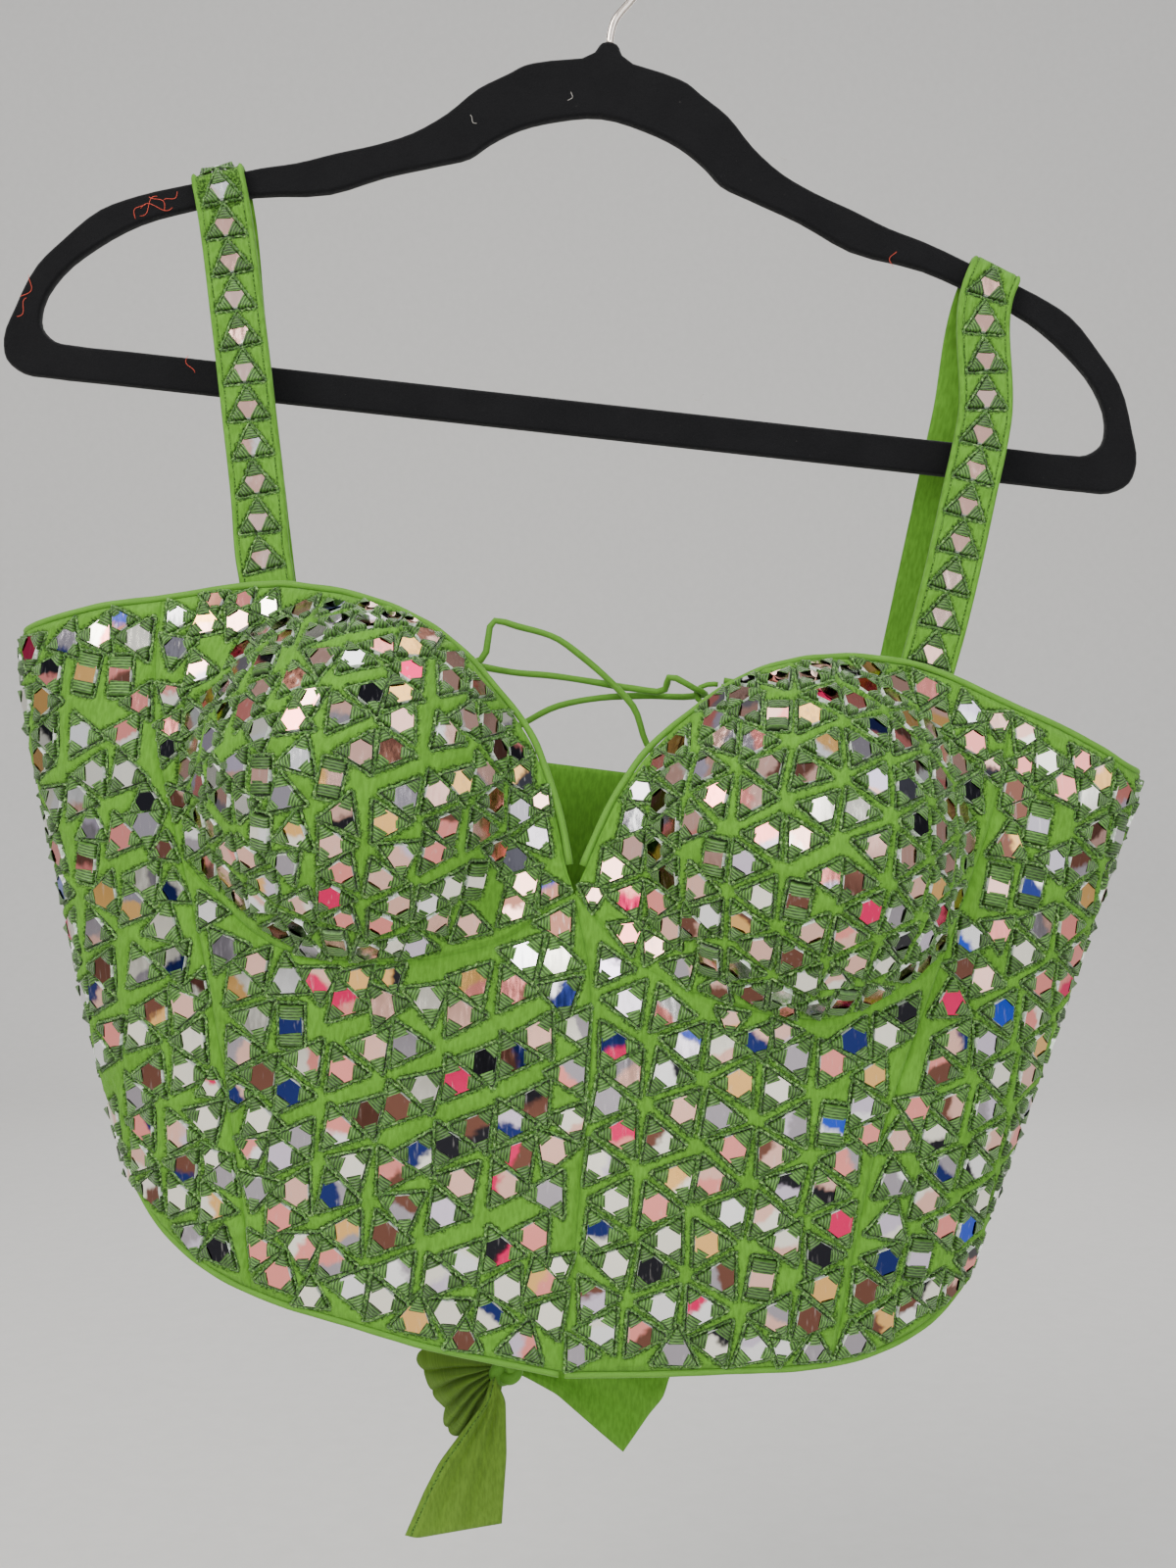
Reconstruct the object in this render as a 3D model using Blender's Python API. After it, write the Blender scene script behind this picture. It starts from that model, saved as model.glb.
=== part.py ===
"""Corset blouse with mirror work, held by its straps on a flocked hanger.

Sizes are in millimetres and become metres when an object is made. The origin is the inside of the
hook's bend at its top. X runs to the right in the front view, -Y to the front and Z up. The blouse
has a frame of its own, tilted with it: across, depth and height from the line between the armpits.
A place on its wall is a run (the way round from the front, in millimetres) and a height.
"""

import math
import random

import bmesh
import bpy
import numpy as np
from mathutils import Vector
from mathutils.geometry import delaunay_2d_cdt

MM = 0.001

# Sizes of the blouse
BLOUSE_TILT = math.radians(7.2)
ARMPIT_LINE = Vector((-16.0, 0.0, -323.3))
WALL = 2.2
SEAM_GAP = 0.2
SQUARENESS = 2.4
SECTIONS = (
    # height, half_width, centre, front_depth, back_depth
    (-262, 145.0, 16.5, 49, 44),
    (-202, 163.0, 12.6, 52, 46),
    (-174, 171.4, 9.5, 53, 47),
    (-136, 182.6, 6.5, 54, 48),
    (-98, 193.5, 4.6, 54, 48),
    (-38, 210.7, 0.0, 50, 47),
    (0, 219.5, 0.0, 44, 45),
    (30, 219.5, 0.0, 36, 42),
    (48, 219.5, 0.0, 33, 40),
)
SIDE_SEAM_TURN = 103.0

# Sizes of a padded cup
CUP_ACROSS = 83.0
CUP_HEIGHT = -38.0
CUP_HALF_WIDTH = 61.0
CUP_HALF_HEIGHT = 66.0
CUP_DEPTH = 38.0
CUP_FULLNESS = 2.4
CUP_FOOT = 5.0
CUP_REACH = 1.9
CUP_SIDE_END = 230.0
CUP_SIDE_FADE = 40.0

# Seam and edge lines of the front, across and height
FRONT_CENTRE = (
    # height, across
    (-262, 23.8),
    (-205, 23.3),
    (-159, 21.3),
    (-134, 20.8),
    (-99, 16.6),
    (-67, 5.8),
    (60, 4.0),
)
NECKLINE = (
    # across from the front centre, height
    (0.0, -69.0),
    (3.5, -60.0),
    (7.5, -47.0),
    (12.5, -33.0),
    (20.0, -18.0),
    (30.0, -5.5),
    (45.5, 9.0),
    (61.0, 19.5),
    (77.0, 25.8),
    (95.0, 29.2),
    (116.0, 29.4),
    (132.0, 26.4),
    (158.0, 18.6),
)
SIDE_TOP = (
    # across from the front centre, height
    (158.0, 18.6),
    (178.0, 13.6),
    (200.0, 6.0),
    (211.0, 1.6),
)
SIDE_FRONT = (
    # height, across from the middle of the section
    (-240, 106.0),
    (-190, 113.0),
    (-150, 120.0),
    (-104, 132.0),
    (-73.5, 141.5),
    (-49, 149.0),
    (-28, 155.0),
    (0, 159.0),
    (18.6, 160.0),
)
UNDERBUST = (
    # share of the way to the side-front seam, height
    (0.0, -69.0),
    (0.045, -74.0),
    (0.09, -80.5),
    (0.17, -90.0),
    (0.31, -98.0),
    (0.40, -101.0),
    (0.52, -103.6),
    (0.64, -104.0),
    (0.71, -102.6),
    (0.80, -97.0),
    (0.905, -85.6),
    (1.0, -73.5),
)
HEM_CENTRE = 13.0
HEM = (
    # across from the middle of the hem, height
    (0.0, -241.5),
    (10.0, -241.5),
    (40.0, -237.8),
    (70.0, -233.6),
    (95.0, -230.8),
    (112.0, -227.6),
    (126.0, -223.2),
    (139.0, -217.0),
    (150.0, -209.5),
    (157.0, -202.5),
)
SIDE_HEM = -198.0
SIDE_FRONT_HEM = -229.0
SIDE_SEAM_TOP = -1.0

# Sizes of the back
BACK_TOP = (
    # across, height
    (200.0, 1.0),
    (160.0, 8.0),
    (127.0, 14.5),
    (90.0, 18.0),
    (56.0, 19.0),
)
BACK_EDGE = (
    # height, across
    (-215, 36.0),
    (-100, 45.0),
    (19, 56.0),
)
BACK_HEM = -205.0
LOOP_TOP = 14.0
LOOP_STEP = 31.0
LOOP_COUNT = 7
LOOP_REACH = 11.0
LOOP_RADIUS = 1.1
LOOP_START = LOOP_RADIUS + 0.3
LOOP_SHAPE = (
    # down from the loop's middle, share of its reach
    (-4.6, 0.0),
    (-4.6, 0.44),
    (-3.2, 0.84),
    (0.0, 1.0),
    (3.2, 0.84),
    (4.6, 0.44),
    (4.6, 0.0),
)
MODESTY_TOP = -22.0
MODESTY_OVERLAP = 15.0
MODESTY_DEPTH = 9.0
MODESTY_REFERENCE = 60.0
MODESTY_WALL = 1.6
MODESTY_CLEAR = 0.5
MODESTY_TUCK_FROM = 0.62
MODESTY_TUCK_OVER = 0.33

# Sizes of the mirror work
TRIANGLE_SIDE = 15.6
CUP_TRIANGLE_SIDE = 13.6
STRAP_TRIANGLE_SIDE = 13.4
OBLONG_HALF_LENGTH = 0.48
OBLONG_HALF_WIDTH = 0.27
OBLONG_SHARE = 0.09
UNIT_SHIFT = 1.0
UNIT_TURN = 0.13
FILLER_SHARES = (1.0, 0.86)
FILLER_STEP = 4.0
FILLER_TURNS = 4
FILLER_TURN = math.pi / 6
LEAST_APART = 0.5
FRONT_SEED = 11
SIDE_SEED = 21
CUP_SEED = 31
STRAP_SEED = 41
NEAR_UNIT = 26.0
NEAR_EDGE = 16.0
MIRROR_RISE = 1.5
BEVEL_IN = 1.6
BODY_PITCH = 23.6
CUP_PITCH = 21.0
EDGE_MARGIN = 1.2
UNIT_MARGIN = 0.9

# Spacing of the free points of a wall, outside where it is plain, and inside
INNER_STEP = 17.0
CUP_STEPS = (None, 13.0)
BACK_STEPS = (18.0, 24.0)
MODESTY_STEPS = (15.0, 15.0)
TAIL_STEPS = (14.0, 14.0)
STRAP_STEPS = (None, 40.0)

# Sizes of edges, straps and cords
PIPING_RADIUS = 1.3
PIPING_AWAY = 1.45
PIPING_END = 0.9
NECK_PIPING_FROM = -60.5
STRAP_WIDTH = 20.6
STRAP_WALL = 2.0
STRAP_RIM = 1.2
STRAP_RIM_RISE = 0.6
STRAP_PITCH = 14.8
STRAP_RIM_SLOPE = 0.4
STRAP_UNITS = 10
STRAP_FIRST_UNIT = 11.5
STRAP_UNIT_TURN = 0.05
STRAP_UNIT_SHIFT = 0.3
STRAP_CLEARANCE = 0.9
STRAP_INSIDE = WALL + 0.5 + STRAP_RIM_RISE + STRAP_WALL / 2
STRAP_TUCK = 10.0
STRAP_TUCK_IN = 0.1
STRAP_ON_ARM = {-1: -145.5, 1: 158.5}
STRAP_ARM_NEAR = 6.0
STRAP_ARM_ROWS = 9
STRAP_ROUND_ARM = 95.0
STRAP_TURN_SHARE = 0.25
STRAP_FRONT_SHARES = (0.15, 0.4, 0.62, 0.82)
STRAP_SEEN_SHARES = (0, 0.45, 0.8, 1)
STRAP_BACK_SHARES = (0.3, 0.6, 0.88)
STRAP_LEAN = {-1: math.radians(6.0), 1: math.radians(-12.0)}
STRAP_FOOT = {
    # across, height, lean in the front view
    -1: (-122.3, 29.8, 0.0),
    1: (126.8, 26.4, math.radians(-16.7)),
}
STRAP_BACK = {
    # across, height
    -1: (-127.0, 12.0),
    1: (127.0, 12.0),
}
BACK_LEVEL = Vector((math.cos(BLOUSE_TILT), 0.0, -math.sin(BLOUSE_TILT)))
STRAP_SEEN = {
    # the centre line as seen in the hanger's plane, from the arm down: x, z, depth
    -1: (
        (-157.0, -113.5, -4.5),
        (-148.9, -178.9, -13.0),
        (-142.1, -238.5, -22.0),
        (-139.4, -274.8, -27.5),
    ),
    1: (
        (151.7, -162.0, -4.5),
        (140.2, -216.7, -13.0),
        (130.7, -262.2, -22.0),
        (119.5, -308.0, -27.5),
    ),
}
LACE_RADIUS = 1.4
LACE_STEP = 19.0
LACE_START_OUTSIDE = (
    # away from the edge, out, above the loop's middle
    (5.7, 0.9, 0.0),
    (8.0, 3.4, -0.2),
    (12.5, 4.4, -0.6),
)
LACE_START_INSIDE = (
    # away from the edge, out, above the loop's middle
    (5.7, -0.9, 0.0),
    (8.0, -3.4, 0.6),
    (12.0, -4.6, 2.5),
)
LACE_IN_LOOP = (
    # away from the edge, out, above the loop's middle
    (22.0, 4.0, 5.0),
    (10.5, 4.2, 1.8),
    (5.7, 0.0, 0.0),
    (10.5, -4.2, -1.8),
    (22.0, -4.0, -5.0),
)
LACE_LOW = -214.0
LACE_LOW_OUT = 5.0
LACE_LOW_AWAY = 24.0
LACE_A_SEEN = (
    # the high slack run: x and z as seen in the hanger's plane, depth
    (-49.6, -289.3, 38.5),
    (-41.2, -291.4, 38.5),
    (-24.8, -296.6, 39.0),
    (-16.4, -302.7, 39.0),
    (-4.2, -313.4, 39.0),
    (4.2, -322.6, 39.0),
)
LACE_B_SEEN = (
    # the level slack run
    (-41.2, -309.6, 46.0),
    (-29.0, -310.6, 44.5),
    (-12.2, -313.0, 43.5),
    (4.2, -315.7, 43.0),
    (16.8, -316.1, 42.0),
)
LACE_C_SEEN = (
    # the run back to the left
    (8.4, -318.6, 47.5),
    (-8.4, -319.4, 47.5),
    (-24.8, -322.5, 47.5),
)
TAIL_WALL = 1.2
KNOT = Vector((-48.0, 50.0, -596.0))
KNOT_RADIUS = 6.5
KNOT_ENTRY = (3.2, 8.5)
KNOT_CLEAR = 0.35
KNOT_STRAIGHT = 1.6
TAIL_DEPTHS = {"tie_tail_long": 41.0, "tie_tail_wide": 56.9}
TAIL_WAVE = 0.8
TAIL_WAVE_TURN = 0.12
TAIL_WAVE_LEAN = 0.4
TAIL_WAVE_FROM = -583.0
TAIL_WAVE_OVER = 20.0
TAIL_SPACING = 12.0
ROSETTE_FROM = 168.0
ROSETTE_TO = 262.0
ROSETTE_PLEATS = 7
ROSETTE_POINTS = 4
ROSETTE_EDGE = 0.25
ROSETTE_EDGE_SLOPE = 4.0
ROSETTE_UNEVEN = 0.07
ROSETTE_WAVE = 7.0
ROSETTE_BACK = 0.8
ROSETTE_RINGS = (
    # radius, half depth
    (7.2, 3.0),
    (12.0, 5.5),
    (19.0, 6.8),
    (26.0, 6.2),
    (31.0, 4.2),
    (33.5, 1.6),
)
TAIL_LONG = (
    # x and z as seen in the hanger's plane
    (-49.6, -584.2),
    (-45.4, -593.4),
    (-45.0, -614.4),
    (-46.9, -641.5),
    (-80.2, -647.3),
    (-84.8, -646.1),
    (-77.1, -628.5),
    (-71.4, -617.5),
    (-64.9, -608.7),
    (-54.2, -594.6),
    (-51.5, -586.1),
    (-49.6, -584.2),
)
TAIL_WIDE = (
    # x and z as seen in the hanger's plane
    (-47.4, -579.9),
    (-43.1, -582.0),
    (-37.4, -584.6),
    (-25.6, -591.1),
    (-10.3, -604.5),
    (0.4, -613.6),
    (10.7, -598.7),
    (16.1, -592.3),
    (18.8, -583.5),
    (21.0, -572.8),
    (1.9, -564.0),
    (-24.8, -569.0),
    (-40.1, -574.7),
    (-44.2, -577.5),
    (-47.4, -579.9),
)

# Sizes of the hanger
HANGER_TILT = math.radians(6.3)
HANGER_THICKNESS = 5.6
HANGER_EDGE = (
    # depth, how far the outline is moved in there
    (-2.8, 1.2),
    (0.0, 0.0),
    (2.8, 1.2),
)
NECK_TOP = Vector((-4.9, 0.0, -64.7))
HOOK_INSIDE = 20.0
HOOK_WIRE = 1.5
HOOK_CLEAR = 0.8
HOOK_STEP = 5.0
HOOK_SHANK = (
    # right of the hook's centre, and above the neck's top
    (0.0, 4.0),
    (0.8, 9.0),
)
HOOK_BEND_FROM = (6.0, -27.5)
HOOK_TURNS = (-48, 201, 14)
ARM_EDGE_ROWS = 18
ARM_TOP = (
    # from the axis, below the neck's top
    (3.0, 0.0),
    (5.5, 4.0),
    (22.0, 9.0),
    (32.0, 12.0),
    (38.0, 16.0),
    (49.0, 23.0),
    (60.0, 34.0),
    (72.5, 43.0),
    (86.0, 49.0),
    (101.0, 54.0),
    (116.0, 59.5),
    (129.5, 63.0),
    (155.5, 72.0),
    (176.0, 79.0),
    (190.0, 86.0),
    (203.0, 99.0),
    (212.0, 110.0),
    (219.0, 128.0),
    (222.0, 140.0),
    (220.0, 148.0),
    (213.0, 152.6),
    (203.0, 153.2),
    (180.0, 153.2),
)
ARM_INSIDE = (
    # from the axis, below the neck's top
    (0.0, 29.0),
    (17.0, 32.0),
    (31.0, 37.0),
    (42.0, 44.0),
    (49.0, 50.0),
    (60.0, 54.0),
    (81.0, 61.0),
    (102.0, 70.0),
    (131.0, 74.5),
    (154.0, 82.0),
    (174.0, 90.0),
    (190.0, 101.0),
    (202.0, 113.0),
    (208.0, 126.0),
    (207.5, 134.0),
    (202.0, 138.8),
    (194.0, 139.6),
    (175.0, 139.6),
)

# Camera of the front view, from which sideways places behind or before the hanger are worked out
EYE = Vector((-13.3, -700.0, -353.0))


def hung(across, depth, height):
    """The place in the row frame of a point given in the blouse's own frame."""
    c, s = math.cos(BLOUSE_TILT), math.sin(BLOUSE_TILT)
    return ARMPIT_LINE + Vector((across * c + height * s, depth, height * c - across * s))


def on_hanger(right, below, depth=0.0):
    """The place of a point given from the hanger's axis and below the top of its neck."""
    c, s = math.cos(HANGER_TILT), math.sin(HANGER_TILT)
    return NECK_TOP + Vector((right * c - below * s, depth, -right * s - below * c))


def behind(x, z, depth):
    """Where a point seen at x and z in the hanger's plane is when it lies at this depth."""
    k = (depth - EYE.y) / -EYE.y
    return Vector((EYE.x + (x - EYE.x) * k, depth, EYE.z + (z - EYE.z) * k))


def column(table, at, value=1):
    return float(np.interp(at, [row[0] for row in table], [row[value] for row in table]))


def power(value, exponent):
    return math.copysign(abs(value) ** exponent, value)


TURNS = np.arange(-205, 206, 1.0)
HEIGHTS = np.arange(-273, 61, 3.0)
RUN_STEP = 3.0
RUN_PLACES = np.arange(-570, 571, RUN_STEP)


def size_rows():
    """Half width, centre, front depth and back depth at each height, smoothed over a short way."""
    near = (-12, -6, 0, 6, 12)
    return np.array(
        [[sum(column(SECTIONS, h + d, k) for d in near) / len(near) for k in (1, 2, 3, 4)] for h in HEIGHTS]
    )


SIZES = size_rows()


def between_heights(height):
    place = (height - HEIGHTS[0]) / (HEIGHTS[1] - HEIGHTS[0])
    low = min(max(int(place), 0), len(HEIGHTS) - 2)
    return low, place - low


def section_sizes(height):
    low, part = between_heights(height)
    return SIZES[low] * (1 - part) + SIZES[low + 1] * part


def on_section(turns, sizes):
    """Across and depth at turns in degrees: 0 is the front, 90 the right side, 180 the back."""
    half, centre, front, back = sizes
    s, c = np.sin(np.radians(turns)), np.cos(np.radians(turns))
    across = centre + half * np.sign(s) * np.abs(s) ** (2 / SQUARENESS)
    deep = np.where(c > 0, -front, back) * np.abs(c) ** (2 / SQUARENESS)
    return across, deep


def run_rows():
    """For each height, the way round from the front to each turn."""
    rows = []
    for sizes in SIZES:
        across, deep = on_section(TURNS, sizes)
        along = np.concatenate([[0], np.cumsum(np.hypot(np.diff(across), np.diff(deep)))])
        rows.append(along - np.interp(0, TURNS, along))
    return np.array(rows)


RUNS = run_rows()


def run_at(turn, height):
    low, part = between_heights(height)
    pair = [np.interp(turn, TURNS, RUNS[low + k]) for k in (0, 1)]
    return float(pair[0] * (1 - part) + pair[1] * part)


def run_of(across, height, back=False):
    """The run of the place on the wall that is this far across."""
    half, centre = section_sizes(height)[:2]
    share = min(max((across - centre) / half, -1), 1)
    turn = math.degrees(math.asin(power(share, SQUARENESS / 2)))
    if back:
        turn = math.copysign(180, turn) - turn
    return run_at(turn, height)


def cup_centre(side):
    return run_of(side * CUP_ACROSS + FRONT_CENTRE[-1][1], CUP_HEIGHT)


CUP_CENTRES = {side: cup_centre(side) for side in (-1, 1)}


def cup_share(run, height, side):
    """How far out a place is in a cup, 1 being its foot."""
    return np.hypot((run - CUP_CENTRES[side]) / CUP_HALF_WIDTH, (height - CUP_HEIGHT) / CUP_HALF_HEIGHT)


def cup_rise(share):
    """How far a cup stands out of the wall at this share, with a soft foot."""
    rise = CUP_DEPTH * (1 - np.minimum(share, CUP_REACH) ** CUP_FULLNESS)
    return 0.5 * (rise + np.hypot(rise, CUP_FOOT))


def wall_grids():
    """The bare wall and the wall with its cups, at every run and height of a fine grid."""
    bare = np.zeros((len(HEIGHTS), len(RUN_PLACES), 3))
    c, s = math.cos(BLOUSE_TILT), math.sin(BLOUSE_TILT)
    for row, height, sizes, runs in zip(bare, HEIGHTS, SIZES, RUNS):
        across, deep = on_section(np.interp(RUN_PLACES, runs, TURNS), sizes)
        row[:, 0] = ARMPIT_LINE.x + across * c + height * s
        row[:, 1] = deep
        row[:, 2] = ARMPIT_LINE.z - across * s + height * c
    normal = np.cross(np.gradient(bare, axis=1), np.gradient(bare, axis=0))
    normal /= np.linalg.norm(normal, axis=2, keepdims=True) + 1e-12
    out = np.zeros(bare.shape[:2])
    for side in (-1, 1):
        out += cup_rise(cup_share(RUN_PLACES[None, :], HEIGHTS[:, None], side))
    out *= np.clip((CUP_SIDE_END - np.abs(RUN_PLACES)) / CUP_SIDE_FADE, 0, 1)[None, :]
    return bare, bare + normal * out[:, :, None]


BARE_GRID, WALL_GRID = wall_grids()


def read_grid(grid, run, height):
    low, part = between_heights(height)
    place = (run - RUN_PLACES[0]) / RUN_STEP
    first = min(max(int(place), 0), len(RUN_PLACES) - 2)
    share = place - first
    one = grid[low, first] * (1 - share) + grid[low, first + 1] * share
    two = grid[low + 1, first] * (1 - share) + grid[low + 1, first + 1] * share
    return Vector(one * (1 - part) + two * part)


def bare_wall(run, height):
    """The outside of the blouse without its cups."""
    return read_grid(BARE_GRID, run, height)


def wall(run, height):
    """The outside of the blouse."""
    return read_grid(WALL_GRID, run, height)


def across_surface(place, u, v, step=1.6):
    """The place, its two directions and its outward normal on any surface of two values."""
    right = (place(u + step, v) - place(u - step, v)) / (2 * step)
    up = (place(u, v + step) - place(u, v - step)) / (2 * step)
    return place(u, v), right, up, right.cross(up).normalized()


# Ways to lay a panel flat. Each is a pair: from run and height to the flat, and back.


LEANS = np.array([run_of(column(FRONT_CENTRE, h), h) for h in HEIGHTS])


def lean(height):
    """The run of the front centre seam."""
    low, part = between_heights(height)
    return LEANS[low] * (1 - part) + LEANS[low + 1] * part


def body_flat():
    """Columns run along the front centre seam."""
    return (
        lambda run, height: (run - lean(height), height),
        lambda u, v: (u + lean(v), v),
    )


def cup_flat(side):
    """Spread about the tip so that a slope keeps its real length."""
    centre = CUP_CENTRES[side]
    mean = (CUP_HALF_WIDTH + CUP_HALF_HEIGHT) / 2
    shares = np.linspace(0, 2.4, 121)
    steps = np.hypot(np.diff(shares) * mean, np.diff(cup_rise(shares)))
    slopes = np.concatenate([[0], np.cumsum(steps)]) / mean

    def scaled(run, height, k):
        return centre + (run - centre) * k, CUP_HEIGHT + (height - CUP_HEIGHT) * k

    def flat(run, height):
        share = max(float(cup_share(run, height, side)), 1e-6)
        return scaled(run, height, float(np.interp(share, shares, slopes)) / share)

    def unflat(u, v):
        spread = max(float(cup_share(u, v, side)), 1e-6)
        return scaled(u, v, float(np.interp(spread, slopes, shares)) / spread)

    return flat, unflat


# Outlines


def spaced(line, step=11.0):
    """The line with more points, so that its straight parts follow the round wall."""
    out = [line[0]]
    for a, b in zip(line, line[1:]):
        count = max(1, round(math.dist(a, b) / step))
        for k in range(1, count + 1):
            out.append((a[0] + (b[0] - a[0]) * k / count, a[1] + (b[1] - a[1]) * k / count))
    return out


def front_centre_line():
    heights = np.linspace(NECKLINE[0][1], HEM[0][1], 14)
    return [(run_of(column(FRONT_CENTRE, h), h), float(h)) for h in heights]


def neckline(side):
    """From the front centre to the side-front seam."""
    points = []
    for away, height in NECKLINE:
        base = column(FRONT_CENTRE, height)
        end = side * column(SIDE_FRONT, NECKLINE[-1][1])
        share = away / NECKLINE[-1][0]
        straight = base + side * away
        points.append((run_of(straight + (end - side * NECKLINE[-1][0] - base) * share**2, height), height))
    return spaced(points)


def side_front_line(side, top, bottom):
    heights = [h for h, _ in SIDE_FRONT if bottom < h < top]
    heights = [bottom, *heights, top][::-1]
    points = []
    for height in heights:
        centre = section_sizes(height)[1]
        points.append((run_of(centre + side * column(SIDE_FRONT, height), height), height))
    return spaced(points)


def underbust(side):
    """From the front centre to the side-front seam, under the cup."""
    points = []
    for share, height in UNDERBUST:
        start = column(FRONT_CENTRE, UNDERBUST[0][1])
        end = section_sizes(UNDERBUST[-1][1])[1] + side * column(SIDE_FRONT, UNDERBUST[-1][1])
        points.append((run_of(start + (end - start) * share, height), height))
    return spaced(points)


def side_front_hem(side):
    """Where the side-front seam meets the hem."""
    across = section_sizes(SIDE_FRONT_HEM)[1] + side * column(SIDE_FRONT, SIDE_FRONT_HEM)
    return across, column(HEM, abs(across - HEM_CENTRE))


def front_lines(side):
    """The front panel's centre, its hem, the hem of the side panel and the seam between them."""
    across, height = side_front_hem(side)
    meet = run_of(across, height), height
    seam = side_front_line(side, UNDERBUST[-1][1], height)
    seam[-1] = meet
    centre = front_centre_line()
    front_hem = hem(side, column(FRONT_CENTRE, HEM[0][1]), across)
    front_hem[0] = centre[-1]
    front_hem[-1] = meet
    side_hem = hem(side, across, HEM_CENTRE + side * HEM[-1][0])
    side_hem[0] = meet
    side_hem.append(seam_point(side, SIDE_HEM))
    return centre, spaced(front_hem), spaced(side_hem), seam


def upper_seam(side):
    """The seam between a cup and the side panel."""
    return side_front_line(side, SIDE_TOP[0][1], UNDERBUST[-1][1])


def hem(side, start, end):
    """The front hem between two distances across, outward."""
    aways = sorted({a for a, _ in HEM if abs(start - HEM_CENTRE) < a < abs(end - HEM_CENTRE)})
    places = [start, *(HEM_CENTRE + side * a for a in aways), end]
    heights = [column(HEM, abs(p - HEM_CENTRE)) for p in places]
    return [(run_of(p, h), h) for p, h in zip(places, heights)]


def seam_point(side, height):
    return (run_at(side * SIDE_SEAM_TURN, height), height)


def side_top(side):
    points = [(run_of(side * (a + 2 - 2 * side), h), h) for a, h in SIDE_TOP[1:]]
    first = (run_of(side * column(SIDE_FRONT, SIDE_TOP[0][1]), SIDE_TOP[0][1]), SIDE_TOP[0][1])
    return spaced([first, *points, seam_point(side, SIDE_SEAM_TOP)])


def back_edge(side):
    """The laced edge of a back panel, top to bottom."""
    heights = np.linspace(BACK_TOP[-1][1], BACK_HEM, 16)
    return [back_place(side * column(BACK_EDGE, h), float(h)) for h in heights]


def back_place(across, height):
    centre = section_sizes(height)[1]
    return (run_of(centre + across, height, back=True), height)


def back_top(side):
    """From the side seam to the laced edge."""
    return spaced([seam_point(side, SIDE_SEAM_TOP), *(back_place(side * a, h) for a, h in BACK_TOP)])


def back_hem(side):
    """From the laced edge to the side seam."""
    return spaced([back_place(side * column(BACK_EDGE, BACK_HEM), BACK_HEM), seam_point(side, SIDE_HEM)])


def side_seam(side):
    """Top to bottom."""
    return spaced([seam_point(side, h) for h in (SIDE_SEAM_TOP, -50.0, -100.0, -150.0, SIDE_HEM)], 16.0)


def closed_outline(*lines):
    """One loop from lines that meet end to end, anticlockwise."""
    loop = []
    for line in lines:
        for p in line:
            if not loop or math.dist(p, loop[-1]) > 1e-3:
                loop.append(p)
    if math.dist(loop[0], loop[-1]) < 1e-3:
        loop.pop()
    area = sum(a[0] * b[1] - b[0] * a[1] for a, b in zip(loop, loop[1:] + loop[:1]))
    return loop if area > 0 else loop[::-1]


def inset(loop, distance):
    """The loop moved inwards, all round."""
    out = []
    for before, here, after in zip(loop[-1:] + loop[:-1], loop, loop[1:] + loop[:1]):
        one = Vector(here) - Vector(before)
        two = Vector(after) - Vector(here)
        in_one = Vector((-one.y, one.x)).normalized()
        in_two = Vector((-two.y, two.x)).normalized()
        middle = (in_one + in_two).normalized()
        out.append(tuple(Vector(here) + middle * distance / max(middle.dot(in_one), 0.35)))
    return out


def is_inside(point, loop):
    x, y = point
    odd = False
    for (ax, ay), (bx, by) in zip(loop, loop[1:] + loop[:1]):
        if (ay > y) != (by > y) and x < (bx - ax) * (y - ay) / (by - ay) + ax:
            odd = not odd
    return odd


# Mirror work. A unit is a thick mirror that thread holds at its corners.


def unit_corners(kind, size):
    if kind == "oblong":
        x, y = size * OBLONG_HALF_LENGTH, size * OBLONG_HALF_WIDTH
        return [(-x, -y), (x, -y), (x, y), (-x, y)]
    radius = size / math.sqrt(3)
    return [(radius * math.cos(math.radians(a)), radius * math.sin(math.radians(a))) for a in (0, 120, 240)]


def footprint(place, unit, shrink=0.0):
    """The unit's corners in the flat, so that they have their real size on the wall."""
    u, v, angle, kind, size = unit
    _, right, up, _ = across_surface(place, u, v, 3.0)
    lean = up.dot(right.normalized())
    steep = (up - right.normalized() * lean).length
    c, s = math.cos(angle), math.sin(angle)
    out = []
    for x, y in unit_corners(kind, size):
        length = math.hypot(x, y)
        k = (length - shrink) / length
        a, b = (x * c - y * s) * k, (x * s + y * c) * k
        dv = b / steep
        out.append((u + (a - lean * dv) / right.length, v + dv))
    return out


def gap_to_edge(point, a, b):
    ax, ay = b[0] - a[0], b[1] - a[1]
    px, py = point[0] - a[0], point[1] - a[1]
    t = min(max((px * ax + py * ay) / (ax * ax + ay * ay), 0), 1)
    return math.hypot(px - ax * t, py - ay * t)


def apart(one, two, margin):
    """True when a line parts the two convex outlines by the margin."""
    for shape in (one, two):
        for a, b in zip(shape, shape[1:] + shape[:1]):
            n = Vector((b[1] - a[1], a[0] - b[0])).normalized()
            first = [n.x * p[0] + n.y * p[1] for p in one]
            second = [n.x * p[0] + n.y * p[1] for p in two]
            if min(first) - max(second) > margin or min(second) - max(first) > margin:
                return True
    return False


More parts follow.
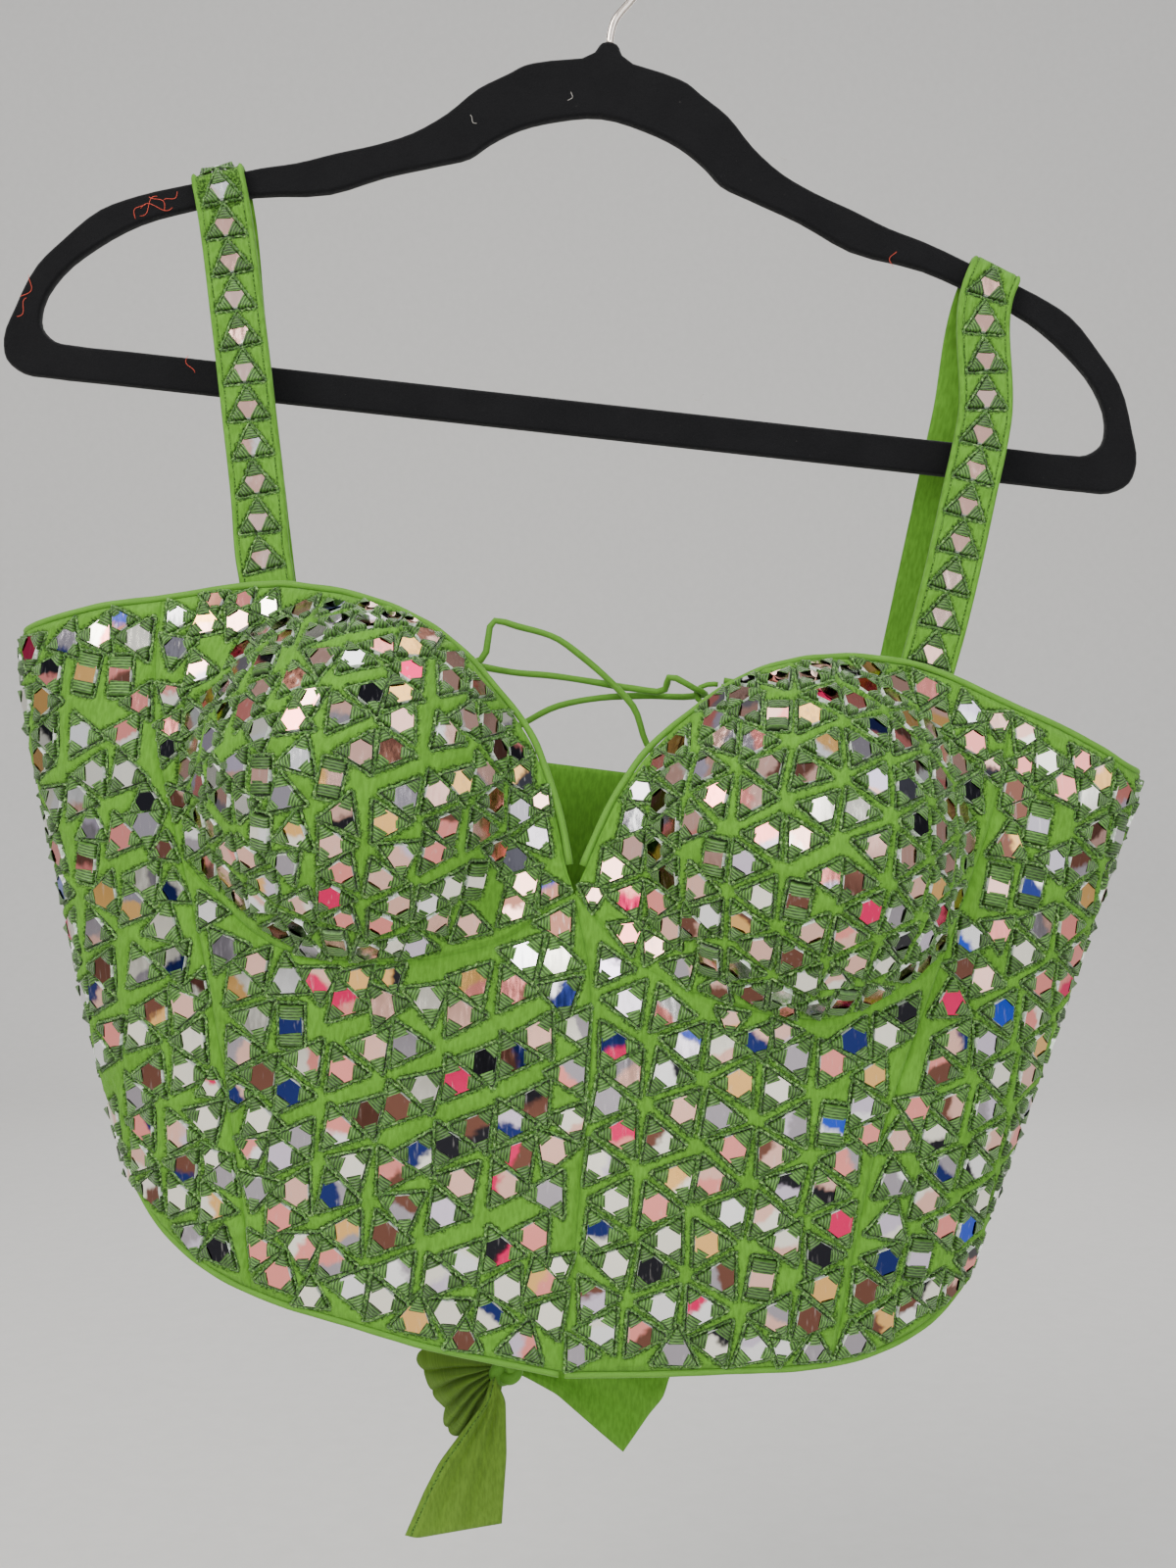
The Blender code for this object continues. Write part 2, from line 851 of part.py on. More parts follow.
def well_inside(shape, loop):
    """True when the shape is in the loop by the margin, corner to edge and edge to corner."""
    middle = [sum(p[k] for p in shape) / len(shape) for k in (0, 1)]
    near = [(a, b) for a, b in zip(loop, loop[1:] + loop[:1]) if gap_to_edge(middle, a, b) < NEAR_EDGE]
    for corner in shape:
        if not is_inside(corner, loop):
            return False
        if any(gap_to_edge(corner, a, b) < EDGE_MARGIN for a, b in near):
            return False
    sides = list(zip(shape, shape[1:] + shape[:1]))
    for point in {p for pair in near for p in pair}:
        if is_inside(point, shape) or any(gap_to_edge(point, a, b) < EDGE_MARGIN for a, b in sides):
            return False
    return True


def fits(shape, loop, taken):
    middle = [sum(p[k] for p in shape) / len(shape) for k in (0, 1)]
    near = [other for centre, other in taken if math.dist(centre, middle) < NEAR_UNIT]
    return all(apart(shape, other, UNIT_MARGIN) for other in near) and well_inside(shape, loop)


def lattice(loop, pitch, size, dice, mirrored):
    """Triangles head to tail in columns, each in its own cell."""
    low = [min(p[k] for p in loop) for k in (0, 1)]
    high = [max(p[k] for p in loop) for k in (0, 1)]
    width = pitch * math.sqrt(3) / 2
    units = []
    for i in range(math.floor(low[0] / width) - 1, math.ceil(high[0] / width) + 1):
        for j in range(math.floor(low[1] / pitch * 2) - 1, math.ceil(high[1] / pitch * 2) + 2):
            first = (i + j) % 2 == 0
            u = (i + (1 / 3 if first else 2 / 3)) * width
            v = j * pitch / 2
            angle = (0 if first else math.pi) + dice.uniform(-UNIT_TURN, UNIT_TURN)
            oblong = dice.random() < OBLONG_SHARE
            units.append(
                (
                    u + dice.uniform(-UNIT_SHIFT, UNIT_SHIFT),
                    v + dice.uniform(-UNIT_SHIFT, UNIT_SHIFT),
                    angle + (math.pi / 2 if oblong else 0) + (math.pi if mirrored else 0),
                    "oblong" if oblong else "triangle",
                    size,
                )
            )
    return units


def fillers(loop, size, dice):
    """Units tried at any angle in what the columns leave free."""
    low = [min(p[k] for p in loop) for k in (0, 1)]
    high = [max(p[k] for p in loop) for k in (0, 1)]
    units = []
    for share in FILLER_SHARES:
        for v in np.arange(low[1], high[1], FILLER_STEP):
            for u in np.arange(low[0], high[0], FILLER_STEP):
                start = dice.uniform(0, 2 * math.pi)
                for k in range(FILLER_TURNS):
                    units.append((float(u), float(v), start + k * FILLER_TURN, "triangle", size * share))
    return units


def mirror_units(place, loop, pitch, size, seed, mirrored=False):
    """The units of one panel, none over another or over the edge."""
    dice = random.Random(seed)
    taken, kept = [], []
    for unit in lattice(loop, pitch, size, dice, mirrored) + fillers(loop, size, dice):
        if not is_inside(unit[:2], loop):
            continue
        if any(math.dist(centre, unit[:2]) < LEAST_APART * size for centre, _ in taken):
            continue
        shape = footprint(place, unit)
        if fits(shape, loop, taken):
            taken.append(((unit[0], unit[1]), shape))
            kept.append(unit)
    return kept


# Making objects


def new_material(name, colour, roughness, metallic=0.0):
    material = bpy.data.materials.new(name)
    material.use_nodes = True
    shader = material.node_tree.nodes["Principled BSDF"]
    shader.inputs["Base Color"].default_value = (*colour, 1)
    shader.inputs["Roughness"].default_value = roughness
    shader.inputs["Metallic"].default_value = metallic
    return material


def add_object(name, data, material, smooth=False):
    data.materials.append(material)
    obj = bpy.data.objects.new(name, data)
    COLLECTION.objects.link(obj)
    if smooth:
        data.shade_smooth()
        data.set_sharp_from_angle(angle=math.radians(35))
    return obj


def grid_inside(loop, step, keep_off):
    """A triangular grid of points inside the loop."""
    low = [min(p[k] for p in loop) for k in (0, 1)]
    high = [max(p[k] for p in loop) for k in (0, 1)]
    edges = list(zip(loop, loop[1:] + loop[:1]))
    points = []
    for j, v in enumerate(np.arange(low[1] + step / 2, high[1], step * 0.87)):
        for u in np.arange(low[0] + (j % 2) * step / 2, high[0], step):
            point = (float(u), float(v))
            if is_inside(point, loop) and min(gap_to_edge(point, a, b) for a, b in edges) > keep_off:
                points.append(point)
    return points


def triangles_between(loops, points):
    """Triangles over the first loop's inside that keep every loop's edges."""
    coords, edges = [], []
    for loop in loops:
        first = len(coords)
        coords += loop
        edges += [(first + k, first + (k + 1) % len(loop)) for k in range(len(loop))]
    coords += points
    flat = [Vector(p) for p in coords]
    made, _, faces, _, _, _ = delaunay_2d_cdt(flat, edges, [], 1, 1e-5)
    if len(made) != len(coords):
        raise RuntimeError("two points or edges of a panel lie on each other")
    return coords, [tuple(face) for face in faces]


def panel(
    name,
    material,
    place,
    loop,
    units=(),
    thickness=WALL,
    lift=0.0,
    rims=((0.0, 0.0),),
    steps=(None, INNER_STEP),
):
    """A cloth wall over a flat outline, plain inside, its outer points raised at the mirror work.

    The rims are loops parallel to the edge, each a distance in and a rise. The steps are the
    spacing of the free points outside and inside, and lift is how far the outside is from place.
    """
    outer_step, inner_step = steps
    loops, lifts = [], []
    for away, rise in rims:
        loops.append(inset(loop, away) if away else loop)
        lifts += [rise] * len(loop)
    for unit in units:
        loops += [footprint(place, unit), footprint(place, unit, BEVEL_IN)]
        corners = len(loops[-1])
        lifts += [0.0] * corners + [MIRROR_RISE] * corners
    free = grid_inside(loop, outer_step, outer_step / 2) if outer_step else []
    outer, outer_faces = triangles_between(loops, free)
    lifts += [0.0] * len(free)
    inner, inner_faces = triangles_between([loop], grid_inside(loop, inner_step, inner_step / 2))

    mesh = bmesh.new()

    def add_points(points, heights):
        made = []
        for (u, v), height in zip(points, heights):
            point, _, _, normal = across_surface(place, u, v)
            made.append(mesh.verts.new((point + normal * height) * MM))
        return made

    top = add_points(outer, [lift + k for k in lifts])
    bottom = add_points(inner, [lift - thickness] * len(inner))
    for face in outer_faces:
        mesh.faces.new([top[k] for k in face])
    for face in inner_faces:
        mesh.faces.new([bottom[k] for k in reversed(face)])
    for k in range(len(loop)):
        n = (k + 1) % len(loop)
        mesh.faces.new((bottom[k], bottom[n], top[n], top[k]))
    bmesh.ops.recalc_face_normals(mesh, faces=mesh.faces)
    data = bpy.data.meshes.new(name)
    mesh.to_mesh(data)
    mesh.free()
    return add_object(name, data, material)


def tube(name, material, points, radius, resolution=2):
    """A round cord along points in the row frame."""
    data = bpy.data.curves.new(name, "CURVE")
    data.dimensions = "3D"
    data.bevel_depth = radius * MM
    data.bevel_resolution = resolution
    data.use_fill_caps = True
    spline = data.splines.new("POLY")
    spline.points.add(len(points) - 1)
    for target, point in zip(spline.points, points):
        target.co = (*(point * MM), 1)
    return add_object(name, data, material)


def on_curve(a, b, c, d, t):
    """The place at a share of the way from b to c on a smooth curve through all four."""
    before, here, after = (max((q - p).length, 1e-6) for p, q in ((a, b), (b, c), (c, d)))
    leave = ((b - a) / before * here + (c - b) / here * before) / (before + here)
    arrive = ((c - b) / here * after + (d - c) / after * here) / (here + after)
    return (
        b * (2 * t**3 - 3 * t**2 + 1)
        + leave * here * (t**3 - 2 * t**2 + t)
        + c * (3 * t**2 - 2 * t**3)
        + arrive * here * (t**3 - t**2)
    )


# Pieces of the blouse


def edge_points(place, line, side, away, deep, ends=0.0):
    """Points beside a panel's edge, in the middle of its wall."""
    points = []
    count = len(line)
    for k, here in enumerate(line):
        before, after = line[max(k - 1, 0)], line[min(k + 1, count - 1)]
        along = Vector((after[0] - before[0], after[1] - before[1])).normalized()
        out = Vector((along.y, -along.x)) * side
        u, v = here[0] + out.x * away, here[1] + out.y * away
        if k in (0, count - 1):
            shift = ends if k == 0 else -ends
            u, v = u + along.x * shift, v + along.y * shift
        point, _, _, normal = across_surface(place, u, v)
        points.append(point + normal * deep)
    return points


def piping(name, line, side):
    """A round edge beside a line given from one end to the other."""
    points = edge_points(wall, line, side, PIPING_AWAY, -WALL / 2, PIPING_END)
    tube(name, PIPING_CLOTH, points, PIPING_RADIUS)


def build_front(side, word):
    to_flat, from_flat = body_flat()

    def place(u, v):
        return wall(*from_flat(u, v))

    centre, front_hem, side_hem, seam = front_lines(side)
    upper = upper_seam(side)
    outlines = (
        ("front", FRONT_SEED, (underbust(side), seam[:-1], front_hem[::-1], centre[::-1])),
        ("side", SIDE_SEED, (side_top(side), side_seam(side), side_hem[::-1], seam[::-1], upper[::-1])),
    )
    for name, seed, outline in outlines:
        loop = inset([to_flat(*p) for p in closed_outline(*outline)], SEAM_GAP)
        units = mirror_units(place, loop, BODY_PITCH, TRIANGLE_SIDE, seed + side, side < 0)
        panel(f"{name}_{word}", MIRROR_CLOTH, place, loop, units=units)
    piping(f"hem_piping_front_{word}", front_hem + side_hem[1:], side)


def build_cup(side, word):
    to_flat, from_flat = cup_flat(side)

    def place(u, v):
        return wall(*from_flat(u, v))

    loop = closed_outline(neckline(side), upper_seam(side), underbust(side)[::-1])
    loop = inset([to_flat(*p) for p in loop], SEAM_GAP)
    units = mirror_units(place, loop, CUP_PITCH, CUP_TRIANGLE_SIDE, CUP_SEED + side, side < 0)
    panel(f"cup_{word}", MIRROR_CLOTH, place, loop, units=units, steps=CUP_STEPS)
    line = neckline(side) + side_top(side)[1:]
    piping(f"neck_piping_{word}", [p for p in line if p[1] > NECK_PIPING_FROM], -side)


def build_back(side, word):
    outline = (back_top(side), back_edge(side), back_hem(side), side_seam(side)[::-1])
    loop = inset(closed_outline(*outline), SEAM_GAP)
    panel(f"back_{word}", PLAIN_CLOTH, wall, loop, steps=BACK_STEPS)
    piping(f"back_piping_top_{word}", back_top(side), -side)
    piping(f"back_piping_hem_{word}", back_hem(side), -side)


def loop_heights():
    return [LOOP_TOP - k * LOOP_STEP for k in range(LOOP_COUNT)]


def back_out(side, height, away, out):
    """A place beside the laced edge: away from it into the gap, and out from the wall's middle."""
    run, _ = back_place(side * column(BACK_EDGE, height), height)
    point, _, _, normal = across_surface(bare_wall, run + side * away, height)
    return point + normal * (out - WALL / 2)


def loops_path(side):
    """Down the back edge, standing out at each crossing of the lace."""
    points = [back_out(side, BACK_TOP[-1][1] - 0.5, LOOP_START, 0)]
    for height in loop_heights():
        for down, share in LOOP_SHAPE:
            points.append(back_out(side, height - down, LOOP_START + share * (LOOP_REACH - LOOP_START), 0))
    points.append(back_out(side, BACK_HEM + 2, LOOP_START, 0))
    return points


def build_lacing_loops(side, word):
    """A narrow rouleau down the back edge that stands out in a loop at each crossing."""
    tube(f"lacing_loops_{word}", PIPING_CLOTH, loops_path(side), LOOP_RADIUS, 1)


def build_modesty():
    """The plain panel behind the lacing, tucked under both back panels."""

    def place(u, v):
        share = u / MODESTY_REFERENCE
        tuck = min(max((abs(share) - MODESTY_TUCK_FROM) / MODESTY_TUCK_OVER, 0), 1)
        deep = MODESTY_DEPTH + (WALL + MODESTY_CLEAR - MODESTY_DEPTH) * tuck * tuck * (3 - 2 * tuck)
        half, centre = section_sizes(v)[:2]
        across = share * (column(BACK_EDGE, v) + MODESTY_OVERLAP)
        turn = 180 + math.degrees(math.asin(power(across / half, SQUARENESS / 2)))
        point, _, _, normal = across_surface(bare_wall, run_at(turn, v), v)
        return point - normal * deep

    corners = [
        (-MODESTY_REFERENCE, BACK_HEM),
        (MODESTY_REFERENCE, BACK_HEM),
        (MODESTY_REFERENCE, MODESTY_TOP),
        (-MODESTY_REFERENCE, MODESTY_TOP),
    ]
    loop = closed_outline(spaced([*corners, corners[0]]))
    panel("modesty_panel", PLAIN_CLOTH, place, loop, thickness=MODESTY_WALL, steps=MODESTY_STEPS)


# Straps


def arm_height(right):
    """How far below the neck's top an arm's top edge is."""
    return column(ARM_TOP[:ARM_EDGE_ROWS], abs(right))


def inside_wall(across, height, back):
    """The middle of a strap against the wall's inside, and the wall's outward direction there."""
    point, _, _, normal = across_surface(bare_wall, run_of(across, height, back), height)
    return point - normal * STRAP_INSIDE, normal


def strap_frames(side):
    """Centre and direction across, from inside the front up and over the arm to the back."""
    frames = []
    front_across, front_height, front_lean = STRAP_FOOT[side]
    level = Vector((math.cos(front_lean), 0, math.sin(front_lean)))
    for down in (STRAP_TUCK, 0.0):
        centre, normal = inside_wall(front_across - down * STRAP_TUCK_IN * side, front_height - down, False)
        frames.append((centre, (level - normal * level.dot(normal)).normalized()))

    right = STRAP_ON_ARM[side]
    top = on_hanger(right, arm_height(right))
    near = (right - STRAP_ARM_NEAR, right + STRAP_ARM_NEAR)
    slope = on_hanger(near[1], arm_height(near[1])) - on_hanger(near[0], arm_height(near[0]))
    arm_lean = math.atan2(slope.z, slope.x)
    rows = STRAP_SEEN[side][::-1]
    for share in STRAP_FRONT_SHARES:
        seen = [float(np.interp(share, STRAP_SEEN_SHARES, [row[k] for row in rows])) for k in (0, 1, 2)]
        tilt = strap_tilt(share, front_lean, side)
        frames.append((behind(*seen), Vector((math.cos(tilt), 0, math.sin(tilt)))))

    across = Vector((math.cos(arm_lean), 0, math.sin(arm_lean)))
    up = Vector((-across.z, 0, across.x))
    radius = HANGER_THICKNESS / 2 + STRAP_CLEARANCE + STRAP_WALL / 2
    centre = top - up * HANGER_THICKNESS / 2
    for angle in np.radians(np.linspace(-STRAP_ROUND_ARM, STRAP_ROUND_ARM, STRAP_ARM_ROWS)):
        out = Vector((0, math.sin(angle), 0)) + up * math.cos(angle)
        frames.append((centre + out * radius, across))

    back_across, back_height = STRAP_BACK[side]
    foot, _ = inside_wall(back_across, back_height, True)
    start = frames[-1][0]
    for share in STRAP_BACK_SHARES:
        frames.append((start.lerp(foot, share), across.lerp(BACK_LEVEL, share).normalized()))
    for down in (0.0, STRAP_TUCK):
        centre, normal = inside_wall(back_across, back_height - down, True)
        frames.append((centre, (BACK_LEVEL - normal * BACK_LEVEL.dot(normal)).normalized()))
    return frames


def strap_fold(along):
    """How far along a strap the top of the hanger's arm is."""
    first = 2 + len(STRAP_FRONT_SHARES)
    return (along[first] + along[first + STRAP_ARM_ROWS - 1]) / 2


def strap_tilt(share, foot_lean, side):
    """The strap's turn in the front view: along the neckline at its foot, then upright."""
    return foot_lean + (STRAP_LEAN[side] - foot_lean) * min(share / STRAP_TURN_SHARE, 1)


def strap_surface(side):
    """The strap's middle surface: across from its centre line, and along it."""
    frames = strap_frames(side)
    along = [0.0]
    for a, b in zip(frames, frames[1:]):
        along.append(along[-1] + (b[0] - a[0]).length)

    def place(u, v):
        k = min(max(int(np.searchsorted(along, v)) - 1, 0), len(frames) - 2)
        share = (v - along[k]) / (along[k + 1] - along[k])
        centre = frames[k][0].lerp(frames[k + 1][0], share)
        return centre + frames[k][1].lerp(frames[k + 1][1], share) * u

    return place, along


def build_strap(side, word):
    place, along = strap_surface(side)
    half = STRAP_WIDTH / 2
    right = [(half, v) for v in along]
    left = [(-half, v) for v in along]
    loop = closed_outline(right, left[::-1])
    dice = random.Random(STRAP_SEED + side)
    units = []
    for k in range(STRAP_UNITS):
        v = strap_fold(along) - STRAP_FIRST_UNIT - k * STRAP_PITCH
        turn = math.pi / 2 + dice.uniform(-STRAP_UNIT_TURN, STRAP_UNIT_TURN)
        shift = dice.uniform(-STRAP_UNIT_SHIFT, STRAP_UNIT_SHIFT)
        units.append((shift, v, turn, "triangle", STRAP_TRIANGLE_SIDE))
    panel(
        f"strap_{word}",
        MIRROR_CLOTH,
        place,
        loop,
        units,
        STRAP_WALL,
        STRAP_WALL / 2,
        ((0.0, STRAP_RIM_RISE), (STRAP_RIM, STRAP_RIM_RISE), (STRAP_RIM + STRAP_RIM_SLOPE, 0.0)),
        STRAP_STEPS,
    )


# Lacing cord, in two halves from the top left loop to the knot


def through_loop(side, height, from_inside):
    """Points through a lacing loop, over its rim and under it."""
    way = -1 if from_inside else 1
    return [back_out(side, height + above, away, out * way) for away, out, above in LACE_IN_LOOP]


def lace_half(first_points, start_loop, start_side, from_inside):
    """The cord from its top run down through every lower loop to the knot."""
    points = list(first_points)
    side = start_side
    for height in loop_heights()[start_loop:]:
        points += through_loop(side, height, from_inside)
        side, from_inside = -side, not from_inside
    last = -side
    points = points[:-1]
    points.append(back_out(last, LACE_LOW, LACE_LOW_AWAY, LACE_LOW_OUT))
    end = KNOT + Vector((last * KNOT_ENTRY[0], 0, KNOT_ENTRY[1])).normalized() * (KNOT_RADIUS + KNOT_CLEAR)
    points.append(end + (end - KNOT) * KNOT_STRAIGHT)
    points.append(end)
    return points


def lace_routes():
    """The two halves as points in the row frame."""
    top = loop_heights()[0]
    begin = [back_out(-1, top + above, away, out) for away, out, above in LACE_START_OUTSIDE]
    high = [back_out(-1, top + above, away, out) for away, out, above in LACE_START_INSIDE]
    run_a = high + [behind(*row) for row in LACE_A_SEEN]
    run_b = begin + [behind(*row) for row in LACE_B_SEEN] + through_loop(1, top, True)
    run_b = run_b[:-1] + [behind(*row) for row in LACE_C_SEEN]
    return lace_half(run_a, 1, 1, True), lace_half(run_b, 1, -1, False)


def build_lace():
    for name, points in zip(("lace_a", "lace_b"), lace_routes()):
        tube(name, PIPING_CLOTH, stepped_path(points, LACE_STEP), LACE_RADIUS)


def stepped_path(points, step):
    """The given points and, where they are far apart, more on a smooth curve between them."""
    ends = [points[0] * 2 - points[1], *points, points[-1] * 2 - points[-2]]
    out = []
    for a, b, c, d in zip(ends, ends[1:], ends[2:], ends[3:]):
        count = max(1, round((c - b).length / step))
        out += [on_curve(a, b, c, d, k / count) for k in range(count)]
    return out + [points[-1]]


# The tie at the end of the cord


def build_tie():
    mesh = bmesh.new()
    bmesh.ops.create_icosphere(mesh, subdivisions=2, radius=KNOT_RADIUS * MM)
    bmesh.ops.translate(mesh, verts=mesh.verts, vec=KNOT * MM)
    data = bpy.data.meshes.new("tie_knot")
    mesh.to_mesh(data)
    mesh.free()
    add_object("tie_knot", data, PLAIN_CLOTH, True)
    build_rosette()
    for name, outline in (("tie_tail_long", TAIL_LONG), ("tie_tail_wide", TAIL_WIDE)):

        def place(u, v, depth=TAIL_DEPTHS[name]):
            wave = TAIL_WAVE * math.sin((u + TAIL_WAVE_LEAN * v) * TAIL_WAVE_TURN)
            return behind(u, v, depth + wave * min(max((TAIL_WAVE_FROM - v) / TAIL_WAVE_OVER, 0), 1))

        loop = closed_outline(spaced(outline, TAIL_SPACING))
        panel(name, PLAIN_CLOTH, place, loop, thickness=TAIL_WALL, steps=TAIL_STEPS)


def build_rosette():
    """A fan of rolled pleats on the knot's left."""
    rings = []
    mesh = bmesh.new()
    start, end = math.radians(ROSETTE_FROM), math.radians(ROSETTE_TO)
    count = ROSETTE_PLEATS * ROSETTE_POINTS
    for radius, depth in ROSETTE_RINGS:
        front, back = [], []
        for k in range(count + 1):
            share = k / count
            angle = start + (end - start) * share
            edge = min(1.0, ROSETTE_EDGE_SLOPE * min(share, 1 - share) + ROSETTE_EDGE)
            pleat = 0.5 + 0.5 * abs(math.sin(math.pi * ROSETTE_PLEATS * share))
            reach = radius
            if radius > ROSETTE_RINGS[0][0]:
                reach *= 1 + ROSETTE_UNEVEN * math.sin(ROSETTE_WAVE * share + 1.0)
            at = KNOT + Vector((math.cos(angle) * reach, 0, math.sin(angle) * reach))
            thick = depth * pleat * edge
            front.append(mesh.verts.new((at + Vector((0, -thick, 0))) * MM))
            back.append(mesh.verts.new((at + Vector((0, thick * ROSETTE_BACK, 0))) * MM))
        rings.append((front, back))
    for (front, back), (front_next, back_next) in zip(rings, rings[1:]):
        for k in range(count):
            mesh.faces.new((front[k], front[k + 1], front_next[k + 1], front_next[k]))
            mesh.faces.new((back[k], back_next[k], back_next[k + 1], back[k + 1]))
        for k in (0, count):
            mesh.faces.new((front[k], front_next[k], back_next[k], back[k]))
    for front, back in (rings[0], rings[-1]):
        for k in range(count):
            mesh.faces.new((front[k], back[k], back[k + 1], front[k + 1]))
    bmesh.ops.recalc_face_normals(mesh, faces=mesh.faces)
    data = bpy.data.meshes.new("tie_rosette")
    mesh.to_mesh(data)
    mesh.free()
    add_object("tie_rosette", data, PLAIN_CLOTH, True)


# The hanger


def rounded(points, parts=2):
    """A closed line with more points on a smooth curve through the given ones."""
    out = []
    count = len(points)
    for k in range(count):
        a, b, c, d = (Vector(points[(k + n) % count]) for n in (-1, 0, 1, 2))
        out += [on_curve(a, b, c, d, part / parts) for part in range(parts)]
    return out


def build_hanger_body():
    """The flocked frame: its outline and its hole, with edges rounded in steps."""
    outside = rounded([*ARM_TOP, *((-x, z) for x, z in ARM_TOP[::-1])])
    hole = rounded([*ARM_INSIDE[1:], *((-x, z) for x, z in ARM_INSIDE[::-1])])
    outside, hole = closed_outline(outside), closed_outline(hole)
    mesh = bmesh.new()
    rings = []
    for depth, away in HANGER_EDGE:
        outer, inner = inset(outside, away), inset(hole, -away)
        rings.append([[mesh.verts.new(on_hanger(*p, depth) * MM) for p in line] for line in (outer, inner)])
        if (depth, away) in (HANGER_EDGE[0], HANGER_EDGE[-1]):
            coords, faces = triangles_between([outer, inner], [])
            points = rings[-1][0] + rings[-1][1]
            for face in faces:
                middle = [sum(coords[k][n] for k in face) / 3 for n in (0, 1)]
                if not is_inside(middle, inner):
                    mesh.faces.new([points[k] for k in face])
    for one, two in zip(rings, rings[1:]):
        for line, following in zip(one, two):
            for k in range(len(line)):
                n = (k + 1) % len(line)
                mesh.faces.new((line[k], line[n], following[n], following[k]))
    bmesh.ops.recalc_face_normals(mesh, faces=mesh.faces)
    data = bpy.data.meshes.new("hanger_body")
    mesh.to_mesh(data)
    mesh.free()
    add_object("hanger_body", data, FLOCKING, True)


def hook_path(start):
    """The wire's centre line, from this far above the neck's top to its end."""
    centre = Vector((0, 0, -HOOK_INSIDE))
    radius = HOOK_INSIDE + HOOK_WIRE
    tilt = Vector((math.cos(HANGER_TILT), 0, -math.sin(HANGER_TILT)))
    up = Vector((-tilt.z, 0, tilt.x))

    def at(right, high):
        return centre + tilt * right + up * high

    neck = (NECK_TOP - centre).dot(up)
    points = [at(0, neck + start), *(at(x, neck + z) for x, z in HOOK_SHANK), at(*HOOK_BEND_FROM)]
    for angle in np.radians(np.arange(*HOOK_TURNS)):
        points.append(at(radius * math.cos(angle), radius * math.sin(angle)))
    return points


def build_hook():
    tube("hanger_hook", STEEL, stepped_path(hook_path(HOOK_CLEAR), HOOK_STEP), HOOK_WIRE)


def build_all():
    """Every sub-part in order."""
    for side, word in ((-1, "left"), (1, "right")):
        build_cup(side, word)
        build_front(side, word)
        build_back(side, word)
        build_lacing_loops(side, word)
        build_strap(side, word)
    build_modesty()
    build_lace()
    build_tie()
    build_hanger_body()
    build_hook()


for old in list(bpy.data.objects):
    bpy.data.objects.remove(old, do_unlink=True)
COLLECTION = bpy.data.collections.new("corset_blouse")
bpy.context.scene.collection.children.link(COLLECTION)
MIRROR_CLOTH = new_material("mirror_work_cloth", (0.13, 0.30, 0.05), 0.8)
PLAIN_CLOTH = new_material("plain_cloth", (0.18, 0.38, 0.06), 0.85)
PIPING_CLOTH = new_material("piping_cloth", (0.16, 0.35, 0.05), 0.8)
FLOCKING = new_material("black_flocking", (0.006, 0.006, 0.007), 0.95)
STEEL = new_material("polished_wire", (0.80, 0.68, 0.60), 0.2, 1.0)
build_all()
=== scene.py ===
"""Looks of a corset blouse with mirror work on its flocked hanger.

The blouse's wall, its seams and the places of the mirrors are worked out in the same way and from
the same sizes as its solids: in millimetres, in a frame tilted with the blouse, where a place on
the wall is a run (the way round from the front) and a height. Each operator makes one piece or
one group of like pieces, and each piece takes the place of the solid of its name.
"""

import math
import random

import bmesh
import bpy
import numpy as np
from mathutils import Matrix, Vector
from mathutils.geometry import delaunay_2d_cdt


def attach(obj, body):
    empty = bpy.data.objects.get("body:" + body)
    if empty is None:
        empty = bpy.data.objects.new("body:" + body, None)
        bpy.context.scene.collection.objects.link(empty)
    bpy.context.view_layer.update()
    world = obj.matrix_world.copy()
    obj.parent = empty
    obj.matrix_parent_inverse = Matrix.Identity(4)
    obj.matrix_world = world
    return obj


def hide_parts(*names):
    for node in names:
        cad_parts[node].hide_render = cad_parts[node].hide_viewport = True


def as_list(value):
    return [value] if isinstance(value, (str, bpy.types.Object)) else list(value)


bl_info = {
    "name": "Corset blouse on hanger",
    "version": (1, 0, 0),
    "blender": (4, 5, 0),
    "location": "View3D > Sidebar > Blouse",
    "description": "Cloth, mirror work, lacing, ties and hanger of a corset blouse",
    "category": "Object",
}

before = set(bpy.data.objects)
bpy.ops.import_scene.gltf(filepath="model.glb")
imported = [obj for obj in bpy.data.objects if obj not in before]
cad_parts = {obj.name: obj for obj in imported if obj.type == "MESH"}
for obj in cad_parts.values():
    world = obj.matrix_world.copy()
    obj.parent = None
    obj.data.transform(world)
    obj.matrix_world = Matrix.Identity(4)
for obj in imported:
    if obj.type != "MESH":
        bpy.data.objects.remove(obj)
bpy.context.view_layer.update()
MM = 0.001
SIDES = ((-1, "left"), (1, "right"))

# Sizes of the blouse
BLOUSE_TILT = math.radians(7.2)
ARMPIT_LINE = Vector((-16.0, 0.0, -323.3))
WALL = 2.2
SEAM_GAP = 0.2
SQUARENESS = 2.4
SECTIONS = (
    # height, half_width, centre, front_depth, back_depth
    (-262, 145.0, 16.5, 49, 44), (-202, 163.0, 12.6, 52, 46), (-174, 171.4, 9.5, 53, 47),
    (-136, 182.6, 6.5, 54, 48), (-98, 193.5, 4.6, 54, 48), (-38, 210.7, 0.0, 50, 47),
    (0, 219.5, 0.0, 44, 45), (30, 219.5, 0.0, 36, 42), (48, 219.5, 0.0, 33, 40),
)
SIDE_SEAM_TURN = 103.0

# Sizes of a padded cup
CUP_ACROSS = 83.0
CUP_HEIGHT = -38.0
CUP_HALF_WIDTH = 61.0
CUP_HALF_HEIGHT = 66.0
CUP_DEPTH = 38.0
CUP_FULLNESS = 2.4
CUP_FOOT = 5.0
CUP_REACH = 1.9
CUP_SIDE_END = 230.0
CUP_SIDE_FADE = 40.0

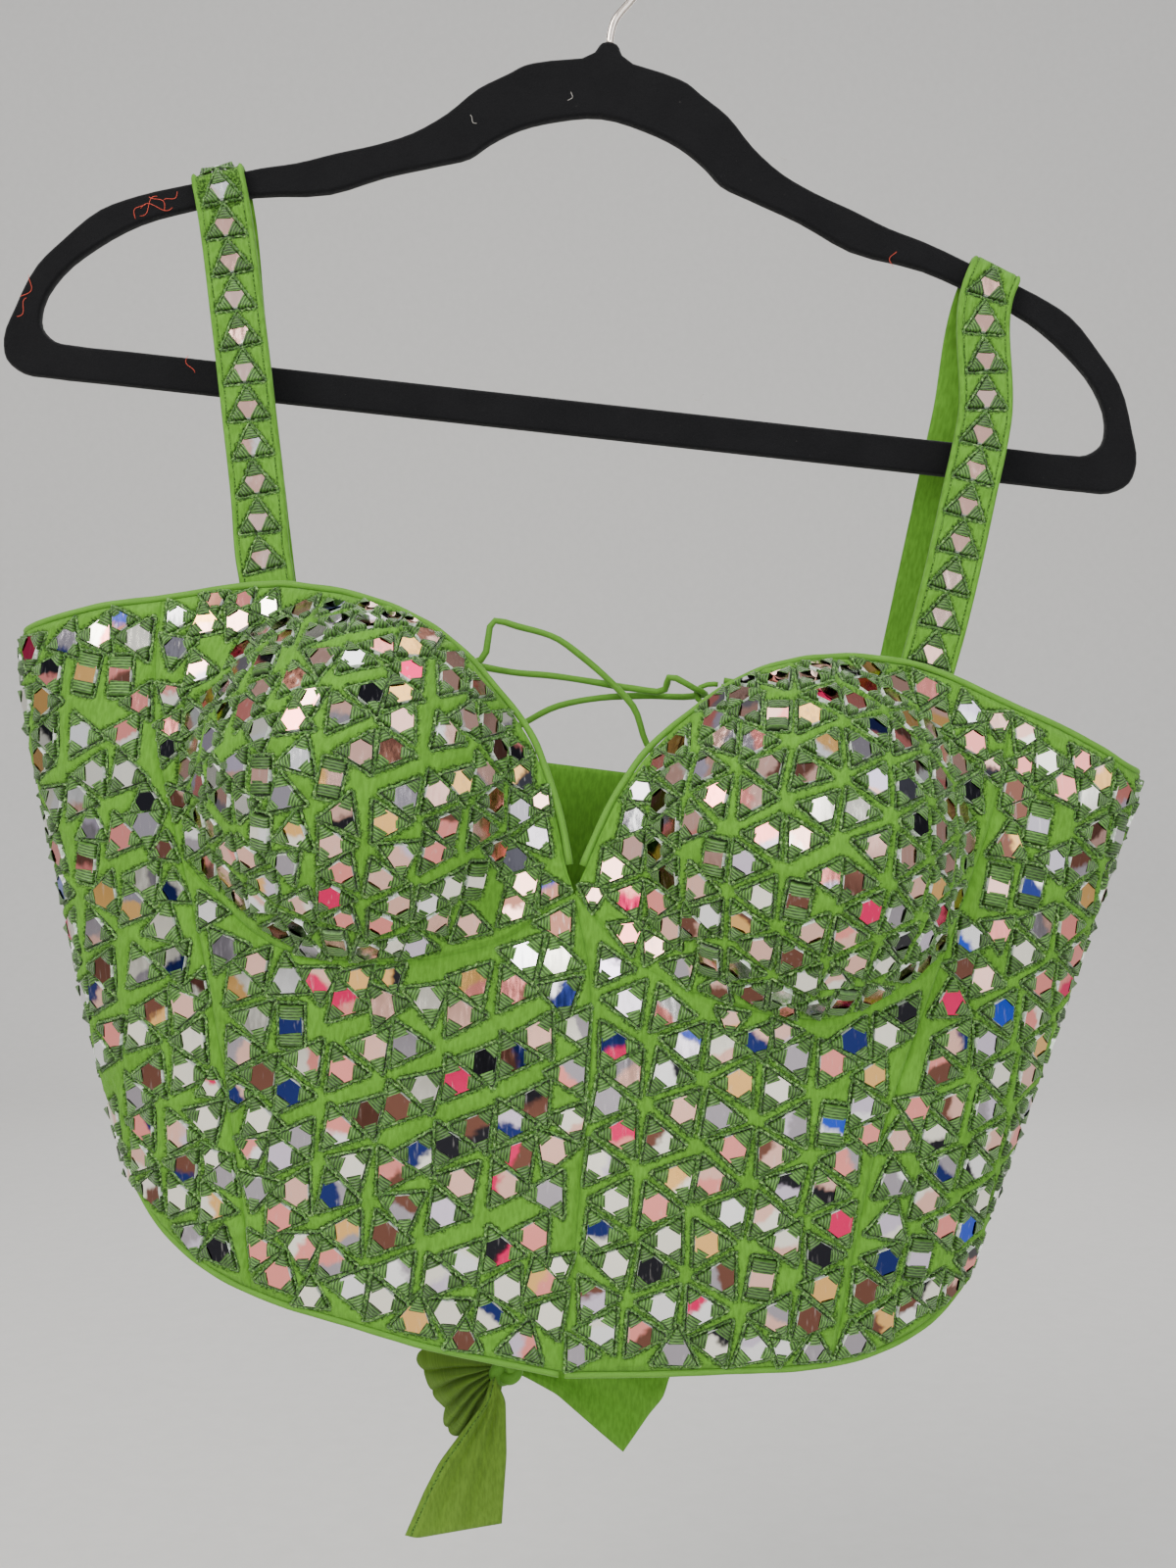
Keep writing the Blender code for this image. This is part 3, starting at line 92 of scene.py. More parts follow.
# Seam and edge lines of the front, across and height
FRONT_CENTRE = (
    # height, across
    (-262, 23.8), (-205, 23.3), (-159, 21.3), (-134, 20.8), (-99, 16.6), (-67, 5.8), (60, 4.0),
)
NECKLINE = (
    # across from the front centre, height
    (0.0, -69.0), (3.5, -60.0), (7.5, -47.0), (12.5, -33.0), (20.0, -18.0), (30.0, -5.5),
    (45.5, 9.0), (61.0, 19.5), (77.0, 25.8), (95.0, 29.2), (116.0, 29.4), (132.0, 26.4),
    (158.0, 18.6),
)
SIDE_TOP = (
    # across from the front centre, height
    (158.0, 18.6), (178.0, 13.6), (200.0, 6.0), (211.0, 1.6),
)
SIDE_FRONT = (
    # height, across from the middle of the section
    (-240, 106.0), (-190, 113.0), (-150, 120.0), (-104, 132.0), (-73.5, 141.5), (-49, 149.0),
    (-28, 155.0), (0, 159.0), (18.6, 160.0),
)
UNDERBUST = (
    # share of the way to the side-front seam, height
    (0.0, -69.0), (0.045, -74.0), (0.09, -80.5), (0.17, -90.0), (0.31, -98.0), (0.40, -101.0),
    (0.52, -103.6), (0.64, -104.0), (0.71, -102.6), (0.80, -97.0), (0.905, -85.6), (1.0, -73.5),
)
HEM_CENTRE = 13.0
HEM = (
    # across from the middle of the hem, height
    (0.0, -241.5), (10.0, -241.5), (40.0, -237.8), (70.0, -233.6), (95.0, -230.8),
    (112.0, -227.6), (126.0, -223.2), (139.0, -217.0), (150.0, -209.5), (157.0, -202.5),
)
SIDE_HEM = -198.0
SIDE_FRONT_HEM = -229.0
SIDE_SEAM_TOP = -1.0

# Sizes of the back
BACK_TOP = (
    # across, height
    (200.0, 1.0), (160.0, 8.0), (127.0, 14.5), (90.0, 18.0), (56.0, 19.0),
)
BACK_EDGE = (
    # height, across
    (-215, 36.0), (-100, 45.0), (19, 56.0),
)
BACK_HEM = -205.0
LOOP_TOP = 14.0
LOOP_STEP = 31.0
LOOP_COUNT = 7
LOOP_REACH = 11.0
LOOP_RADIUS = 1.1
LOOP_START = LOOP_RADIUS + 0.3
LOOP_SHAPE = (
    # down from the loop's middle, share of its reach
    (-4.6, 0.0), (-4.6, 0.44), (-3.2, 0.84), (0.0, 1.0), (3.2, 0.84), (4.6, 0.44), (4.6, 0.0),
)
MODESTY_TOP = -22.0
MODESTY_OVERLAP = 15.0
MODESTY_DEPTH = 9.0
MODESTY_REFERENCE = 60.0
MODESTY_WALL = 1.6
MODESTY_CLEAR = 0.5
MODESTY_TUCK = (0.62, 0.95)

# Sizes of the mirror work
TRIANGLE_SIDE = 15.6
CUP_TRIANGLE_SIDE = 13.6
STRAP_TRIANGLE_SIDE = 13.4
OBLONG_HALF_LENGTH = 0.48
OBLONG_HALF_WIDTH = 0.27
OBLONG_SHARE = 0.09
UNIT_SHIFT = 1.0
UNIT_TURN = 0.13
FILLER_SHARES = (1.0, 0.86)
FILLER_STEP = 4.0
FILLER_TURNS = 4
FILLER_TURN = math.pi / 6
LEAST_APART = 0.5
FRONT_SEED = 11
SIDE_SEED = 21
CUP_SEED = 31
STRAP_SEED = 41
NEAR_UNIT = 26.0
NEAR_EDGE = 16.0
BODY_PITCH = 23.6
CUP_PITCH = 21.0
EDGE_MARGIN = 1.2
UNIT_MARGIN = 0.9
SHARPEST_CORNER = 0.35
NORMAL_STEP = 1.6
UNIT_STEP = 3.0

# Sizes of edges, straps and cords
PIPING_RADIUS = 1.3
PIPING_AWAY = 1.45
PIPING_END = 0.9
NECK_PIPING_FROM = -60.5
STRAP_WIDTH = 20.6
STRAP_WALL = 2.0
STRAP_RIM_RISE = 0.6
STRAP_PITCH = 14.8
STRAP_UNITS = 10
STRAP_FIRST_UNIT = 11.5
STRAP_UNIT_TURN = 0.05
STRAP_UNIT_SHIFT = 0.3
STRAP_CLEARANCE = 0.9
STRAP_INSIDE = WALL + 0.5 + STRAP_RIM_RISE + STRAP_WALL / 2
STRAP_TUCK = 10.0
STRAP_TUCK_IN = 0.1
STRAP_ON_ARM = {-1: -145.5, 1: 158.5}
STRAP_ARM_NEAR = 6.0
STRAP_ARM_ROWS = 9
STRAP_ROUND_ARM = 95.0
STRAP_TURN_SHARE = 0.25
STRAP_FRONT_SHARES = (0.15, 0.4, 0.62, 0.82)
STRAP_SEEN_SHARES = (0, 0.45, 0.8, 1)
STRAP_BACK_SHARES = (0.3, 0.6, 0.88)
STRAP_LEAN = {-1: math.radians(6.0), 1: math.radians(-12.0)}
STRAP_FOOT = {
    # across, height, lean in the front view
    -1: (-122.3, 29.8, 0.0),
    1: (126.8, 26.4, math.radians(-16.7)),
}
STRAP_BACK = {
    # across, height
    -1: (-127.0, 12.0),
    1: (127.0, 12.0),
}
BACK_LEVEL = Vector((math.cos(BLOUSE_TILT), 0.0, -math.sin(BLOUSE_TILT)))
STRAP_SEEN = {
    # the centre line as seen in the hanger's plane, from the arm down: x, z, depth
    -1: (
        (-157.0, -113.5, -4.5), (-148.9, -178.9, -13.0), (-142.1, -238.5, -22.0),
        (-139.4, -274.8, -27.5),
    ),
    1: (
        (151.7, -162.0, -4.5), (140.2, -216.7, -13.0), (130.7, -262.2, -22.0),
        (119.5, -308.0, -27.5),
    ),
}
LACE_RADIUS = 1.4
LACE_START_OUTSIDE = (
    # away from the edge, out, above the loop's middle
    (5.7, 0.9, 0.0), (8.0, 3.4, -0.2), (12.5, 4.4, -0.6),
)
LACE_START_INSIDE = (
    # away from the edge, out, above the loop's middle
    (5.7, -0.9, 0.0), (8.0, -3.4, 0.6), (12.0, -4.6, 2.5),
)
LACE_IN_LOOP = (
    # away from the edge, out, above the loop's middle
    (22.0, 4.0, 5.0), (10.5, 4.2, 1.8), (5.7, 0.0, 0.0), (10.5, -4.2, -1.8), (22.0, -4.0, -5.0),
)
LACE_LOW = -214.0
LACE_LOW_OUT = 5.0
LACE_LOW_AWAY = 24.0
LACE_A_SEEN = (
    # the high slack run: x and z as seen in the hanger's plane, depth
    (-49.6, -289.3, 38.5), (-41.2, -291.4, 38.5), (-24.8, -296.6, 39.0), (-16.4, -302.7, 39.0),
    (-4.2, -313.4, 39.0), (4.2, -322.6, 39.0),
)
LACE_B_SEEN = (
    # the level slack run
    (-41.2, -309.6, 46.0), (-29.0, -310.6, 44.5), (-12.2, -313.0, 43.5), (4.2, -315.7, 43.0),
    (16.8, -316.1, 42.0),
)
LACE_C_SEEN = (
    # the run back to the left
    (8.4, -318.6, 47.5), (-8.4, -319.4, 47.5), (-24.8, -322.5, 47.5),
)
TAIL_WALL = 1.2
KNOT = Vector((-48.0, 50.0, -596.0))
KNOT_RADIUS = 6.5
KNOT_ENTRY = (3.2, 8.5)
KNOT_CLEAR = 0.35
KNOT_STRAIGHT = 1.6
TAIL_DEPTHS = {"tie_tail_long": 41.0, "tie_tail_wide": 56.9}
ROSETTE_FROM = 168.0
ROSETTE_TO = 262.0
ROSETTE_PLEATS = 7
ROSETTE_EDGE = 0.25
ROSETTE_EDGE_SLOPE = 4.0
ROSETTE_BACK = 0.8
ROSETTE_RINGS = (
    # radius, half depth
    (7.2, 3.0), (12.0, 5.5), (19.0, 6.8), (26.0, 6.2), (31.0, 4.2), (33.5, 1.6),
)
TAIL_LONG = (
    # x and z as seen in the hanger's plane
    (-49.6, -584.2), (-45.4, -593.4), (-45.0, -614.4), (-46.9, -641.5), (-80.2, -647.3),
    (-84.8, -646.1), (-77.1, -628.5), (-71.4, -617.5), (-64.9, -608.7), (-54.2, -594.6),
    (-51.5, -586.1), (-49.6, -584.2),
)
TAIL_WIDE = (
    # x and z as seen in the hanger's plane
    (-47.4, -579.9), (-43.1, -582.0), (-37.4, -584.6), (-25.6, -591.1), (-10.3, -604.5),
    (0.4, -613.6), (10.7, -598.7), (16.1, -592.3), (18.8, -583.5), (21.0, -572.8), (1.9, -564.0),
    (-24.8, -569.0), (-40.1, -574.7), (-44.2, -577.5), (-47.4, -579.9),
)

# Sizes of the hanger
HANGER_TILT = math.radians(6.3)
HANGER_THICKNESS = 5.6
NECK_TOP = Vector((-4.9, 0.0, -64.7))
HOOK_INSIDE = 20.0
HOOK_WIRE = 1.5
HOOK_SHANK = (
    # right of the hook's centre, and above the neck's top
    (0.0, 4.0), (0.8, 9.0),
)
HOOK_BEND_FROM = (6.0, -27.5)
HOOK_TURNS = (-48, 201, 14)
ARM_EDGE_ROWS = 18
ARM_TOP = (
    # from the axis, below the neck's top
    (3.0, 0.0), (5.5, 4.0), (22.0, 9.0), (32.0, 12.0), (38.0, 16.0), (49.0, 23.0), (60.0, 34.0),
    (72.5, 43.0), (86.0, 49.0), (101.0, 54.0), (116.0, 59.5), (129.5, 63.0), (155.5, 72.0),
    (176.0, 79.0), (190.0, 86.0), (203.0, 99.0), (212.0, 110.0), (219.0, 128.0), (222.0, 140.0),
    (220.0, 148.0), (213.0, 152.6), (203.0, 153.2), (180.0, 153.2),
)
ARM_INSIDE = (
    # from the axis, below the neck's top
    (0.0, 29.0), (17.0, 32.0), (31.0, 37.0), (42.0, 44.0), (49.0, 50.0), (60.0, 54.0),
    (81.0, 61.0), (102.0, 70.0), (131.0, 74.5), (154.0, 82.0), (174.0, 90.0), (190.0, 101.0),
    (202.0, 113.0), (208.0, 126.0), (207.5, 134.0), (202.0, 138.8), (194.0, 139.6),
    (175.0, 139.6),
)

# Camera of the front view, from which sideways places behind or before the hanger are worked out
EYE = Vector((-13.3, -700.0, -353.0))


def on_hanger(right, below, depth=0.0):
    """The place of a point given from the hanger's axis and below the top of its neck."""
    c, s = math.cos(HANGER_TILT), math.sin(HANGER_TILT)
    return NECK_TOP + Vector((right * c - below * s, depth, -right * s - below * c))


def behind(x, z, depth):
    """Where a point seen at x and z in the hanger's plane is when it lies at this depth."""
    k = (depth - EYE.y) / -EYE.y
    return Vector((EYE.x + (x - EYE.x) * k, depth, EYE.z + (z - EYE.z) * k))


def column(table, at, value=1):
    return float(np.interp(at, [row[0] for row in table], [row[value] for row in table]))


def power(value, exponent):
    return math.copysign(abs(value) ** exponent, value)


TURNS = np.arange(-205, 206, 1.0)
HEIGHTS = np.arange(-273, 61, 3.0)
RUN_STEP = 3.0
RUN_PLACES = np.arange(-570, 571, RUN_STEP)


def size_rows():
    """Half width, centre, front depth and back depth at each height, smoothed over a short way."""
    near = (-12, -6, 0, 6, 12)
    return np.array(
        [[sum(column(SECTIONS, h + d, k) for d in near) / len(near) for k in (1, 2, 3, 4)] for h in HEIGHTS]
    )


SIZES = size_rows()


def between_heights(height):
    place = (height - HEIGHTS[0]) / (HEIGHTS[1] - HEIGHTS[0])
    low = min(max(int(place), 0), len(HEIGHTS) - 2)
    return low, place - low


def section_sizes(height):
    low, part = between_heights(height)
    return SIZES[low] * (1 - part) + SIZES[low + 1] * part


def on_section(turns, sizes):
    """Across and depth at turns in degrees: 0 is the front, 90 the right side, 180 the back."""
    half, centre, front, back = sizes
    s, c = np.sin(np.radians(turns)), np.cos(np.radians(turns))
    across = centre + half * np.sign(s) * np.abs(s) ** (2 / SQUARENESS)
    deep = np.where(c > 0, -front, back) * np.abs(c) ** (2 / SQUARENESS)
    return across, deep


def run_rows():
    """For each height, the way round from the front to each turn."""
    rows = []
    for sizes in SIZES:
        across, deep = on_section(TURNS, sizes)
        along = np.concatenate([[0], np.cumsum(np.hypot(np.diff(across), np.diff(deep)))])
        rows.append(along - np.interp(0, TURNS, along))
    return np.array(rows)


RUNS = run_rows()


def run_at(turn, height):
    low, part = between_heights(height)
    pair = [np.interp(turn, TURNS, RUNS[low + k]) for k in (0, 1)]
    return float(pair[0] * (1 - part) + pair[1] * part)


def run_of(across, height, back=False):
    """The run of the place on the wall that is this far across."""
    half, centre = section_sizes(height)[:2]
    share = min(max((across - centre) / half, -1), 1)
    turn = math.degrees(math.asin(power(share, SQUARENESS / 2)))
    if back:
        turn = math.copysign(180, turn) - turn
    return run_at(turn, height)


def cup_centre(side):
    return run_of(side * CUP_ACROSS + FRONT_CENTRE[-1][1], CUP_HEIGHT)


CUP_CENTRES = {side: cup_centre(side) for side in (-1, 1)}


def cup_share(run, height, side):
    """How far out a place is in a cup, 1 being its foot."""
    return np.hypot((run - CUP_CENTRES[side]) / CUP_HALF_WIDTH, (height - CUP_HEIGHT) / CUP_HALF_HEIGHT)


def cup_rise(share):
    """How far a cup stands out of the wall at this share, with a soft foot."""
    rise = CUP_DEPTH * (1 - np.minimum(share, CUP_REACH) ** CUP_FULLNESS)
    return 0.5 * (rise + np.hypot(rise, CUP_FOOT))


def wall_grids():
    """The bare wall and the wall with its cups, at every run and height of a fine grid."""
    bare = np.zeros((len(HEIGHTS), len(RUN_PLACES), 3))
    c, s = math.cos(BLOUSE_TILT), math.sin(BLOUSE_TILT)
    for row, height, sizes, runs in zip(bare, HEIGHTS, SIZES, RUNS):
        across, deep = on_section(np.interp(RUN_PLACES, runs, TURNS), sizes)
        row[:, 0] = ARMPIT_LINE.x + across * c + height * s
        row[:, 1] = deep
        row[:, 2] = ARMPIT_LINE.z - across * s + height * c
    normal = np.cross(np.gradient(bare, axis=1), np.gradient(bare, axis=0))
    normal /= np.linalg.norm(normal, axis=2, keepdims=True) + 1e-12
    out = np.zeros(bare.shape[:2])
    for side in (-1, 1):
        out += cup_rise(cup_share(RUN_PLACES[None, :], HEIGHTS[:, None], side))
    out *= np.clip((CUP_SIDE_END - np.abs(RUN_PLACES)) / CUP_SIDE_FADE, 0, 1)[None, :]
    return bare, bare + normal * out[:, :, None]


BARE_GRID, WALL_GRID = wall_grids()


def read_grid(grid, run, height):
    low, part = between_heights(height)
    place = (run - RUN_PLACES[0]) / RUN_STEP
    first = min(max(int(place), 0), len(RUN_PLACES) - 2)
    share = place - first
    one = grid[low, first] * (1 - share) + grid[low, first + 1] * share
    two = grid[low + 1, first] * (1 - share) + grid[low + 1, first + 1] * share
    return Vector(one * (1 - part) + two * part)


def bare_wall(run, height):
    """The outside of the blouse without its cups."""
    return read_grid(BARE_GRID, run, height)


def wall(run, height):
    """The outside of the blouse."""
    return read_grid(WALL_GRID, run, height)


def across_surface(place, u, v, step=NORMAL_STEP):
    """The place, its two directions and its outward normal on any surface of two values."""
    right = (place(u + step, v) - place(u - step, v)) / (2 * step)
    up = (place(u, v + step) - place(u, v - step)) / (2 * step)
    return place(u, v), right, up, right.cross(up).normalized()


# Ways to lay a panel flat. Each is a pair: from run and height to the flat, and back.


LEANS = np.array([run_of(column(FRONT_CENTRE, h), h) for h in HEIGHTS])


def lean(height):
    """The run of the front centre seam."""
    low, part = between_heights(height)
    return LEANS[low] * (1 - part) + LEANS[low + 1] * part


def body_flat():
    """Columns run along the front centre seam."""
    return (
        lambda run, height: (run - lean(height), height),
        lambda u, v: (u + lean(v), v),
    )


def cup_flat(side):
    """Spread about the tip so that a slope keeps its real length."""
    centre = CUP_CENTRES[side]
    mean = (CUP_HALF_WIDTH + CUP_HALF_HEIGHT) / 2
    shares = np.linspace(0, 2.4, 121)
    steps = np.hypot(np.diff(shares) * mean, np.diff(cup_rise(shares)))
    slopes = np.concatenate([[0], np.cumsum(steps)]) / mean

    def scaled(run, height, k):
        return centre + (run - centre) * k, CUP_HEIGHT + (height - CUP_HEIGHT) * k

    def flat(run, height):
        share = max(float(cup_share(run, height, side)), 1e-6)
        return scaled(run, height, float(np.interp(share, shares, slopes)) / share)

    def unflat(u, v):
        spread = max(float(cup_share(u, v, side)), 1e-6)
        return scaled(u, v, float(np.interp(spread, slopes, shares)) / spread)

    return flat, unflat


# Outlines


def spaced(line, step=11.0):
    """The line with more points, so that its straight parts follow the round wall."""
    out = [line[0]]
    for a, b in zip(line, line[1:]):
        count = max(1, round(math.dist(a, b) / step))
        for k in range(1, count + 1):
            out.append((a[0] + (b[0] - a[0]) * k / count, a[1] + (b[1] - a[1]) * k / count))
    return out


def front_centre_line():
    heights = np.linspace(NECKLINE[0][1], HEM[0][1], 14)
    return [(run_of(column(FRONT_CENTRE, h), h), float(h)) for h in heights]


def neckline(side):
    """From the front centre to the side-front seam."""
    points = []
    for away, height in NECKLINE:
        base = column(FRONT_CENTRE, height)
        end = side * column(SIDE_FRONT, NECKLINE[-1][1])
        share = away / NECKLINE[-1][0]
        straight = base + side * away
        points.append((run_of(straight + (end - side * NECKLINE[-1][0] - base) * share**2, height), height))
    return spaced(points)


def side_front_line(side, top, bottom):
    heights = [h for h, _ in SIDE_FRONT if bottom < h < top]
    heights = [bottom, *heights, top][::-1]
    points = []
    for height in heights:
        centre = section_sizes(height)[1]
        points.append((run_of(centre + side * column(SIDE_FRONT, height), height), height))
    return spaced(points)


def underbust(side):
    """From the front centre to the side-front seam, under the cup."""
    points = []
    for share, height in UNDERBUST:
        start = column(FRONT_CENTRE, UNDERBUST[0][1])
        end = section_sizes(UNDERBUST[-1][1])[1] + side * column(SIDE_FRONT, UNDERBUST[-1][1])
        points.append((run_of(start + (end - start) * share, height), height))
    return spaced(points)


def side_front_hem(side):
    """Where the side-front seam meets the hem."""
    across = section_sizes(SIDE_FRONT_HEM)[1] + side * column(SIDE_FRONT, SIDE_FRONT_HEM)
    return across, column(HEM, abs(across - HEM_CENTRE))


def front_lines(side):
    """The front panel's centre, its hem, the hem of the side panel and the seam between them."""
    across, height = side_front_hem(side)
    meet = run_of(across, height), height
    seam = side_front_line(side, UNDERBUST[-1][1], height)
    seam[-1] = meet
    centre = front_centre_line()
    front_hem = hem(side, column(FRONT_CENTRE, HEM[0][1]), across)
    front_hem[0] = centre[-1]
    front_hem[-1] = meet
    side_hem = hem(side, across, HEM_CENTRE + side * HEM[-1][0])
    side_hem[0] = meet
    side_hem.append(seam_point(side, SIDE_HEM))
    return centre, spaced(front_hem), spaced(side_hem), seam


def upper_seam(side):
    """The seam between a cup and the side panel."""
    return side_front_line(side, SIDE_TOP[0][1], UNDERBUST[-1][1])


def hem(side, start, end):
    """The front hem between two distances across, outward."""
    aways = sorted({a for a, _ in HEM if abs(start - HEM_CENTRE) < a < abs(end - HEM_CENTRE)})
    places = [start, *(HEM_CENTRE + side * a for a in aways), end]
    heights = [column(HEM, abs(p - HEM_CENTRE)) for p in places]
    return [(run_of(p, h), h) for p, h in zip(places, heights)]


def seam_point(side, height):
    return (run_at(side * SIDE_SEAM_TURN, height), height)


def side_top(side):
    points = [(run_of(side * (a + 2 - 2 * side), h), h) for a, h in SIDE_TOP[1:]]
    first = (run_of(side * column(SIDE_FRONT, SIDE_TOP[0][1]), SIDE_TOP[0][1]), SIDE_TOP[0][1])
    return spaced([first, *points, seam_point(side, SIDE_SEAM_TOP)])


def back_edge(side):
    """The laced edge of a back panel, top to bottom."""
    heights = np.linspace(BACK_TOP[-1][1], BACK_HEM, 16)
    return [back_place(side * column(BACK_EDGE, h), float(h)) for h in heights]


def back_place(across, height):
    centre = section_sizes(height)[1]
    return (run_of(centre + across, height, back=True), height)


def back_top(side):
    """From the side seam to the laced edge."""
    return spaced([seam_point(side, SIDE_SEAM_TOP), *(back_place(side * a, h) for a, h in BACK_TOP)])


def back_hem(side):
    """From the laced edge to the side seam."""
    return spaced([back_place(side * column(BACK_EDGE, BACK_HEM), BACK_HEM), seam_point(side, SIDE_HEM)])


def side_seam(side):
    """Top to bottom."""
    return spaced([seam_point(side, h) for h in (SIDE_SEAM_TOP, -50.0, -100.0, -150.0, SIDE_HEM)], 16.0)


def closed_outline(*lines):
    """One loop from lines that meet end to end, anticlockwise."""
    loop = []
    for line in lines:
        for p in line:
            if not loop or math.dist(p, loop[-1]) > 1e-3:
                loop.append(p)
    if math.dist(loop[0], loop[-1]) < 1e-3:
        loop.pop()
    area = sum(a[0] * b[1] - b[0] * a[1] for a, b in zip(loop, loop[1:] + loop[:1]))
    return loop if area > 0 else loop[::-1]


def inset(loop, distance):
    """The loop moved inwards, all round."""
    out = []
    for before, here, after in zip(loop[-1:] + loop[:-1], loop, loop[1:] + loop[:1]):
        one = Vector(here) - Vector(before)
        two = Vector(after) - Vector(here)
        in_one = Vector((-one.y, one.x)).normalized()
        in_two = Vector((-two.y, two.x)).normalized()
        middle = (in_one + in_two).normalized()
        out.append(tuple(Vector(here) + middle * distance / max(middle.dot(in_one), SHARPEST_CORNER)))
    return out


def is_inside(point, loop):
    x, y = point
    odd = False
    for (ax, ay), (bx, by) in zip(loop, loop[1:] + loop[:1]):
        if (ay > y) != (by > y) and x < (bx - ax) * (y - ay) / (by - ay) + ax:
            odd = not odd
    return odd


# Mirror work. A unit is a thick mirror that thread holds at its corners.


def unit_corners(kind, size):
    if kind == "oblong":
        x, y = size * OBLONG_HALF_LENGTH, size * OBLONG_HALF_WIDTH
        return [(-x, -y), (x, -y), (x, y), (-x, y)]
    return [turned(size / math.sqrt(3), 0, math.radians(a)) for a in (0, 120, 240)]


def turned(x, y, angle):
    c, s = math.cos(angle), math.sin(angle)
    return x * c - y * s, x * s + y * c


def footprint(place, unit):
    """The unit's corners in the flat, so that they have their real size on the wall."""
    u, v, angle, kind, size = unit
    _, right, up, _ = across_surface(place, u, v, UNIT_STEP)
    lean = up.dot(right.normalized())
    steep = (up - right.normalized() * lean).length
    out = []
    for corner in unit_corners(kind, size):
        a, b = turned(*corner, angle)
        dv = b / steep
        out.append((u + (a - lean * dv) / right.length, v + dv))
    return out


def gap_to_edge(point, a, b):
    ax, ay = b[0] - a[0], b[1] - a[1]
    px, py = point[0] - a[0], point[1] - a[1]
    t = min(max((px * ax + py * ay) / (ax * ax + ay * ay), 0), 1)
    return math.hypot(px - ax * t, py - ay * t)


def apart(one, two, margin):
    """True when a line parts the two convex outlines by the margin."""
    for shape in (one, two):
        for a, b in zip(shape, shape[1:] + shape[:1]):
            n = Vector((b[1] - a[1], a[0] - b[0])).normalized()
            first = [n.x * p[0] + n.y * p[1] for p in one]
            second = [n.x * p[0] + n.y * p[1] for p in two]
            if min(first) - max(second) > margin or min(second) - max(first) > margin:
                return True
    return False


def well_inside(shape, loop):
    """True when the shape is in the loop by the margin, corner to edge and edge to corner."""
    middle = middle_of(shape)
    near = [(a, b) for a, b in zip(loop, loop[1:] + loop[:1]) if gap_to_edge(middle, a, b) < NEAR_EDGE]
    for corner in shape:
        if not is_inside(corner, loop):
            return False
        if any(gap_to_edge(corner, a, b) < EDGE_MARGIN for a, b in near):
            return False
    sides = list(zip(shape, shape[1:] + shape[:1]))
    for point in {p for pair in near for p in pair}:
        if is_inside(point, shape) or any(gap_to_edge(point, a, b) < EDGE_MARGIN for a, b in sides):
            return False
    return True


def reach_of(loop):
    """The least and the greatest of both values."""
    return [[edge(p[k] for p in loop) for k in (0, 1)] for edge in (min, max)]


def middle_of(shape):
    return [sum(p[k] for p in shape) / len(shape) for k in (0, 1)]


def fits(shape, loop, taken):
    middle = middle_of(shape)
    near = [other for centre, other in taken if math.dist(centre, middle) < NEAR_UNIT]
    return all(apart(shape, other, UNIT_MARGIN) for other in near) and well_inside(shape, loop)


def lattice(loop, pitch, size, dice, mirrored):
    """Triangles head to tail in columns, each in its own cell."""
    low, high = reach_of(loop)
    width = pitch * math.sqrt(3) / 2
    units = []
    for i in range(math.floor(low[0] / width) - 1, math.ceil(high[0] / width) + 1):
        for j in range(math.floor(low[1] / pitch * 2) - 1, math.ceil(high[1] / pitch * 2) + 2):
            first = (i + j) % 2 == 0
            u = (i + (1 / 3 if first else 2 / 3)) * width
            v = j * pitch / 2
            angle = (0 if first else math.pi) + dice.uniform(-UNIT_TURN, UNIT_TURN)
            oblong = dice.random() < OBLONG_SHARE
            units.append(
                (
                    u + dice.uniform(-UNIT_SHIFT, UNIT_SHIFT),
                    v + dice.uniform(-UNIT_SHIFT, UNIT_SHIFT),
                    angle + (math.pi / 2 if oblong else 0) + (math.pi if mirrored else 0),
                    "oblong" if oblong else "triangle",
                    size,
                )
            )
    return units


def fillers(loop, size, dice):
    """Units tried at any angle in what the columns leave free."""
    low, high = reach_of(loop)
    units = []
    for share in FILLER_SHARES:
        for v in np.arange(low[1], high[1], FILLER_STEP):
            for u in np.arange(low[0], high[0], FILLER_STEP):
                start = dice.uniform(0, 2 * math.pi)
                for k in range(FILLER_TURNS):
                    units.append((float(u), float(v), start + k * FILLER_TURN, "triangle", size * share))
    return units


def mirror_units(place, loop, pitch, size, seed, mirrored=False):
    """The units of one panel, none over another or over the edge."""
    dice = random.Random(seed)
    taken, kept = [], []
    for unit in lattice(loop, pitch, size, dice, mirrored) + fillers(loop, size, dice):
        if not is_inside(unit[:2], loop):
            continue
        if any(math.dist(centre, unit[:2]) < LEAST_APART * size for centre, _ in taken):
            continue
        shape = footprint(place, unit)
        if fits(shape, loop, taken):
            taken.append(((unit[0], unit[1]), shape))
            kept.append(unit)
    return kept


def triangles_between(loops, points):
    """Triangles over the first loop's inside that keep every loop's edges."""
    coords, edges = [], []
    for loop in loops:
        first = len(coords)
        coords += loop
        edges += [(first + k, first + (k + 1) % len(loop)) for k in range(len(loop))]
    coords += points
    flat = [Vector(p) for p in coords]
    made, _, faces, _, _, _ = delaunay_2d_cdt(flat, edges, [], 1, 1e-5)
    if len(made) != len(coords):
        raise RuntimeError("two points or edges of a panel lie on each other")
    return coords, [tuple(face) for face in faces]


def on_curve(a, b, c, d, t):
    """The place at a share of the way from b to c on a smooth curve through all four."""
    before, here, after = (max((q - p).length, 1e-6) for p, q in ((a, b), (b, c), (c, d)))
    leave = ((b - a) / before * here + (c - b) / here * before) / (before + here)
    arrive = ((c - b) / here * after + (d - c) / after * here) / (here + after)
    return (
        b * (2 * t**3 - 3 * t**2 + 1)
        + leave * here * (t**3 - 2 * t**2 + t)
        + c * (3 * t**2 - 2 * t**3)
        + arrive * here * (t**3 - t**2)
    )


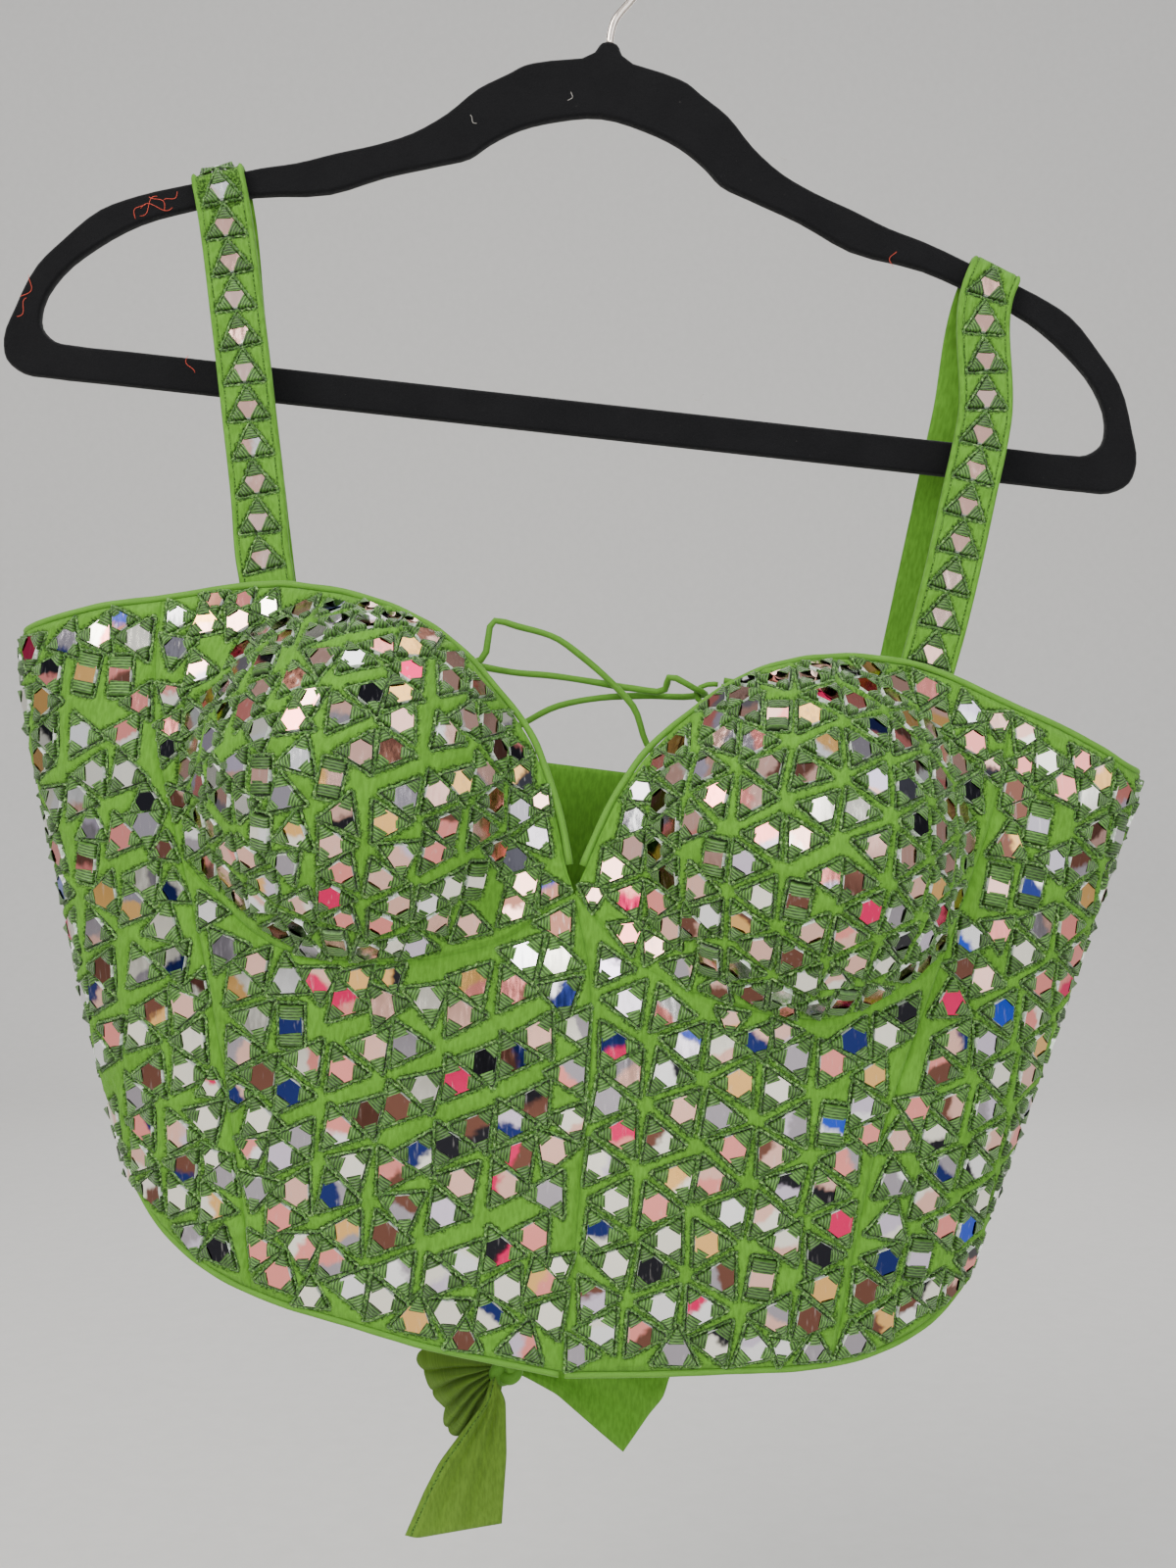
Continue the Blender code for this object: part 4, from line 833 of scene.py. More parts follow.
def edge_path(line, side):
    """The piping's way beside a panel's edge, in the middle of its wall."""
    points = []
    count = len(line)
    for k, here in enumerate(line):
        before, after = line[max(k - 1, 0)], line[min(k + 1, count - 1)]
        along = Vector((after[0] - before[0], after[1] - before[1])).normalized()
        out = Vector((along.y, -along.x)) * side
        u, v = here[0] + out.x * PIPING_AWAY, here[1] + out.y * PIPING_AWAY
        if k in (0, count - 1):
            shift = PIPING_END if k == 0 else -PIPING_END
            u, v = u + along.x * shift, v + along.y * shift
        point, _, _, normal = across_surface(wall, u, v)
        points.append(point - normal * WALL / 2)
    return points


def loop_heights():
    return [LOOP_TOP - k * LOOP_STEP for k in range(LOOP_COUNT)]


def back_out(side, height, away, out):
    """A place beside the laced edge: away from it into the gap, and out from the wall's middle."""
    run, _ = back_place(side * column(BACK_EDGE, height), height)
    point, _, _, normal = across_surface(bare_wall, run + side * away, height)
    return point + normal * (out - WALL / 2)


def loops_path(side):
    """Down the back edge, standing out at each crossing of the lace."""
    points = [back_out(side, BACK_TOP[-1][1] - 0.5, LOOP_START, 0)]
    for height in loop_heights():
        for down, share in LOOP_SHAPE:
            points.append(back_out(side, height - down, LOOP_START + share * (LOOP_REACH - LOOP_START), 0))
    points.append(back_out(side, BACK_HEM + 2, LOOP_START, 0))
    return points


def arm_height(right):
    """How far below the neck's top an arm's top edge is."""
    return column(ARM_TOP[:ARM_EDGE_ROWS], abs(right))


def inside_wall(across, height, back):
    """The middle of a strap against the wall's inside, and the wall's outward direction there."""
    point, _, _, normal = across_surface(bare_wall, run_of(across, height, back), height)
    return point - normal * STRAP_INSIDE, normal


def strap_frames(side):
    """Centre and direction across, from inside the front up and over the arm to the back."""
    frames = []
    front_across, front_height, front_lean = STRAP_FOOT[side]
    level = Vector((math.cos(front_lean), 0, math.sin(front_lean)))
    for down in (STRAP_TUCK, 0.0):
        centre, normal = inside_wall(front_across - down * STRAP_TUCK_IN * side, front_height - down, False)
        frames.append((centre, (level - normal * level.dot(normal)).normalized()))

    right = STRAP_ON_ARM[side]
    top = on_hanger(right, arm_height(right))
    near = (right - STRAP_ARM_NEAR, right + STRAP_ARM_NEAR)
    slope = on_hanger(near[1], arm_height(near[1])) - on_hanger(near[0], arm_height(near[0]))
    arm_lean = math.atan2(slope.z, slope.x)
    rows = STRAP_SEEN[side][::-1]
    for share in STRAP_FRONT_SHARES:
        seen = [float(np.interp(share, STRAP_SEEN_SHARES, [row[k] for row in rows])) for k in (0, 1, 2)]
        tilt = strap_tilt(share, front_lean, side)
        frames.append((behind(*seen), Vector((math.cos(tilt), 0, math.sin(tilt)))))

    across = Vector((math.cos(arm_lean), 0, math.sin(arm_lean)))
    up = Vector((-across.z, 0, across.x))
    radius = HANGER_THICKNESS / 2 + STRAP_CLEARANCE + STRAP_WALL / 2
    centre = top - up * HANGER_THICKNESS / 2
    for angle in np.radians(np.linspace(-STRAP_ROUND_ARM, STRAP_ROUND_ARM, STRAP_ARM_ROWS)):
        out = Vector((0, math.sin(angle), 0)) + up * math.cos(angle)
        frames.append((centre + out * radius, across))

    back_across, back_height = STRAP_BACK[side]
    foot, _ = inside_wall(back_across, back_height, True)
    start = frames[-1][0]
    for share in STRAP_BACK_SHARES:
        frames.append((start.lerp(foot, share), across.lerp(BACK_LEVEL, share).normalized()))
    for down in (0.0, STRAP_TUCK):
        centre, normal = inside_wall(back_across, back_height - down, True)
        frames.append((centre, (BACK_LEVEL - normal * BACK_LEVEL.dot(normal)).normalized()))
    return frames


def strap_fold(along):
    """How far along a strap the top of the hanger's arm is."""
    first = 2 + len(STRAP_FRONT_SHARES)
    return (along[first] + along[first + STRAP_ARM_ROWS - 1]) / 2


def strap_tilt(share, foot_lean, side):
    """The strap's turn in the front view: along the neckline at its foot, then upright."""
    return foot_lean + (STRAP_LEAN[side] - foot_lean) * min(share / STRAP_TURN_SHARE, 1)


def strap_lengths(frames):
    """How far along a strap each of its frames is."""
    along = [0.0]
    for a, b in zip(frames, frames[1:]):
        along.append(along[-1] + (b[0] - a[0]).length)
    return along


def through_loop(side, height, from_inside):
    """Points through a lacing loop, over its rim and under it."""
    way = -1 if from_inside else 1
    return [back_out(side, height + above, away, out * way) for away, out, above in LACE_IN_LOOP]


def lace_half(first_points, start_loop, start_side, from_inside):
    """The cord from its top run down through every lower loop to the knot."""
    points = list(first_points)
    side = start_side
    for height in loop_heights()[start_loop:]:
        points += through_loop(side, height, from_inside)
        side, from_inside = -side, not from_inside
    last = -side
    points = points[:-1]
    points.append(back_out(last, LACE_LOW, LACE_LOW_AWAY, LACE_LOW_OUT))
    end = KNOT + Vector((last * KNOT_ENTRY[0], 0, KNOT_ENTRY[1])).normalized() * (KNOT_RADIUS + KNOT_CLEAR)
    points.append(end + (end - KNOT) * KNOT_STRAIGHT)
    points.append(end)
    return points


def lace_routes():
    """The two halves as points in the row frame."""
    top = loop_heights()[0]
    begin = [back_out(-1, top + above, away, out) for away, out, above in LACE_START_OUTSIDE]
    high = [back_out(-1, top + above, away, out) for away, out, above in LACE_START_INSIDE]
    run_a = high + [behind(*row) for row in LACE_A_SEEN]
    run_b = begin + [behind(*row) for row in LACE_B_SEEN] + through_loop(1, top, True)
    run_b = run_b[:-1] + [behind(*row) for row in LACE_C_SEEN]
    return lace_half(run_a, 1, 1, True), lace_half(run_b, 1, -1, False)


def stepped_path(points, step):
    """The given points and, where they are far apart, more on a smooth curve between them."""
    ends = [points[0] * 2 - points[1], *points, points[-1] * 2 - points[-2]]
    out = []
    for a, b, c, d in zip(ends, ends[1:], ends[2:], ends[3:]):
        count = max(1, round((c - b).length / step))
        out += [on_curve(a, b, c, d, k / count) for k in range(count)]
    return out + [points[-1]]


def rounded(points, parts=2):
    """A closed line with more points on a smooth curve through the given ones."""
    out = []
    count = len(points)
    for k in range(count):
        a, b, c, d = (Vector(points[(k + n) % count]) for n in (-1, 0, 1, 2))
        out += [on_curve(a, b, c, d, part / parts) for part in range(parts)]
    return out


def hook_path(start):
    """The wire's centre line, from this far above the neck's top to its end."""
    centre = Vector((0, 0, -HOOK_INSIDE))
    radius = HOOK_INSIDE + HOOK_WIRE
    tilt = Vector((math.cos(HANGER_TILT), 0, -math.sin(HANGER_TILT)))
    up = Vector((-tilt.z, 0, tilt.x))

    def at(right, high):
        return centre + tilt * right + up * high

    neck = (NECK_TOP - centre).dot(up)
    points = [at(0, neck + start), *(at(x, neck + z) for x, z in HOOK_SHANK), at(*HOOK_BEND_FROM)]
    for angle in np.radians(np.arange(*HOOK_TURNS)):
        points.append(at(radius * math.cos(angle), radius * math.sin(angle)))
    return points


# Settings that a user would change


def length_setting(name, description, default):
    return bpy.props.FloatProperty(name=name, description=description, default=default, unit="LENGTH")


def colour_setting(name, description, default):
    return bpy.props.FloatVectorProperty(
        name=name, description=description, default=default, subtype="COLOR"
    )


class BlouseClothSettings(bpy.types.PropertyGroup):
    """Form and colour of the cloth."""

    ridge: length_setting("Ridge height", "Height of the cloth between two mirrors", 0.0010)
    trench: length_setting("Trench depth", "Depth of the pulled-in cloth round a mirror", 0.0012)
    weave: length_setting("Weave pitch", "Distance between two threads of the weave", 0.00046)
    colour: colour_setting("Cloth colour", "Colour of the woven cloth", (0.096, 0.270, 0.020))
    piping_colour: colour_setting(
        "Piping colour", "Colour of piping, loops and cord", (0.088, 0.240, 0.020)
    )


class BlouseMirrorSettings(bpy.types.PropertyGroup):
    """Form and colour of the mirror work."""

    rise: length_setting("Mirror rise", "How far a mirror's face stands out", 0.0016)
    tilt: bpy.props.FloatProperty(
        name="Mirror tilt",
        description="Most that a mirror leans in its stitches",
        default=math.radians(3),
        subtype="ANGLE",
    )
    satin: colour_setting(
        "Satin colour", "Colour of the thread over the corners", (0.052, 0.132, 0.021)
    )
    knots: colour_setting(
        "Knotted thread colour", "Colour of the thread round a mirror", (0.050, 0.135, 0.020)
    )


class BlouseStageSettings(bpy.types.PropertyGroup):
    """Light and camera."""

    lens: bpy.props.FloatProperty(
        name="Focal length",
        description="Focal length of the front view",
        default=41.2,
        subtype="DISTANCE_CAMERA",
    )
    key: bpy.props.FloatProperty(
        name="Key light", description="Power of the large soft light", default=24.0, unit="POWER"
    )
    fill: bpy.props.FloatProperty(
        name="Fill light", description="Brightness of the room all round", default=0.6, min=0.0
    )


# Shader maths


WAVE_PERIOD = 0.314159  # of Blender's wave texture at a scale of 1


class Flow:
    """A value on its way through a material. Operators add Math nodes."""

    def __init__(self, tree, socket):
        self.tree = tree
        self.socket = socket

    def maths(self, operation, *values):
        return self.tree.add("ShaderNodeMath", {"operation": operation}, dict(enumerate(values)))

    def __add__(self, other):
        return self.maths("ADD", self, other)

    __radd__ = __add__

    def __sub__(self, other):
        return self.maths("SUBTRACT", self, other)

    def __rsub__(self, other):
        return self.maths("SUBTRACT", other, self)

    def __mul__(self, other):
        return self.maths("MULTIPLY", self, other)

    __rmul__ = __mul__

    def smooth(self, low, high, to_low=0.0, to_high=1.0):
        values = {"Value": self, "From Min": low, "From Max": high, "To Min": to_low, "To Max": to_high}
        return self.tree.add("ShaderNodeMapRange", {"interpolation_type": "SMOOTHSTEP"}, values, "Result")


class Tree:
    """The nodes of one material."""

    def __init__(self, name):
        self.material = bpy.data.materials.new(name)
        self.material.use_nodes = True
        self.nodes = self.material.node_tree.nodes
        self.shader = self.nodes["Principled BSDF"]

    def connect(self, socket, value):
        if isinstance(value, Flow):
            self.material.node_tree.links.new(value.socket, socket)
        elif isinstance(value, tuple) and len(value) == 3 and socket.type == "RGBA":
            socket.default_value = (*value, 1.0)
        else:
            socket.default_value = value

    def add(self, kind, settings=None, values=None, output=0):
        node = self.nodes.new(kind)
        for key, value in (settings or {}).items():
            if key == "stops":
                for k, (place, colour) in enumerate(value):
                    stop = node.color_ramp.elements[k] if k < 2 else node.color_ramp.elements.new(place)
                    stop.position = place
                    stop.color = (*colour, 1.0)
            else:
                setattr(node, key, value)
        for key, value in (values or {}).items():
            self.connect(node.inputs[key], value)
        return Flow(self, node.outputs[output])

    def mix(self, share, one, two, blend="MIX"):
        settings = {"data_type": "RGBA", "blend_type": blend}
        return self.add("ShaderNodeMix", settings, {0: share, 6: one, 7: two}, 2)

    def here(self):
        return self.add("ShaderNodeTexCoord", output="Object")

    def uv(self):
        return self.add("ShaderNodeUVMap", {"uv_map": "UVMap"})

    def scaled(self, vector, scale, turn=0.0):
        values = {"Vector": vector, "Scale": scale, "Rotation": (0.0, 0.0, turn)}
        return self.add("ShaderNodeMapping", {"vector_type": "POINT"}, values)

    def noise(self, vector, scale, detail=3.0, roughness=0.55):
        values = {"Vector": vector, "Scale": scale, "Detail": detail, "Roughness": roughness}
        return self.add("ShaderNodeTexNoise", None, values, "Fac")

    def attribute(self, name, output="Fac"):
        return self.add("ShaderNodeAttribute", {"attribute_name": name}, None, output)

    def bands(self, vector, pitch, direction="X"):
        """Rounded ridges side by side, from 0 to 1."""
        settings = {"wave_type": "BANDS", "bands_direction": direction, "wave_profile": "SIN"}
        values = {"Vector": vector, "Scale": WAVE_PERIOD / pitch, "Distortion": 0.0, "Detail": 0.0}
        return self.add("ShaderNodeTexWave", settings, values, "Fac")

    def bump(self, height, distance, strength=1.0):
        values = {"Height": height, "Distance": distance, "Strength": strength}
        return self.add("ShaderNodeBump", None, values, "Normal")

    def set(self, **values):
        for key, value in values.items():
            self.connect(self.shader.inputs[key.replace("_", " ")], value)
        return self.material


MATERIALS = {}


# The cloth colour darkened as painted shade, for the rosette and the long tail
SHADED_CLOTH = (0.105, 0.205, 0.020)
# The dark thread colour is near black: thread colour with painted shade in the gaps beside the mirrors
THREAD_AND_SHADE_DARK, THREAD_LIGHT = (0.006, 0.026, 0.003), (0.11, 0.26, 0.035)
THREAD_AND_SHADE_OUT_TO = (2.6, 1.7)  # mm from a mirror, where the thread and its painted shade end and where they are full
KNOT_SPECKS = (0.26, 0.47, 0.13)
MIRROR_HAZE = (0.8, 0.78, 0.76)
# The bright colour is a painted glint on the mirrors' cut edges
GLASS_DARK, EDGE_GLINT = (0.55, 0.66, 0.52), (0.97, 0.98, 0.97)
FLOCK_DARK, FLOCK_LIGHT, FLOCK_LINT = (0.0025, 0.0025, 0.003), (0.012, 0.012, 0.013), (0.16, 0.15, 0.14)
# Steel colours warmed by the room's tone, a painted reflection
STEEL_ROOM_DARK, STEEL_ROOM_LIGHT = (0.74, 0.62, 0.53), (0.92, 0.84, 0.76)
RED_LINT, PALE_LINT = (0.75, 0.09, 0.05), (0.55, 0.52, 0.48)
PAPER_DARK, PAPER_LIGHT = (0.60, 0.59, 0.57), (0.66, 0.65, 0.63)


def shaded(colour, share):
    return tuple(c * share for c in colour)


def cloth_material(name, colour, pitch, near=False):
    """Plain woven cloth: threads, slubs and a soft sheen, with stitches round the mirrors where asked, their
    dark flecks near black as painted shade.
    """
    tree = Tree(name)
    place = tree.uv()
    across = tree.bands(place, pitch, "X")
    along = tree.bands(place, pitch, "Y")
    weave = across * along + (1 - across) * (1 - along)
    slubs = tree.noise(tree.scaled(place, (1.0, 0.25, 1.0)), 900.0, 2.0)
    cloudy = tree.noise(place, 28.0, 3.0)
    light = tuple(min(1.0, c * 1.22 + 0.004) for c in colour)
    dark = shaded(colour, 0.66)
    shares = weave * 0.35 + slubs.smooth(0.3, 0.7) * 0.55 + cloudy.smooth(0.3, 0.7) * 0.3
    base = tree.mix(shares, dark, light)
    height = weave * 0.6 + slubs * 0.7
    if near:
        flecks = tree.noise(place, 1150.0, 2.0)
        uneven = tree.attribute("near") + (tree.noise(place, 420.0, 2.0) - 0.5) * 3.0
        # Knotted thread and stitch lines, with painted shade in their near-black flecks beside the mirrors
        thread = tree.mix(flecks.smooth(0.40, 0.62), THREAD_AND_SHADE_DARK, THREAD_LIGHT)
        stitched = uneven.smooth(*THREAD_AND_SHADE_OUT_TO)
        base = tree.mix(stitched * 0.85, base, thread)
        height = height + stitched * flecks * 4.0
    return tree.set(
        Base_Color=base,
        Roughness=0.82,
        Sheen_Weight=0.12,
        Sheen_Roughness=0.45,
        Sheen_Tint=(0.55, 0.8, 0.35),
        Specular_IOR_Level=0.2,
        Normal=tree.bump(height, 0.00032, 0.8),
    )


def rolled_material(name, colour):
    """Cloth rolled into piping or cord: its weave runs slantwise and it creases along its length."""
    tree = Tree(name)
    place = tree.here()
    grain = tree.noise(place, 1800.0, 2.0)
    creases = tree.noise(tree.scaled(tree.uv(), (1.0, 0.3, 1.0), 0.6), 420.0, 2.0)
    base = tree.mix(grain * 0.5 + creases * 0.5, shaded(colour, 0.6), shaded(colour, 1.35))
    return tree.set(
        Base_Color=base,
        Roughness=0.75,
        Sheen_Weight=0.3,
        Sheen_Roughness=0.4,
        Sheen_Tint=(0.6, 0.85, 0.4),
        Specular_IOR_Level=0.3,
        Normal=tree.bump(grain * 0.5 + creases, 0.00025, 0.7),
    )


def satin_material(name, colour):
    """Glossy embroidery thread side by side over a mirror's corner, each thread painted light on its ridge
    and dark between, as painted highlight and shade.
    """
    tree = Tree(name)
    place = tree.uv()
    threads = tree.bands(place, 0.00108, "X")
    broken = tree.noise(tree.scaled(place, (1.0, 0.3, 1.0)), 1500.0, 2.0)
    reflection_shade_tone = tree.attribute("reflection_shade_tone", "Color")
    # Painted highlight on each thread's ridge and painted shade between, with uneven tone from the broken
    # noise
    shares = threads * 0.7 + broken.smooth(0.3, 0.7) * 0.45 - 0.1
    base = tree.mix(shares, shaded(colour, 0.22), shaded(colour, 2.0))
    return tree.set(
        Base_Color=tree.mix(1.0, base, reflection_shade_tone, "MULTIPLY"),
        Roughness=0.42,
        Sheen_Weight=0.15,
        Sheen_Roughness=0.3,
        Specular_IOR_Level=0.45,
        Normal=tree.bump(threads + broken, 0.0004, 0.9),
    )


def knots_material(name, colour):
    """Dark knotted thread with light specks where a loop catches the light."""
    tree = Tree(name)
    place = tree.here()
    grain = tree.noise(place, 1300.0, 2.0)
    specks = tree.noise(place, 950.0, 1.0).smooth(0.56, 0.68)
    base = tree.mix(grain.smooth(0.35, 0.65), shaded(colour, 0.25), shaded(colour, 1.7))
    return tree.set(
        Base_Color=tree.mix(specks * 0.8, base, KNOT_SPECKS),
        Roughness=0.7,
        Sheen_Weight=0.2,
        Specular_IOR_Level=0.3,
        Normal=tree.bump(grain, 0.0005, 0.8),
    )


def mirror_material(name):
    """Silvered plate painted with one or two colours of the room as a painted reflection, with fine
    scratches.
    """
    tree = Tree(name)
    place = tree.uv()
    across = tree.add("ShaderNodeSeparateXYZ", None, {"Vector": place}, "X")
    # The two painted reflection colours part along a wavy line across the plate
    two = (across + tree.noise(tree.here(), 210.0, 2.0) * 1.3).smooth(0.45, 0.95)
    one = tree.attribute("reflection_shade_tone", "Color")
    other = tree.attribute("second_reflection", "Color")
    haze = tree.noise(tree.scaled(tree.here(), (1.0, 1.0, 0.2)), 700.0, 2.0)
    base = tree.mix(two, one, other)
    base = tree.mix(haze.smooth(0.58, 0.8) * 0.25, base, MIRROR_HAZE)
    return tree.set(Base_Color=base, Metallic=1.0, Roughness=haze.smooth(0.3, 0.8, 0.06, 0.2))


def edge_material(name):
    """The cut edge of a mirror plate, painted near white in patches as a painted glint."""
    tree = Tree(name)
    glint = tree.noise(tree.here(), 600.0, 1.0)
    return tree.set(
        Base_Color=tree.mix(glint.smooth(0.4, 0.6), GLASS_DARK, EDGE_GLINT),
        Metallic=0.1,
        Roughness=0.3,
    )


def flock_material(name):
    """Matt black velvet flocking with a little lint."""
    tree = Tree(name)
    place = tree.here()
    pile = tree.noise(place, 2600.0, 2.0)
    brushed = tree.noise(place, 60.0, 3.0)
    lint = tree.noise(tree.scaled(place, (1.0, 1.0, 1.6)), 420.0, 4.0, 0.7).smooth(0.70, 0.76)
    base = tree.mix(pile * 0.6 + brushed * 0.4, FLOCK_DARK, FLOCK_LIGHT)
    return tree.set(
        Base_Color=tree.mix(lint * 0.5, base, FLOCK_LINT),
        Roughness=0.95,
        Sheen_Weight=0.12,
        Sheen_Roughness=0.35,
        Specular_IOR_Level=0.1,
        Normal=tree.bump(pile + brushed * 0.5, 0.0006, 0.8),
    )


def wire_material(name):
    """Polished steel wire, painted with the warm tone of the room as a painted reflection."""
    tree = Tree(name)
    drawn = tree.noise(tree.scaled(tree.here(), (1.0, 1.0, 0.15)), 900.0, 2.0)
    return tree.set(
        Base_Color=tree.mix(drawn, STEEL_ROOM_DARK, STEEL_ROOM_LIGHT),
        Metallic=1.0,
        Roughness=drawn.smooth(0.2, 0.8, 0.14, 0.26),
        Normal=tree.bump(drawn, 0.00005, 0.5),
    )


def lint_material(name, colour):
    """A loose thread."""
    tree = Tree(name)
    fibre = tree.noise(tree.here(), 900.0, 2.0)
    return tree.set(Base_Color=tree.mix(fibre, shaded(colour, 0.6), colour), Roughness=0.85)


def paper_material(name):
    """The pale seamless paper of the stage."""
    tree = Tree(name)
    fibre = tree.noise(tree.here(), 90.0, 4.0)
    return tree.set(
        Base_Color=tree.mix(fibre, PAPER_DARK, PAPER_LIGHT),
        Roughness=0.9,
        Normal=tree.bump(fibre, 0.0004, 0.3),
    )


def make_materials(cloth, mirrors):
    MATERIALS.update(
        cloth=cloth_material("woven_cloth", tuple(cloth.colour), cloth.weave),
        worked=cloth_material("worked_cloth", tuple(cloth.colour), cloth.weave, True),
        rolled=rolled_material("rolled_cloth", tuple(cloth.piping_colour)),
        satin=satin_material("satin_thread", tuple(mirrors.satin)),
        knots=knots_material("knotted_thread", tuple(mirrors.knots)),
        mirror=mirror_material("silvered_mirror"),
        edge=edge_material("mirror_edge"),
        flock=flock_material("black_flock"),
        wire=wire_material("polished_steel_wire"),
        # deep: the same cloth painted darker, as painted shade
        deep=cloth_material("shaded_woven_cloth", SHADED_CLOTH, cloth.weave, True),
        red_lint=lint_material("red_lint", RED_LINT),
        pale_lint=lint_material("pale_lint", PALE_LINT),
    )


# Smooth places on the wall, for arrays of runs and heights


HEIGHT_STEP = float(HEIGHTS[1] - HEIGHTS[0])
RIPPLE_WAVES = 7
RIPPLE_SPREAD = (0.7, 1.5)  # of the waves' lengths
RIPPLE_START = 6.3
FAR_THREAD = 9.0  # mm from the nearest mirror, where its thread doesn't colour the cloth
THREAD_FALL = 9.5


def cubic_weights(t):
    return (
        ((-0.5 * t + 1) * t - 0.5) * t,
        (1.5 * t - 2.5) * t * t + 1,
        ((-1.5 * t + 2) * t + 0.5) * t,
        (0.5 * t - 0.5) * t * t,
    )


def places_on(grid, runs, heights):
    a = (runs - RUN_PLACES[0]) / RUN_STEP
    b = (heights - HEIGHTS[0]) / HEIGHT_STEP
    i = np.clip(a.astype(int), 1, len(RUN_PLACES) - 3)
    j = np.clip(b.astype(int), 1, len(HEIGHTS) - 3)
    out = 0.0
    for m, down in enumerate(cubic_weights(b - j)):
        row = 0.0
        for n, along in enumerate(cubic_weights(a - i)):
            row = row + grid[j + m - 1, i + n - 1] * along[..., None]
        out = out + row * down[..., None]
    return out


def unit_vectors(vectors):
    return vectors / (np.linalg.norm(vectors, axis=-1, keepdims=True) + 1e-12)


def normals_on(grid, runs, heights):
    step = NORMAL_STEP
    right = places_on(grid, runs + step, heights) - places_on(grid, runs - step, heights)
    up = places_on(grid, runs, heights + step) - places_on(grid, runs, heights - step)
    return unit_vectors(np.cross(right, up))


def even(line, step=1.0, soften=14):
    """A line of two or three values with its points evenly spaced and its corners softened."""
    points = np.array(line, float)
    lengths = lengths_along(points)
    at = np.linspace(0, lengths[-1], max(int(lengths[-1] / step), 6) + 1)
    out = np.stack([np.interp(at, lengths, points[:, k]) for k in range(points.shape[1])], 1)
    for _ in range(soften):
        out[1:-1] = (out[:-2] + 2 * out[1:-1] + out[2:]) / 4
    return out


def pick(line, count):
    """Points evenly along a line that even() made."""
    at = np.linspace(0, len(line) - 1, count)
    return np.stack([np.interp(at, range(len(line)), line[:, k]) for k in range(line.shape[1])], 1)


def patch(bottom, top, left, right, columns, rows):
    """A grid of places between four lines that meet at their ends."""
    low, high, first, last = pick(bottom, columns), pick(top, columns), pick(left, rows), pick(right, rows)
    s = np.linspace(0, 1, columns)[None, :, None]
    t = np.linspace(0, 1, rows)[:, None, None]
    ends = (1 - s) * (1 - t) * low[0] + s * (1 - t) * low[-1] + (1 - s) * t * high[0] + s * t * high[-1]
    return (1 - t) * low[None] + t * high[None] + (1 - s) * first[:, None] + s * last[:, None] - ends


def ripples(points, seed, length):
    """Soft uneven waves over places in millimetres, about -1 to 1."""
    dice = np.random.default_rng(seed)
    out = 0.0
    for _ in range(RIPPLE_WAVES):
        way = unit_vectors(dice.normal(size=3))
        rate = 2 * math.pi / (length * dice.uniform(*RIPPLE_SPREAD))
        out = out + np.sin(points @ way * rate + dice.uniform(0, RIPPLE_START))
    return out / math.sqrt(RIPPLE_WAVES)


def smoothstep(values, low, high):
    t = np.clip((values - low) / (high - low), 0, 1)
    return t * t * (3 - 2 * t)


def hump(values, middle, width):
    """A smooth hump, 1 high at its middle."""
    return np.exp(-(((values - middle) / width) ** 2))


def stitched_line(away, middle, width):
    """Distances from thread that make a line of stitches show in the cloth."""
    return FAR_THREAD - THREAD_FALL * hump(away, middle, width)


def bare(points):
    """For each place of a grid, a distance at which no thread shows."""
    return np.full(points.shape[:2], FAR_THREAD)


def lengths_along(path):
    """How far along a line each of its places is."""
    return np.concatenate([[0], np.cumsum(np.linalg.norm(np.diff(path, axis=0), axis=1))])


# Making objects


def finished_mesh(name, mesh):
    data = bpy.data.meshes.new(name)
    mesh.to_mesh(data)
    mesh.free()
    return data


def put(name, data, *materials, smooth=True):
    for material in materials:
        data.materials.append(material)
    obj = bpy.data.objects.new(name, data)
    bpy.context.scene.collection.objects.link(obj)
    if smooth:
        data.shade_smooth()
    return obj


def take_place(obj, slot, *nodes):
    """The piece rides with the part and stands for these solids; its slot is not used."""
    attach(obj, "root")
    if nodes:
        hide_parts(*nodes)
    return obj


def piece(data, material, slot, *nodes):
    """The mesh as a piece of one finish."""
    return take_place(put(data.name, data, MATERIALS[material]), slot, *nodes)


def sheets_mesh(name, sheets, uvs, near):
    """A closed wall from two grids of places in millimetres, joined along their edges."""
    mesh = bmesh.new()
    for sheet in sheets:
        rows, columns = sheet.shape[:2]
        bmesh.ops.create_grid(mesh, x_segments=columns - 1, y_segments=rows - 1, size=1)
    for vert, place in zip(mesh.verts, np.concatenate([s.reshape(-1, 3) for s in sheets]) * MM):
        vert.co = place
    bmesh.ops.bridge_loops(mesh, edges=[edge for edge in mesh.edges if edge.is_boundary])
    bmesh.ops.recalc_face_normals(mesh, faces=mesh.faces)
    data = finished_mesh(name, mesh)
    corners = np.empty(len(data.loops), np.int32)
    data.loops.foreach_get("vertex_index", corners)
    flat = np.concatenate([uv.reshape(-1, 2) for uv in uvs])[corners] * MM
    data.uv_layers.new(name="UVMap").data.foreach_set("uv", flat.astype(np.float32).ravel())
    layer = data.attributes.new("near", "FLOAT", "POINT")
    layer.data.foreach_set("value", np.concatenate([v.ravel() for v in near]).astype(np.float32))
    return data


SAME_PLACE = 1e-7
ANY_WAY = (0.31, 0.9, 0.29)  # along none of the cords


def frames_along(path):
    """Directions across a path, which turn as little as they can."""
    ahead = unit_vectors(np.gradient(path, axis=0))
    side = unit_vectors(np.cross(ahead[0], ANY_WAY))
    out = []
    for way in ahead:
        side = unit_vectors(side - way * (side @ way))
        out.append((side, np.cross(way, side)))
    return np.array(out)


